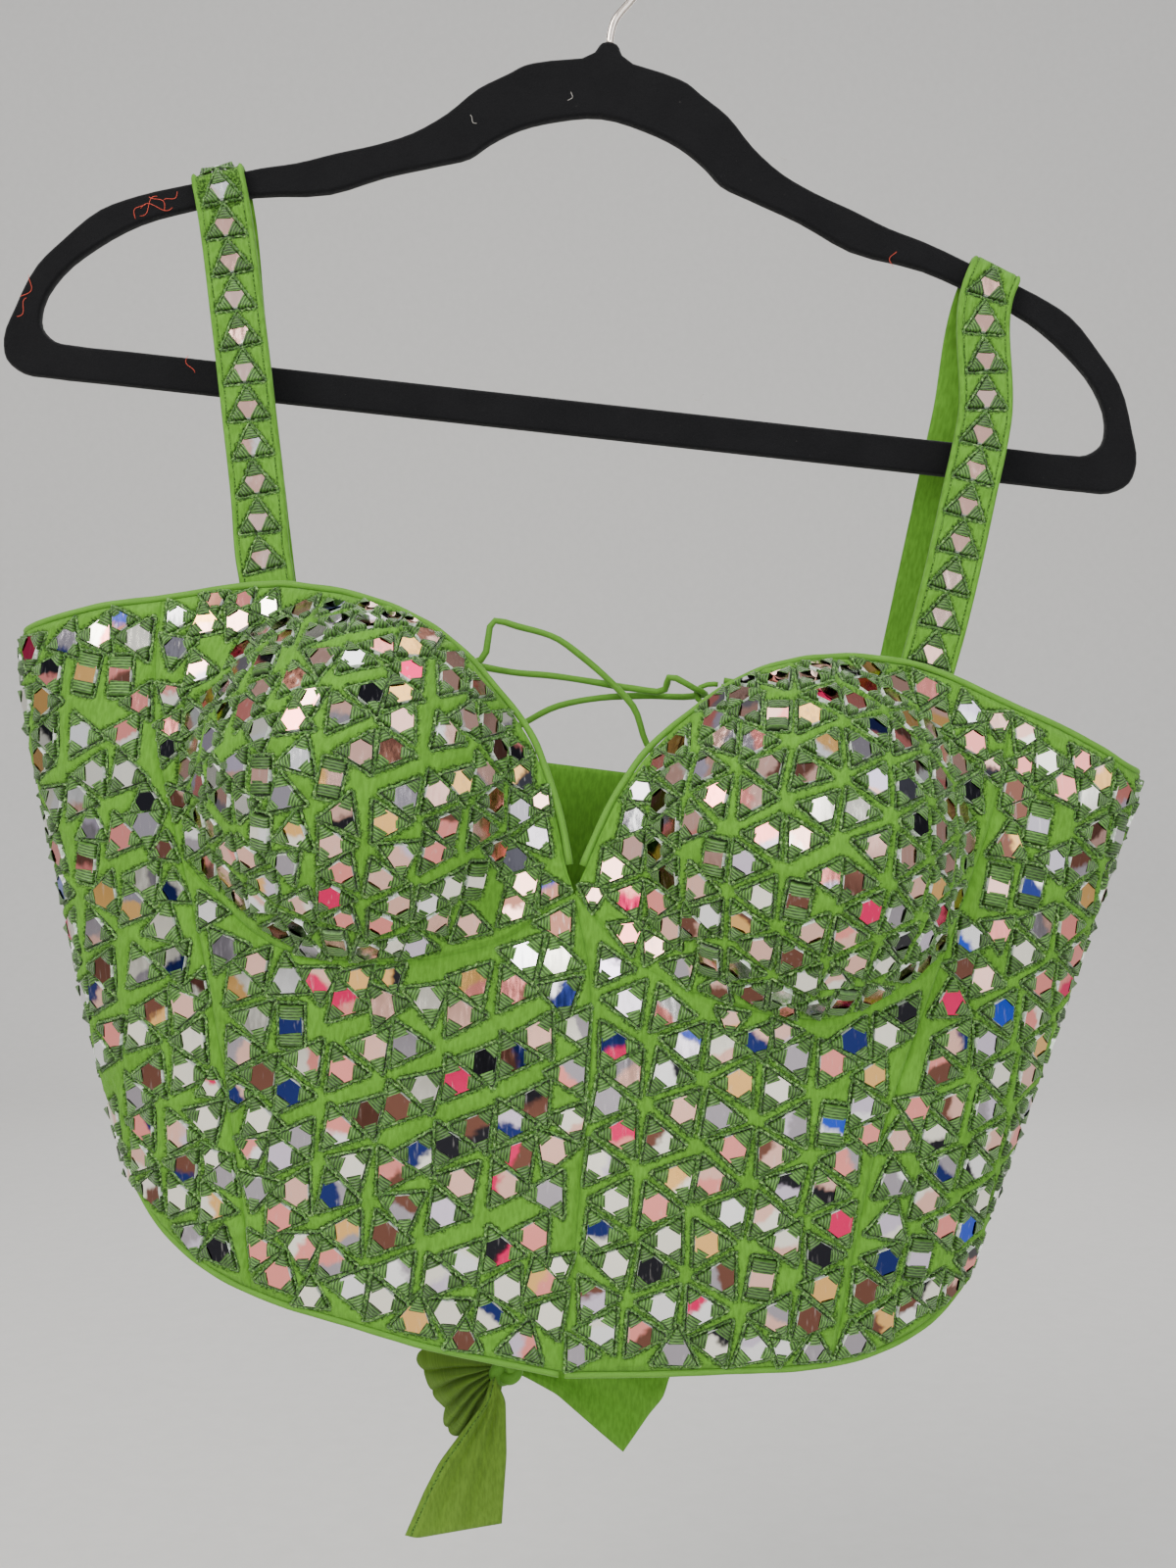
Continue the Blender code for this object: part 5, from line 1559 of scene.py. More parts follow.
def tube_mesh(name, path, radius, sides=10, closed=False):
    """A round cord along places in millimetres, with its ends closed."""
    path = np.array(path, float)
    radius = np.broadcast_to(radius, (len(path),))
    if closed:
        path, radius = np.vstack([path, path[:1]]), np.append(radius, radius[0])
    across = frames_along(path)
    along = lengths_along(path)
    mesh = bmesh.new()
    uv = mesh.loops.layers.uv.new("UVMap")
    bmesh.ops.create_grid(mesh, x_segments=sides, y_segments=len(path) - 1, size=1, calc_uvs=True)
    mesh.verts.ensure_lookup_table()
    for k, vert in enumerate(mesh.verts):
        row, number = divmod(k, sides + 1)
        turn = 2 * math.pi * (number % sides) / sides
        one, two = across[row]
        vert.co = (path[row] + (one * math.cos(turn) + two * math.sin(turn)) * radius[row]) * MM
    width = 2 * math.pi * float(radius.mean()) * MM
    for face in mesh.faces:
        for loop in face.loops:
            loop[uv].uv = (loop[uv].uv.x * width, along[loop.vert.index // (sides + 1)] * MM)
    bmesh.ops.remove_doubles(mesh, verts=mesh.verts, dist=SAME_PLACE)
    bmesh.ops.holes_fill(mesh, edges=[edge for edge in mesh.edges if edge.is_boundary], sides=0)
    bmesh.ops.recalc_face_normals(mesh, faces=mesh.faces)
    return finished_mesh(name, mesh)


# Panels with mirror work


PITCH = 0.96
LINING_PITCH = 7.0
SMALL_SHARES = (0.92, 0.8, 0.68)
SMALL_STEP = 2.4
SMALL_MARGIN = 0.25
SMALL_OVER_EDGE = 1.0
SMALL_NEAR_SEAM = 9.5
SMALL_LEAST_APART = (0.28, 0.28)  # as shares of a full mirror, and the part that grows with its size
SMALL_TURNS = 6
SMALL_TURN = math.pi / 9
SMALL_SEED = 200
CUP_SWELL = 1.18
CUP_LEAST_RISE = 126.0
PANEL_SEED = 7
UNIT_FAR = 30.0
UNIT_REACH = 20.0
BEYOND = 1e9
CLOTH_RIPPLE = (17.0, 0.35)  # length, and share of the ridge
FINE_RIPPLE = (4.2, 0.10)  # length, height
FINE_FROM_UNIT = (1.0, 3.0)
CROWN = 0.35
CROWN_BETWEEN = (2.2, 0.0)
CROWN_FROM_UNIT = (0.9, 2.0)
RIDGE_FROM_UNIT = (0.55, 2.3)
SEAM_RISE = (0.2, 2.6)
SEAM_SUNK = 0.35
CLOTH_LIFT = 0.2


def joined(*lines):
    """Lines that meet end to end as one."""
    out = list(lines[0])
    for line in lines[1:]:
        out += list(line)[1:]
    return out


def panel_lines(kind, side):
    """Bottom, top, inner and outer line of a panel, in run and height."""
    centre, front_hem, side_hem, seam = front_lines(side)
    upper = upper_seam(side)
    if kind == "cup":
        low, high = even(underbust(side))[1:], even(neckline(side))[1:]
        return low, high, np.linspace(low[0], high[0], 7), even(upper[::-1])
    if kind == "front":
        return even(front_hem), even(underbust(side)), even(centre[::-1]), even(seam[::-1])
    return even(side_hem), even(side_top(side)), even(joined(upper, seam)[::-1]), even(side_seam(side)[::-1])


def panel_units(kind, side):
    """The way from the panel's flat to the wall, and its mirror units."""
    centre, front_hem, side_hem, seam = front_lines(side)
    upper = upper_seam(side)
    outline, seed = {
        "cup": ((neckline(side), upper, underbust(side)[::-1]), CUP_SEED),
        "front": ((underbust(side), seam[:-1], front_hem[::-1], centre[::-1]), FRONT_SEED),
        "side": ((side_top(side), side_seam(side), side_hem[::-1], seam[::-1], upper[::-1]), SIDE_SEED),
    }[kind]
    to_flat, from_flat = cup_flat(side) if kind == "cup" else body_flat()
    pitch, size = (CUP_PITCH, CUP_TRIANGLE_SIDE) if kind == "cup" else (BODY_PITCH, TRIANGLE_SIDE)

    def place(u, v):
        return wall(*from_flat(u, v))

    loop = inset([to_flat(*p) for p in closed_outline(*outline)], SEAM_GAP)
    units = mirror_units(place, loop, pitch, size, seed + side, side < 0)
    return place, units + small_units(place, loop, units, size, seed + side)


def small_units(place, loop, units, size, seed):
    """Smaller mirrors in the gaps along the seams."""
    dice = random.Random(seed + SMALL_SEED)
    wide = inset(loop, -SMALL_OVER_EDGE)
    sides = list(zip(loop, loop[1:] + loop[:1]))
    taken = [(unit[:2], footprint(place, unit)) for unit in units]
    low, high = reach_of(loop)
    kept = []
    for share in SMALL_SHARES:
        apart_by = (SMALL_LEAST_APART[0] + SMALL_LEAST_APART[1] * share) * size
        for v in np.arange(low[1], high[1], SMALL_STEP):
            for u in np.arange(low[0], high[0], SMALL_STEP):
                here = (float(u), float(v))
                if any(math.dist(centre, here) < apart_by for centre, _ in taken):
                    continue
                if not is_inside(here, loop):
                    continue
                if min(gap_to_edge(here, a, b) for a, b in sides) > SMALL_NEAR_SEAM:
                    continue
                near = [other for centre, other in taken if math.dist(centre, here) < NEAR_UNIT]
                start = dice.uniform(0, 2 * math.pi)
                for k in range(SMALL_TURNS):
                    unit = (*here, start + k * SMALL_TURN, "triangle", size * share)
                    shape = footprint(place, unit)
                    if all(apart(shape, other, SMALL_MARGIN) for other in near) and well_inside(shape, wide):
                        taken.append((here, shape))
                        kept.append(unit)
                        break
    return kept


def unit_frames(place, units):
    """For each unit its centre, axes, curvature, kind and size."""
    frames = []
    for u, v, angle, kind, size in units:
        centre, right, _, normal = across_surface(place, u, v, UNIT_STEP)
        right = right.normalized()
        over = normal.cross(right)
        x = right * math.cos(angle) + over * math.sin(angle)
        y = normal.cross(x)
        corners = [place(*p) - centre for p in footprint(place, (u, v, angle, kind, size))]
        bend = sum(c.dot(normal) / c.length_squared for c in corners) / len(corners)
        frames.append((np.array(centre), np.array([x, y, normal]), bend, kind, size))
    return frames


def outline_distance(points, corners):
    """How far points of the flat are from a convex outline, negative inside."""
    edge = np.full(len(points), BEYOND)
    deep = -edge
    for a, b in zip(corners, corners[1:] + corners[:1]):
        a, b = np.array(a), np.array(b)
        way = b - a
        t = np.clip(((points - a) @ way) / (way @ way), 0, 1)
        edge = np.minimum(edge, np.linalg.norm(points - a - t[:, None] * way, axis=1))
        out = np.array([way[1], -way[0]]) / np.linalg.norm(way)
        deep = np.maximum(deep, (points - a) @ out)
    return np.where(deep > 0, edge, -edge)


def unit_distances(points, frames):
    """For each place its distance from the nearest unit's outline and from the next one's."""
    best = np.full(len(points), UNIT_FAR)
    second = best.copy()
    for centre, axes, _, kind, size in frames:
        offset = points - centre
        near = np.nonzero((offset * offset).sum(1) < UNIT_REACH**2)[0]
        distance = outline_distance(offset[near] @ axes[:2].T, unit_corners(kind, size))
        old = best[near]
        second[near] = np.minimum(second[near], np.maximum(old, distance))
        best[near] = np.minimum(old, distance)
    return best, second


def border_distances(points):
    """How far each place of a grid is from the grid's edge."""
    best = np.full(points.shape[:2], BEYOND)
    for line in (points[:1], points[-1:], points[:, :1], points[:, -1:]):
        best = np.minimum(best, np.linalg.norm(points - line, axis=2))
    return best


def worked_height(points, edge, frames, cloth, seed):
    """How far the cloth stands out: pulled in round each unit, full between two, flat at the seams."""
    near, following = unit_distances(points.reshape(-1, 3), frames)
    near, following = near.reshape(edge.shape), following.reshape(edge.shape)
    ridge, trench = cloth.ridge / MM, cloth.trench / MM
    soft = ripples(points, seed, CLOTH_RIPPLE[0])
    fine = ripples(points, seed + 1, FINE_RIPPLE[0])
    full = ridge * (1.0 + CLOTH_RIPPLE[1] * soft)
    full = full + FINE_RIPPLE[1] * fine * smoothstep(near, *FINE_FROM_UNIT)
    crown = CROWN * smoothstep(following - near, *CROWN_BETWEEN) * smoothstep(near, *CROWN_FROM_UNIT)
    height = -trench + (full + trench + crown) * smoothstep(near, *RIDGE_FROM_UNIT)
    height = np.where(near < 0, -trench, height)
    return (height + CLOTH_LIFT) * smoothstep(edge, *SEAM_RISE) - SEAM_SUNK, near


def make_panel(kind, side, word, cloth):
    """The cloth of one mirror-work panel, with its inside."""
    lines = panel_lines(kind, side)
    real = [places_on(WALL_GRID, line[:, 0], line[:, 1]) for line in lines]
    lengths = [length_of(line) for line in real]
    swell, least = (CUP_SWELL, CUP_LEAST_RISE) if kind == "cup" else (1.0, 0.0)
    columns = int(max(lengths[0], lengths[1]) * swell / PITCH)
    rows = int(max(lengths[2], lengths[3], least) * swell / PITCH)
    outside = patch(*lines, columns, rows)
    inside = patch(*lines, int(columns * PITCH / LINING_PITCH), int(rows * PITCH / LINING_PITCH))
    runs, heights = outside[..., 0], outside[..., 1]
    points = places_on(WALL_GRID, runs, heights)
    place, units = panel_units(kind, side)
    frames = unit_frames(place, units)
    height, near = worked_height(points, border_distances(points), frames, cloth, PANEL_SEED + side)
    outer = points + normals_on(WALL_GRID, runs, heights) * height[..., None]
    low_runs, low_heights = inside[..., 0], inside[..., 1]
    inner = places_on(WALL_GRID, low_runs, low_heights)
    inner = inner - normals_on(WALL_GRID, low_runs, low_heights) * WALL
    near = (near, bare(inner))
    data = sheets_mesh(f"{kind}_cloth_{word}", (outer, inner), (outside, inside), near)
    obj = piece(data, "worked", "mirror_work_cloth", f"{kind}_{word}")
    return obj, frames, lengths, points


# Mirror units, each a plate held by satin thread at its corners, in a ring of knotted thread


# Colours of the room painted on the mirrors as painted reflections
REFLECTION_COLOURS = (
    # red, green, blue, share on cups, on straps and on the body
    (0.86, 0.50, 0.40, 22, 0, 9), (0.84, 0.50, 0.41, 14, 60, 2), (0.90, 0.62, 0.54, 0, 30, 0),
    (0.90, 0.30, 0.26, 15, 0, 13), (0.93, 0.90, 0.78, 8, 0, 19), (0.95, 0.95, 0.95, 5, 4, 8),
    (0.36, 0.33, 0.37, 9, 0, 10), (0.16, 0.07, 0.05, 9, 0, 11), (0.02, 0.02, 0.025, 6, 0, 6),
    (0.02, 0.03, 0.14, 1, 0, 6), (0.03, 0.08, 0.60, 0, 0, 1), (0.75, 0.02, 0.12, 3, 0, 4),
    (0.85, 0.48, 0.15, 4, 0, 8), (0.66, 0.58, 0.72, 3, 0, 6),
)
MIRROR_LEANS = {"cup": 2.2, "strap": 1.4, "front": 1.0, "side": 1.0}
REFLECTION_COLUMNS = {"cup": 3, "strap": 4, "front": 5, "side": 5}
WRAP_PROFILE = (
    # share across, height from the mirror's face
    (-1.10, -2.9), (-1.02, -0.55), (-0.74, 0.02), (0.0, 0.26), (0.74, 0.02), (1.02, -0.55),
    (1.10, -2.9),
)
WINDOW = 4.6
STRAP_WINDOW = 3.1
OBLONG_WINDOW = 3.1
WRAP_STARTS = (-1.5, 0.1)
STRAP_STARTS = (-0.3, 0.3)
WRAP_SKEW = 0.16
KNOT_AWAY = 0.95
KNOT_STEP = 1.0
VARIANTS = 5
# How far a mirror's face moves up and right, so that its bevel with the painted glint is wider on the lower
# left
GLINT_SHIFT = np.array([0.40, 0.0, 0.42])
WRAP_TIP = 0.25
OBLONG_TIP = 0.96
WRAP_ROWS = (0.0, 0.10, 0.55, 0.88, 1.03)
WRAP_START_LOW = 0.04
WRAP_END_LOW = -2.6
BEVEL_WIDTH = 0.68
BEVEL_HEIGHT = 0.28
PLATE_DEPTH = 3.2
# UV spread of a mirror's face, over which its painted reflection changes colour
REFLECTION_REACH = 5.0
KNOT_LINE_STEP = 0.3
KNOT_SHIFT = 0.16
KNOT_LEVEL = (0.05, 0.22)
KNOT_RADII = (0.40, 0.28, 0.07)  # least, how much every second one is wider, and its spread
KNOT_SIDES = 4
KNOTS_SEED = 5
WRAPS_SEED = 9
SAME_REFLECTION = 0.5
THREAD_SHADES = (0.65, 1.25)
# The wraps are painted darker towards their foot, as painted shade
WRAP_SHADE_LOW = 0.25
WRAP_SHADE_RISE = (-1.5, -0.3)
FACE_DEPTH = 0.05
SHARP_ANGLE = math.radians(40)
PLATE, WRAP, KNOTS = 0, 2, 3  # the first of each one's materials


def window_corners(kind, size):
    """The open part of a mirror, and for each wrap its turn, start, end and half widths."""
    scale = size / TRIANGLE_SIDE
    if kind == "oblong":
        half = size * OBLONG_HALF_WIDTH
        start, end = OBLONG_WINDOW * scale, size * OBLONG_HALF_LENGTH
        corners = [(start, -half), (start, half), (-start, half), (-start, -half)]
        return corners, [(turn, start, end, half, half * OBLONG_TIP) for turn in (0.0, math.pi)]
    radius = size / math.sqrt(3)
    start = (STRAP_WINDOW if size == STRAP_TRIANGLE_SIDE else WINDOW) * scale
    half = (radius - start) / math.sqrt(3)
    wraps = [(math.radians(a), start, radius, half, WRAP_TIP) for a in (0, 120, 240)]
    return [turned(start, y, turn) for turn, *_ in wraps for y in (-half, half)], wraps


def as_arrays(mesh, uv):
    """A template's places, faces and the UVs of its face corners."""
    mesh.verts.index_update()
    places = np.array([vert.co[:] for vert in mesh.verts])
    faces = [[vert.index for vert in face.verts] for face in mesh.faces]
    corners = np.array([loop[uv].uv[:] for face in mesh.faces for loop in face.loops])
    materials = [face.material_index for face in mesh.faces]
    mesh.free()
    return places, faces, corners, materials


def plate_template(kind, size, rise):
    """A mirror plate with a cut edge all round."""
    mesh = bmesh.new()
    uv = mesh.loops.layers.uv.new("UVMap")
    corners, _ = window_corners(kind, size)
    face = mesh.faces.new([mesh.verts.new((x, y, rise - BEVEL_HEIGHT)) for x, y in corners])
    rim = list(face.edges)
    bmesh.ops.inset_individual(mesh, faces=[face], thickness=BEVEL_WIDTH, depth=BEVEL_HEIGHT)
    walls = bmesh.ops.extrude_edge_only(mesh, edges=rim)["geom"]
    foot = [item for item in walls if isinstance(item, bmesh.types.BMVert)]
    bmesh.ops.translate(mesh, verts=foot, vec=(0, 0, -PLATE_DEPTH))
    for one in mesh.faces:
        one.material_index = 0 if one is face else 1
        for loop in one.loops:
            loop[uv].uv = loop.vert.co.xy / REFLECTION_REACH
    bmesh.ops.recalc_face_normals(mesh, faces=mesh.faces)
    if face.normal.z < 0:
        bmesh.ops.reverse_faces(mesh, faces=mesh.faces)
    return as_arrays(mesh, uv)


def wraps_template(kind, size, rise, seed):
    """Rounded pads of thread over the corners, each drawn a little further over the mirror or less."""
    dice = random.Random(seed)
    mesh = bmesh.new()
    uv = mesh.loops.layers.uv.new("UVMap")
    starts = STRAP_STARTS if size == STRAP_TRIANGLE_SIDE else WRAP_STARTS
    across, along = len(WRAP_PROFILE), len(WRAP_ROWS)
    for turn, start, end, half, tip in window_corners(kind, size)[1]:
        drawn = dice.uniform(*starts) * size / TRIANGLE_SIDE
        skew = dice.uniform(-WRAP_SKEW, WRAP_SKEW)
        start += drawn
        if kind == "triangle":
            half -= drawn / math.sqrt(3)
        grid = bmesh.ops.create_grid(
            mesh, x_segments=across - 1, y_segments=along - 1, size=1, calc_uvs=True
        )
        for k, vert in enumerate(grid["verts"]):
            row, place = divmod(k, across)
            share, height = WRAP_PROFILE[place]
            done = WRAP_ROWS[row]
            y = share * (half + (tip - half) * done)
            x = start + (end - start) * done + y * skew * (1 - done)
            z = rise + height
            if row == 0:
                z = min(z, rise + WRAP_START_LOW)
            if row == along - 1:
                z = min(z, rise + WRAP_END_LOW)
            for loop in vert.link_loops:
                loop[uv].uv = (x * MM, y * MM)
            vert.co = (*turned(x, y, turn), z)
    return as_arrays(mesh, uv)


def knots_template(kind, size, seed):
    """A ring of uneven knotted thread round the unit."""
    dice = np.random.default_rng(seed)
    corners = unit_corners(kind, size)
    loop = inset(closed_outline(corners), -KNOT_AWAY)
    line = even([*loop, loop[0]], KNOT_LINE_STEP, 4)[:-1]
    count = int(len(line) * KNOT_LINE_STEP / KNOT_STEP)
    path = pick(np.vstack([line, line[:1]]), count + 1)[:-1]
    path = path + dice.normal(0, KNOT_SHIFT, path.shape)
    level = dice.normal(*KNOT_LEVEL, count)
    least, wider, spread = KNOT_RADII
    radius = least + wider * (np.arange(count) % 2) + dice.normal(0, spread, count)
    data = tube_mesh("knots", np.column_stack([path, level]), radius, KNOT_SIDES, True)
    mesh = bmesh.new()
    mesh.from_mesh(data)
    bpy.data.meshes.remove(data)
    bmesh.ops.scale(mesh, verts=mesh.verts, vec=(1 / MM, 1 / MM, 1 / MM))
    return as_arrays(mesh, mesh.loops.layers.uv["UVMap"])


def pick_reflections(dice, part):
    """Two colours of the room painted on one mirror as its painted reflection."""
    shares = [row[REFLECTION_COLUMNS[part]] for row in REFLECTION_COLOURS]
    one, two = dice.choices(REFLECTION_COLOURS, shares, k=2)
    if dice.random() < SAME_REFLECTION:
        two = one
    return one[:3], two[:3]


def mirror_templates(kind, size, rise):
    """A plate, the wraps and the rings of knots for units of one kind and size."""
    knots = [knots_template(kind, size, KNOTS_SEED + k) for k in range(VARIANTS)]
    pads = [wraps_template(kind, size, rise, WRAPS_SEED + k) for k in range(VARIANTS)]
    return plate_template(kind, size, rise), pads, knots


def make_mirrors(name, frames, settings, seed, part):
    """Every unit of one panel, joined into one mesh."""
    dice = random.Random(seed)
    rise, most = settings.rise / MM, settings.tilt * MIRROR_LEANS[part]
    templates = {}
    places, faces, corners, materials, reflection_shade_tones, second_reflections = [], [], [], [], [], []
    first = 0
    for centre, axes, bend, kind, size in frames:
        if (kind, size) not in templates:
            templates[kind, size] = mirror_templates(kind, size, rise)
        plate, wraps, knots = templates[kind, size]
        lean = [math.tan(dice.uniform(-most, most)) for _ in "xy"]
        shade = dice.uniform(*THREAD_SHADES)
        # The plate's painted reflection: one or two colours of the room, parted along a line that is turned
        # and shifted
        reflection_shade_tone, other = pick_reflections(dice, part)
        turn, shift = dice.uniform(0, 2 * math.pi), dice.uniform(-0.5, 0.5)
        parts = ((plate, PLATE), (dice.choice(wraps), WRAP), (dice.choice(knots), KNOTS))
        for (local, some, uvs, kinds), base in parts:
            spot = local.copy()
            count = len(spot)
            if base == PLATE:
                # The bevel, which carries the painted glint, grows wider on the lower left side
                spot[local[:, 2] > rise - FACE_DEPTH, :2] += GLINT_SHIFT @ axes[:2].T
                spot[:, 2] += local[:, 0] * lean[0] + local[:, 1] * lean[1]
                c, s = math.cos(turn), math.sin(turn)
                uvs = uvs @ np.array([[c, s], [-s, c]]) + (shift, 0)
                reflection_shade_tones += [reflection_shade_tone] * count
                second_reflections += [other] * count
            else:
                low = np.ones(count)
                # Wraps get painted shade towards their foot; shade is the unit's random thread tone
                if base == WRAP:
                    up = smoothstep(local[:, 2], *(rise + edge for edge in WRAP_SHADE_RISE))
                    low = WRAP_SHADE_LOW + (1 - WRAP_SHADE_LOW) * up
                reflection_shade_tones += [(shade * float(k),) * 3 for k in low]
                second_reflections += [(1.0, 1.0, 1.0)] * count
            if base == KNOTS:
                spot[:, 2] += bend * (local[:, 0] ** 2 + local[:, 1] ** 2)
            places.append(centre + spot @ axes)
            faces += [[k + first for k in face] for face in some]
            corners.append(uvs)
            materials += [base + k for k in kinds]
            first += count
    data = bpy.data.meshes.new(name)
    data.from_pydata(np.concatenate(places) * MM, [], faces)
    uvs = np.concatenate(corners).astype(np.float32)
    data.uv_layers.new(name="UVMap").data.foreach_set("uv", uvs.ravel())
    data.polygons.foreach_set("material_index", np.array(materials, np.int32))
    # Painted reflections on the plates; random thread tone, with painted shade at the wraps' foot, on the
    # thread
    for key, colours in (("reflection_shade_tone", reflection_shade_tones), ("second_reflection", second_reflections)):
        layer = data.color_attributes.new(key, "FLOAT_COLOR", "POINT")
        layer.data.foreach_set("color", np.array([(*c, 1.0) for c in colours], np.float32).ravel())
    obj = put(name, data, *(MATERIALS[k] for k in ("mirror", "edge", "satin", "knots")))
    data.set_sharp_from_angle(angle=SHARP_ANGLE)
    return take_place(obj, "mirror_work_cloth")


# Lacing cord and what is tied at its end


LACE_FINE_STEP = 4.0
LACE_SIDES = 12
LACE_UNEVEN = ((0.035, 0.9, 0.0), (0.03, 0.37, 1.0))  # share of the radius, rate and start of each wave
KNOT_REACH = (3.6, 1.3, 2.3, -1.6)  # least, wave, depth and drop of the cord wound round itself
KNOT_TUBE = 2.8
KNOT_POINTS = 90
ROSETTE_INSIDE = 3.0
ROSETTE_ROWS = 38
ROSETTE_PER_PLEAT = 18
ROSETTE_ROLL = (0.30, 0.75, 0.7)  # least thickness, what a roll adds, how full it is
ROSETTE_DRIFT = ((0.022, 9.0), (0.05, 7.0))
ROSETTE_RIM = ((2.3, 9.5, 0.9), (0.9, 23.0, 0.0))
ROSETTE_ENDS = (1.3, 0.6, 0.9)  # what a roll's end adds, how blunt it is, and what all ends lose
ROSETTE_CREASES = (0.25, 1.1, 9)
TAIL_FOLD_FADE = 0.35
TAIL_FOLD_SHARE = 0.8
TAIL_TURNED = (0.45, 5.6, 5.0)  # height of the turned-in edge and where it ends, from the edge
TAIL_STITCH = (0.35, 4.2, 0.35)  # depth, place from the edge, half width
TAIL_THREAD = (2.4, 0.7)
TAIL_BOW = (0.25, 9.0)
TAIL_EDGE_THIN = 0.35
TAIL_TIED = 2.0
LONG_LINES = ((5, 4, 3), (10, 0), (5, 6, 7, 8, 9, 10), (3, 2, 1, 0))
WIDE_LINES = ((1, 2, 3, 4, 5), (13, 12, 11, 10, 9), (1, 0, 13), (5, 6, 7, 8, 9))
LONG_FOLDS = (
    # share across at the knot and at the free end, height, half width as a share
    (0.20, 0.12, 1.5, 0.07), (0.36, 0.30, -1.6, 0.06), (0.52, 0.50, 1.9, 0.08),
    (0.68, 0.66, -1.5, 0.06), (0.84, 0.80, 1.2, 0.07),
)
WIDE_FOLDS = (
    (0.15, 0.12, 1.0, 0.08), (0.35, 0.30, -1.4, 0.07), (0.50, 0.52, 1.7, 0.08),
    (0.70, 0.72, -1.2, 0.07), (0.86, 0.90, 0.9, 0.06),
)


def behind_all(seen, depth):
    """Places at a depth that the camera sees at x and z of the hanger's plane."""
    eye = np.array(EYE)
    plane = np.stack([seen[..., 0], np.zeros_like(depth), seen[..., 1]], -1)
    return eye + (plane - eye) * (1 - depth / eye[1])[..., None]


def length_of(path):
    return float(np.linalg.norm(np.diff(np.array(path), axis=0), axis=1).sum())


def uneven(count, waves):
    """Shares of a radius that waver a little along a cord."""
    steps = np.arange(count)
    return 1 + sum(share * np.sin(steps * rate + start) for share, rate, start in waves)


def make_cord(name, points):
    path = np.array(stepped_path(points, LACE_FINE_STEP))
    radius = LACE_RADIUS * uneven(len(path), LACE_UNEVEN)
    data = tube_mesh(f"{name}_cord", path, radius, LACE_SIDES)
    return piece(data, "rolled", "piping_cloth", name), path * MM


def make_knot():
    """The cord's end wound round itself."""
    turns = np.linspace(0, 2 * math.pi, KNOT_POINTS, endpoint=False)
    least, wave, deep, drop = KNOT_REACH
    reach = least + wave * np.cos(3 * turns)
    x, z = reach * np.cos(2 * turns), reach * np.sin(2 * turns) + drop
    path = np.stack([x, deep * np.sin(3 * turns), z], 1)
    data = tube_mesh("tie_knot_wound", path + np.array(KNOT), KNOT_TUBE, LACE_SIDES, True)
    return piece(data, "rolled", "plain_cloth", "tie_knot")


def shell(name, front, back, flat, material, node, near):
    """A plain cloth of two faces over the same flat."""
    data = sheets_mesh(name, (front, back), (flat, flat), (near, near))
    return piece(data, material, "plain_cloth", node)


def make_rosette():
    """A fan of rolled pleats: each pleat a round roll with its own end."""
    inmost, outmost = ROSETTE_RINGS[0][0], ROSETTE_RINGS[-1][0]
    radii = np.linspace(inmost - ROSETTE_INSIDE, outmost, ROSETTE_ROWS)[:, None]
    share = np.linspace(0, 1, ROSETTE_PLEATS * ROSETTE_PER_PLEAT + 1)[None, :]
    deep = np.interp(radii, [r for r, _ in ROSETTE_RINGS], [d for _, d in ROSETTE_RINGS])
    (sway, rate), (bend, length) = ROSETTE_DRIFT
    drift = (sway * np.sin(rate * share) + bend * np.sin(radii / length)) * np.sin(np.pi * share)
    roll = np.abs(np.sin(np.pi * ROSETTE_PLEATS * (share + drift)))
    start, end = math.radians(ROSETTE_FROM), math.radians(ROSETTE_TO)
    angle = start + (end - start) * share + 0.0 * radii
    out = np.clip((radii - inmost) / (outmost - inmost), 0, 1)
    rim = sum(height * np.sin(turns * share + begin) for height, turns, begin in ROSETTE_RIM)
    swell, blunt, short = ROSETTE_ENDS
    reach = radii + out * (swell * roll**blunt + rim - short)
    edge = np.minimum(1.0, ROSETTE_EDGE_SLOPE * np.minimum(share, 1 - share) + ROSETTE_EDGE)
    least, more, fullness = ROSETTE_ROLL
    crease, rate, turns = ROSETTE_CREASES
    thick = deep * (least + more * roll**fullness) + crease * np.sin(reach * rate + turns * share) * out
    thick = thick * edge
    x, z = np.cos(angle) * reach, np.sin(angle) * reach
    front = np.stack([x, -thick, z], -1) + np.array(KNOT)
    back = np.stack([x, thick * ROSETTE_BACK, z], -1) + np.array(KNOT)
    flat = np.stack([reach * angle, reach], -1)
    # The rosette takes the deep cloth, painted darker as painted shade
    obj = shell("tie_rosette_pleats", front, back, flat, "deep", "tie_rosette", bare(front))
    return obj, grid_area(front) * MM * MM


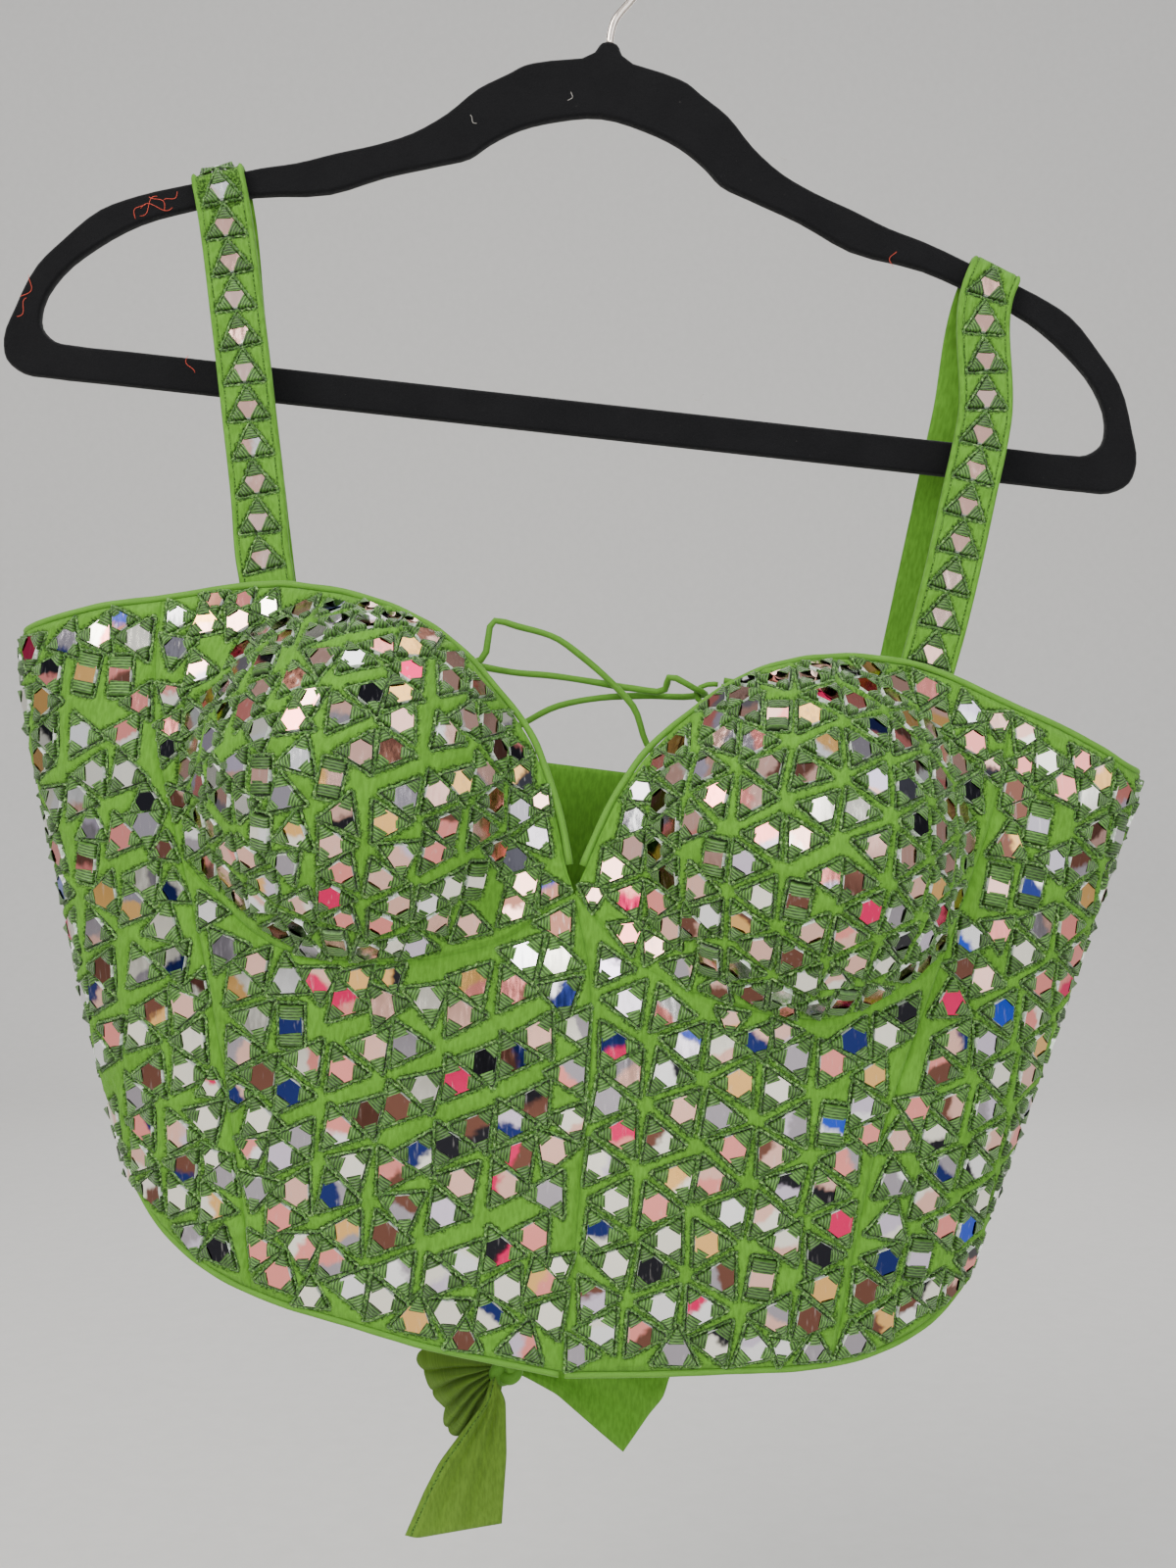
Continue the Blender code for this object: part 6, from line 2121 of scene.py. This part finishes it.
def make_tail(node, table, picks, folds, columns, rows, material):
    """A tie tail with its edges turned in and stitched, and its folds from the knot outwards."""
    depth = TAIL_DEPTHS[node]
    lines = [even([table[k] for k in line], 1.0, 3) for line in picks]
    seen = patch(*lines, columns, rows)
    along_rows = node == "tie_tail_long"
    share = np.linspace(0, 1, columns if along_rows else rows)
    out = np.linspace(1, 0, rows) if along_rows else np.linspace(0, 1, columns)
    across, away = (share[None, :], out[:, None]) if along_rows else (share[:, None], out[None, :])
    fold = sum(h * hump(across, a + (b - a) * away, w) for a, b, h, w in folds)
    level = depth - fold * smoothstep(away, 0.0, TAIL_FOLD_FADE) * TAIL_FOLD_SHARE
    flat = behind_all(seen, np.full(seen.shape[:2], depth))
    edge = border_distances(flat)
    rise, *ends = TAIL_TURNED
    sunk, *stitch = TAIL_STITCH
    round_edge = smoothstep(edge, 0.0, 0.7)
    hem_rise = (rise * smoothstep(edge, *ends) - sunk * hump(edge, *stitch)) * round_edge
    bow = TAIL_BOW[0] * ripples(flat, 3, TAIL_BOW[1])
    half = TAIL_WALL / 2 * (TAIL_EDGE_THIN + (1 - TAIL_EDGE_THIN) * round_edge)
    front = behind_all(seen, level - half - hem_rise + bow)
    back = behind_all(seen, level + half + 0.5 * hem_rise + bow)
    near = stitched_line(np.linalg.norm(flat - flat[:, :1], axis=2), *TAIL_THREAD)
    obj = shell(f"{node}_cloth", front, back, flat[..., ::2], material, node, near)
    return obj, grid_area(flat) * MM * MM, (max(length_of(line) for line in lines) + TAIL_TIED) * MM


def grid_area(points):
    one = points[1:, 1:] - points[:-1, :-1]
    two = points[1:, :-1] - points[:-1, 1:]
    return float(np.linalg.norm(np.cross(one, two), axis=-1).sum() / 2)


def cut_sizes(points, width, length):
    """The flat cut of a piece in metres and its area in square metres."""
    area = grid_area(points)
    return (width * MM, max(length, area / width) * MM), area * MM * MM


# Plain pieces


BACK_PITCH = 2.3
PUCKER = 1.1
PUCKER_HALF_HEIGHT = 4.5
PUCKER_REACH = 30.0
CREASE_LEAN = 0.12
BACK_RIPPLE = (0.3, 34.0)  # height, length
BACK_EDGE_RISE = (0.5, 6.0)
BACK_EDGE_SUNK = (0.45, 1.6, 0.2)
BACK_STITCH = (0.3, 5.0, 0.45)  # depth, place from the edge, half width
BACK_LINING = 0.9
LINING_GAP = 0.5
MODESTY_GRID = (44, 84)
MODESTY_RIPPLE = (0.5, 26.0)
MODESTY_STITCH = (0.3, 4.5, 0.45)
CREASES_BACK = (
    # share across from the laced edge, share up, half lengths in mm across and up, height
    (0.55, 0.80, 45.0, 6.0, -0.9), (0.62, 0.72, 38.0, 5.0, 0.7), (0.70, 0.35, 52.0, 7.0, -0.8),
    (0.40, 0.22, 44.0, 6.0, 0.6), (0.80, 0.55, 30.0, 6.0, 0.7),
)


def make_back(side, word):
    """A plain back panel, drawn into small puckers at each lacing loop."""
    given = back_hem(side), back_top(side)[::-1], back_edge(side)[::-1], side_seam(side)[::-1]
    lines = [even(line) for line in given]
    real = [length_of(places_on(WALL_GRID, line[:, 0], line[:, 1])) for line in lines]
    columns, rows = int(max(real[:2]) / BACK_PITCH), int(max(real[2:]) / BACK_PITCH)
    outside = patch(*lines, columns, rows)
    runs, heights = outside[..., 0], outside[..., 1]
    points = places_on(WALL_GRID, runs, heights)
    from_lacing = np.linalg.norm(points - points[:, :1], axis=2)
    height = BACK_RIPPLE[0] * ripples(points, 60 + side, BACK_RIPPLE[1])
    fade = np.exp(-from_lacing / PUCKER_REACH)
    for level in loop_heights():
        height = height - PUCKER * hump(heights, level, PUCKER_HALF_HEIGHT) * fade
    for across, up, half_across, half_up, rise in CREASES_BACK:
        x = (np.linspace(0, 1, columns)[None, :] - across) * real[0]
        y = (np.linspace(0, 1, rows)[:, None] - up) * real[2] + CREASE_LEAN * x
        height = height + rise * hump(x, 0, half_across) * hump(y, 0, half_up)
    edge = border_distances(points)
    sunk, *ends = BACK_EDGE_SUNK
    stitch, *line = BACK_STITCH
    height = height * smoothstep(edge, *BACK_EDGE_RISE) - sunk * smoothstep(edge, *ends)
    height = height - stitch * hump(edge, *line)
    normals = normals_on(WALL_GRID, runs, heights)
    outer = points + normals * height[..., None]
    inner = points + normals * (height * BACK_LINING - WALL + LINING_GAP)[..., None]
    name, node = f"back_cloth_{word}", f"back_{word}"
    obj = shell(name, outer, inner, outside, "cloth", node, bare(outer))
    flat, area = cut_sizes(points, max(real[:2]), max(real[2:]))


def make_modesty():
    """The plain panel behind the lacing."""
    columns, rows = MODESTY_GRID
    shares = np.linspace(-1, 1, columns)
    levels = np.linspace(BACK_HEM, MODESTY_TOP, rows)
    runs = np.empty((rows, columns))
    for j, level in enumerate(levels):
        half = section_sizes(level)[0]
        reach = column(BACK_EDGE, level) + MODESTY_OVERLAP
        for i, share in enumerate(shares):
            turn = 180 + math.degrees(math.asin(power(share * reach / half, SQUARENESS / 2)))
            runs[j, i] = run_at(turn, level)
    heights = levels[:, None] + np.zeros((rows, columns))
    tuck = smoothstep(np.abs(shares), *MODESTY_TUCK)[None, :]
    deep = MODESTY_DEPTH + (WALL + MODESTY_CLEAR - MODESTY_DEPTH) * tuck
    points = places_on(BARE_GRID, runs, heights)
    stitch, *line = MODESTY_STITCH
    soft = MODESTY_RIPPLE[0] * ripples(points, 71, MODESTY_RIPPLE[1]) * (1 - tuck)
    deep = deep - (soft - stitch * hump(border_distances(points), *line))
    normals = normals_on(BARE_GRID, runs, heights)
    outer = points - normals * deep[..., None]
    inner = points - normals * (deep + MODESTY_WALL)[..., None]
    flat = np.stack([shares[None, :] * MODESTY_REFERENCE + 0 * heights, heights], -1)
    obj = shell("modesty_panel_cloth", outer, inner, flat, "cloth", "modesty_panel", bare(outer))
    flat, area = cut_sizes(outer, length_of(outer[0]), length_of(outer[:, 0]))


# Straps


STRAP_STEP = 1.05
STRAP_COLUMNS = 47
FOLD_UNIT_AWAY = 13.6
STRAP_SOFTEN = 30
STRAP_FRONT_END = (4.0, -2.0)
STRAP_PLAIN = (-0.4, 0.2, 14.0)  # level, height and length of its ripples
STRAP_RIM = (0.95, 0.85)  # height, and half the width of the rolled edge
STRAP_STITCH = (0.3, 2.3, 0.3)  # depth, place from the edge, half width
STRAP_THREAD = (2.3, 0.6)
STRAP_THREAD_END = 12.0
STRAP_LINING_ROWS = 3
STRAP_LINING_COLUMNS = 16


def strap_rows(side):
    """Centres, directions across and outward directions of a strap, at even steps along it."""
    frames = strap_frames(side)
    along = strap_lengths(frames)
    given = [row[0] for row in frames]
    ends = [given[0] * 2 - given[1], *given, given[-1] * 2 - given[-2]]
    stations = np.linspace(0, along[-1], int(along[-1] / STRAP_STEP))
    centres, across = [], []
    for v in stations:
        k = min(max(int(np.searchsorted(along, v)) - 1, 0), len(along) - 2)
        share = (v - along[k]) / (along[k + 1] - along[k])
        centres.append(on_curve(*ends[k : k + 4], share))
        across.append(frames[k][1].lerp(frames[k + 1][1], share))
    centres, across = np.array(centres), np.array(across)
    for _ in range(STRAP_SOFTEN):
        across[1:-1] = (across[:-2] + 2 * across[1:-1] + across[2:]) / 4
    ahead = unit_vectors(np.gradient(centres, axis=0))
    across = unit_vectors(across - ahead * (across * ahead).sum(1, keepdims=True))
    return stations, centres, across, np.cross(across, ahead), strap_fold(along)


def make_strap(side, word, cloth, mirrors):
    """A strap over the hanger's arm: mirror work in front, plain behind, with rolled edges."""
    stations, centres, across, out, fold = strap_rows(side)

    def at(rows, v):
        return np.array([np.interp(v, stations, rows[:, k]) for k in range(3)])

    def place(u, v):
        return Vector(at(centres, v) + at(across, v) * u + at(out, v) * STRAP_WALL / 2)

    dice = random.Random(STRAP_SEED + side)
    units = []
    for k in range(STRAP_UNITS + 1):
        v = fold - STRAP_FIRST_UNIT - k * STRAP_PITCH
        turn = math.pi / 2 + dice.uniform(-STRAP_UNIT_TURN, STRAP_UNIT_TURN)
        shift = dice.uniform(-STRAP_UNIT_SHIFT, STRAP_UNIT_SHIFT)
        units.append((shift, v, turn, "triangle", STRAP_TRIANGLE_SIDE))
    if side < 0:
        v = fold - STRAP_FIRST_UNIT + FOLD_UNIT_AWAY
        units.append((0.0, v, math.pi / 2, "triangle", STRAP_TRIANGLE_SIDE))
    frames = unit_frames(place, units)
    half = STRAP_WIDTH / 2
    u = np.linspace(-half, half, STRAP_COLUMNS)[None, :]
    v = stations[:, None]
    base = centres[:, None] + across[:, None] * u[..., None] + out[:, None] * STRAP_WALL / 2
    flat = np.stack([u + 0 * v, v + 0 * u], -1)
    from_edge = half - np.abs(u)
    worked, near = worked_height(base, from_edge + 0 * v, frames, cloth, 17 + side)
    front = smoothstep(v, *(fold + end for end in STRAP_FRONT_END))
    level, wave, length = STRAP_PLAIN
    plain = level + wave * ripples(base, 23 + side, length)
    rise, round_half = STRAP_RIM
    rim = rise * np.sqrt(np.clip(1 - ((from_edge - round_half) / round_half) ** 2, 0, 1))
    stitch, *line = STRAP_STITCH
    height = worked * front + plain * (1 - front) + rim - stitch * hump(from_edge, *line)
    outer = base + out[:, None] * height[..., None]
    some = np.linspace(0, len(v) - 1, len(v) // STRAP_LINING_ROWS).astype(int)
    few = np.linspace(0, STRAP_COLUMNS - 1, STRAP_LINING_COLUMNS).astype(int)
    inner = (base - out[:, None] * STRAP_WALL)[some][:, few]
    near = np.where(v > fold + STRAP_THREAD_END, FAR_THREAD, near)
    near = np.minimum(near, stitched_line(from_edge, *STRAP_THREAD)), bare(inner)
    data = sheets_mesh(f"strap_cloth_{word}", (outer, inner), (flat, flat[some][:, few]), near)
    obj = piece(data, "worked", "mirror_work_cloth", f"strap_{word}")
    on_it = make_mirrors(f"strap_mirrors_{word}", frames, mirrors, 83 + side, "strap")
    length = float(stations[-1])


# Rolled edges


PIPING_STEP = 3.0
PIPING_SIDES, LOOP_SIDES = 12, 10
PIPING_UNEVEN = ((0.03, 1.3, 0.0), (0.025, 0.41, 2.0))


def make_piping(node, points, radius=PIPING_RADIUS, sides=PIPING_SIDES):
    path = np.array(stepped_path(points, PIPING_STEP))
    for _ in range(2):
        path[1:-1] = (path[:-2] + 2 * path[1:-1] + path[2:]) / 4
    radius = radius * uneven(len(path), PIPING_UNEVEN)
    piece(tube_mesh(f"{node}_rolled", path, radius, sides), "rolled", "piping_cloth", node)


# Hanger


HANGER_ROUND = 1.3
HANGER_FACE_IN = 0.4
HANGER_EDGE_TURNS = 9
HOOK_STEP = 1.6
HOOK_SIDES = 20
HOOK_TIP = (0.35, 0.65, 0.88)  # of the wire's radius past its end
LINT_POINTS = 14
LINT_OUT = 0.12
LINT_RADIUS = 0.10
LINT_BEND = 0.2
LINT_WAVES = 5
LINT = (
    # x and z as seen in the hanger's plane, length, turn in degrees, red or pale
    (-184.0, -128.5, 10.0, 35.0, True),
    (-180.0, -127.0, 8.0, -50.0, True),
    (-188.0, -130.0, 7.0, 60.0, True),
    (-181.0, -129.0, 12.0, 15.0, True),
    (-175.0, -125.0, 6.0, 40.0, True),
    (-231.0, -160.0, 9.0, 65.0, True),
    (-233.0, -168.0, 8.0, 50.0, True),
    (-168.0, -190.0, 7.0, 100.0, True),
    (105.0, -149.0, 6.0, 80.0, True),
    (62.0, -110.0, 4.0, 15.0, False),
    (-58.0, -95.0, 4.0, -40.0, False),
    (-20.0, -86.0, 3.5, 70.0, False),
    (30.0, -203.0, 4.0, 20.0, False),
    (140.0, -171.0, 3.5, 60.0, False),
)


def make_hanger_body():
    """The flocked frame with round edges."""
    outside = closed_outline(rounded([*ARM_TOP, *((-x, z) for x, z in ARM_TOP[::-1])], 3))
    hole = closed_outline(rounded([*ARM_INSIDE[1:], *((-x, z) for x, z in ARM_INSIDE[::-1])], 3))
    half = HANGER_THICKNESS / 2
    turns = np.linspace(-math.pi / 2, math.pi / 2, HANGER_EDGE_TURNS)
    rows = [(half * math.sin(a), HANGER_ROUND * (1 - math.cos(a))) for a in turns]
    rows = [(-half, HANGER_ROUND + HANGER_FACE_IN), *rows, (half, HANGER_ROUND + HANGER_FACE_IN)]
    mesh = bmesh.new()
    rings = []
    for depth, away in rows:
        outer, inner = inset(outside, away), inset(hole, -away)
        rings.append([[mesh.verts.new(on_hanger(*p, depth) * MM) for p in line] for line in (outer, inner)])
        if abs(away - rows[0][1]) < 1e-9:
            coords, faces = triangles_between([outer, inner], [])
            points = rings[-1][0] + rings[-1][1]
            for face in faces:
                middle = [sum(coords[k][n] for k in face) / 3 for n in (0, 1)]
                if not is_inside(middle, inner):
                    mesh.faces.new([points[k] for k in face])
    for one, two in zip(rings, rings[1:]):
        for line, following in zip(one, two):
            for k in range(len(line)):
                n = (k + 1) % len(line)
                mesh.faces.new((line[k], line[n], following[n], following[k]))
    bmesh.ops.recalc_face_normals(mesh, faces=mesh.faces)
    piece(finished_mesh("hanger_body_flocked", mesh), "flock", "black_flocking", "hanger_body")


def make_hook():
    """The bent wire with its round end."""
    path = stepped_path(hook_path(0.0), HOOK_STEP)
    last = (path[-1] - path[-2]).normalized()
    tip = [path[-1] + last * HOOK_WIRE * s for s in HOOK_TIP]
    radii = [HOOK_WIRE] * len(path) + [HOOK_WIRE * math.sqrt(1 - s * s) for s in HOOK_TIP]
    data = tube_mesh("hanger_hook_wire", [*path, *tip], np.array(radii), HOOK_SIDES)
    piece(data, "wire", "polished_wire", "hanger_hook")


def make_lint():
    """A few threads of lint that cling to the flocking."""
    for red in (True, False):
        mesh = bmesh.new()
        for k, (x, z, length, turn, is_red) in enumerate(LINT):
            if is_red != red:
                continue
            t = np.linspace(-0.5, 0.5, LINT_POINTS) * length
            bend = LINT_BEND * length * np.sin(t / length * LINT_WAVES + k)
            right, up = turned(t, bend, math.radians(turn))
            deep = np.full(LINT_POINTS, -HANGER_THICKNESS / 2 - LINT_OUT)
            data = tube_mesh("lint", np.stack([x + right, deep, z + up], 1), LINT_RADIUS, 5)
            mesh.from_mesh(data)
            bpy.data.meshes.remove(data)
        name = "red_lint" if red else "pale_lint"
        piece(finished_mesh(name, mesh), name, "black_flocking")


# Operators


SENSOR_WIDTH = 36.0
CLIP_START = 0.02
LIGHT_AIM = Vector((0.0, 0.0, -0.36))
LIGHTS = (
    # name, place, size, share of the key light, colour
    ("key_light", (-1.25, -1.1, 0.8), 1.1, 1.35, (1.0, 0.97, 0.93)),
    ("fill_light", (1.2, -1.0, 0.0), 1.4, 0.35, (0.95, 0.97, 1.0)),
    ("front_light", (0.1, -1.5, -0.15), 0.9, 0.5, (1.0, 0.99, 0.97)),
    ("top_light", (0.1, -0.1, 1.15), 1.2, 0.45, (1.0, 1.0, 1.0)),
    ("back_light", (0.2, 1.5, 0.5), 1.2, 0.5, (1.0, 0.98, 0.96)),
)
ROOM_COLOUR = (0.96, 0.97, 1.0, 1.0)
ROOM_RAMP = {"From Min": 0.2, "From Max": -0.8, "To Min": 0.5, "To Max": 1.5}
FLOOR = -0.74
PAPER_NEAR, PAPER_FAR, PAPER_ROUND, PAPER_TOP = -3.4, 1.5, 0.7, 2.6
PAPER_HALF_WIDTH = 3.2
TAIL_GATHER = 1.25


class BLOUSE_OT_stage(bpy.types.Operator):
    """Make the camera, the soft lights and the pale backdrop"""

    bl_idname = "blouse.stage"
    bl_label = "Camera, light and backdrop"

    def execute(self, context):
        settings = context.scene.blouse_stage
        camera = bpy.data.objects.new("front_camera", bpy.data.cameras.new("front_camera"))
        camera.data.lens = settings.lens
        camera.data.sensor_width = SENSOR_WIDTH
        camera.data.clip_start = CLIP_START
        camera.location = EYE * MM
        camera.rotation_euler = (math.pi / 2, 0, 0)
        context.scene.collection.objects.link(camera)
        context.scene.camera = camera
        for name, place, size, share, colour in LIGHTS:
            data = bpy.data.lights.new(name, "AREA")
            data.shape = "DISK"
            data.size = size
            data.energy = settings.key * share
            data.color = colour
            lamp = bpy.data.objects.new(name, data)
            lamp.location = place
            lamp.rotation_euler = (LIGHT_AIM - Vector(place)).to_track_quat("-Z", "Y").to_euler()
            context.scene.collection.objects.link(lamp)
        world = bpy.data.worlds.new("pale_room")
        world.use_nodes = True
        background = world.node_tree.nodes["Background"]
        background.inputs["Color"].default_value = ROOM_COLOUR
        nodes, links = world.node_tree.nodes, world.node_tree.links
        parts = nodes.new("ShaderNodeSeparateXYZ")
        links.new(nodes.new("ShaderNodeTexCoord").outputs["Generated"], parts.inputs[0])
        front = nodes.new("ShaderNodeMapRange")
        for key, value in ROOM_RAMP.items():
            front.inputs[key].default_value = value * (settings.fill if key.startswith("To") else 1)
        links.new(parts.outputs["Y"], front.inputs["Value"])
        links.new(front.outputs["Result"], background.inputs["Strength"])
        context.scene.world = world
        profile = [(PAPER_NEAR, FLOOR), (PAPER_FAR, FLOOR)]
        for a in np.linspace(0.1, math.pi / 2, 16):
            along, up = PAPER_ROUND * math.sin(a), PAPER_ROUND * (1 - math.cos(a))
            profile.append((PAPER_FAR + along, FLOOR + up))
        profile.append((PAPER_FAR + PAPER_ROUND, PAPER_TOP))
        mesh = bmesh.new()
        bmesh.ops.create_grid(mesh, x_segments=1, y_segments=len(profile) - 1, size=PAPER_HALF_WIDTH)
        for k, vert in enumerate(mesh.verts):
            vert.co.y, vert.co.z = profile[k // 2]
        data = finished_mesh("backdrop", mesh)
        put("backdrop", data, paper_material("pale_paper"))
        return {"FINISHED"}


class BLOUSE_OT_finishes(bpy.types.Operator):
    """Make the finishes of cloth, thread, mirrors, flocking and wire"""

    bl_idname = "blouse.finishes"
    bl_label = "Finishes"

    def execute(self, context):
        make_materials(context.scene.blouse_cloth, context.scene.blouse_mirrors)
        return {"FINISHED"}


class BLOUSE_OT_lacing(bpy.types.Operator):
    """Lace the back and tie the knot, the rosette and both tails"""

    bl_idname = "blouse.lacing"
    bl_label = "Lacing and tie"

    def execute(self, context):
        cords = [make_cord(*pair) for pair in zip(("lace_a", "lace_b"), lace_routes())]
        knot = make_knot()
        rosette, area = make_rosette()
        reach = ROSETTE_RINGS[-1][0] * MM
        area / reach
        for args in (
            # The long tail takes the deep cloth, painted darker as painted shade
            ("tie_tail_long", TAIL_LONG, LONG_LINES, LONG_FOLDS, 60, 64, "deep"),
            ("tie_tail_wide", TAIL_WIDE, WIDE_LINES, WIDE_FOLDS, 64, 44, "cloth"),
        ):
            tail, area, span = make_tail(*args)
            TAIL_GATHER * area / span
        for (cord, path), on_it in zip(cords, ([knot, rosette], [])):
            tuple(path[0])
            length_of(path)
            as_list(on_it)
        for side, word in SIDES:
            make_piping(f"lacing_loops_{word}", loops_path(side), LOOP_RADIUS, LOOP_SIDES)
        return {"FINISHED"}


class BLOUSE_OT_worked(bpy.types.Operator):
    """Make the cups, the front panels and the side panels with their mirror work"""

    bl_idname = "blouse.worked"
    bl_label = "Mirror-work panels"

    def execute(self, context):
        cloth, mirrors = context.scene.blouse_cloth, context.scene.blouse_mirrors
        for number, kind in enumerate(("cup", "front", "side")):
            for side, word in SIDES:
                panel, frames, lengths, points = make_panel(kind, side, word, cloth)
                seed = 100 + 10 * number + side
                on_it = make_mirrors(f"{kind}_mirrors_{word}", frames, mirrors, seed, kind)
                if kind == "cup":
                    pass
                else:
                    flat, area = cut_sizes(points, max(lengths[:2]), max(lengths[2:]))
        return {"FINISHED"}


class BLOUSE_OT_plain(bpy.types.Operator):
    """Make the back panels and the panel behind the lacing"""

    bl_idname = "blouse.plain"
    bl_label = "Plain panels"

    def execute(self, context):
        for side, word in SIDES:
            make_back(side, word)
        make_modesty()
        return {"FINISHED"}


class BLOUSE_OT_straps(bpy.types.Operator):
    """Make both straps over the hanger's arms"""

    bl_idname = "blouse.straps"
    bl_label = "Straps"

    def execute(self, context):
        for side, word in SIDES:
            make_strap(side, word, context.scene.blouse_cloth, context.scene.blouse_mirrors)
        return {"FINISHED"}


class BLOUSE_OT_piping(bpy.types.Operator):
    """Roll the piping round the neckline, the back and the hem"""

    bl_idname = "blouse.piping"
    bl_label = "Piping"

    def execute(self, context):
        for side, word in SIDES:
            line = neckline(side) + side_top(side)[1:]
            line = [p for p in line if p[1] > NECK_PIPING_FROM]
            make_piping(f"neck_piping_{word}", edge_path(line, -side))
            _, front_hem, side_hem, _ = front_lines(side)
            make_piping(f"hem_piping_front_{word}", edge_path(front_hem + side_hem[1:], side))
            make_piping(f"back_piping_top_{word}", edge_path(back_top(side), -side))
            make_piping(f"back_piping_hem_{word}", edge_path(back_hem(side), -side))
        return {"FINISHED"}


class BLOUSE_OT_hanger(bpy.types.Operator):
    """Make the flocked hanger, its hook and the lint on it"""

    bl_idname = "blouse.hanger"
    bl_label = "Hanger"

    def execute(self, context):
        make_hanger_body()
        make_hook()
        make_lint()
        return {"FINISHED"}


class BLOUSE_PT_panel(bpy.types.Panel):
    """Settings and pieces of the blouse"""

    bl_idname = "BLOUSE_PT_panel"
    bl_label = "Corset blouse"
    bl_space_type = "VIEW_3D"
    bl_region_type = "UI"
    bl_category = "Blouse"

    def draw(self, context):
        scene = context.scene
        for settings in (scene.blouse_stage, scene.blouse_cloth, scene.blouse_mirrors):
            box = self.layout.box()
            for key in settings.__annotations__:
                box.prop(settings, key)
        for operator in OPERATORS:
            self.layout.operator(operator.bl_idname)


OPERATORS = (
    BLOUSE_OT_stage,
    BLOUSE_OT_finishes,
    BLOUSE_OT_lacing,
    BLOUSE_OT_worked,
    BLOUSE_OT_plain,
    BLOUSE_OT_straps,
    BLOUSE_OT_piping,
    BLOUSE_OT_hanger,
)
SETTINGS = (BlouseClothSettings, BlouseMirrorSettings, BlouseStageSettings)


def register():
    for kind in (*SETTINGS, *OPERATORS, BLOUSE_PT_panel):
        bpy.utils.register_class(kind)
    bpy.types.Scene.blouse_cloth = bpy.props.PointerProperty(type=BlouseClothSettings)
    bpy.types.Scene.blouse_mirrors = bpy.props.PointerProperty(type=BlouseMirrorSettings)
    bpy.types.Scene.blouse_stage = bpy.props.PointerProperty(type=BlouseStageSettings)


def unregister():
    del bpy.types.Scene.blouse_stage
    del bpy.types.Scene.blouse_mirrors
    del bpy.types.Scene.blouse_cloth
    for kind in (BLOUSE_PT_panel, *OPERATORS[::-1], *SETTINGS[::-1]):
        bpy.utils.unregister_class(kind)


def main():
    register()
    for operator in OPERATORS:
        group, name = operator.bl_idname.split(".")
        getattr(getattr(bpy.ops, group), name)()


if __name__ == "__main__":
    main()
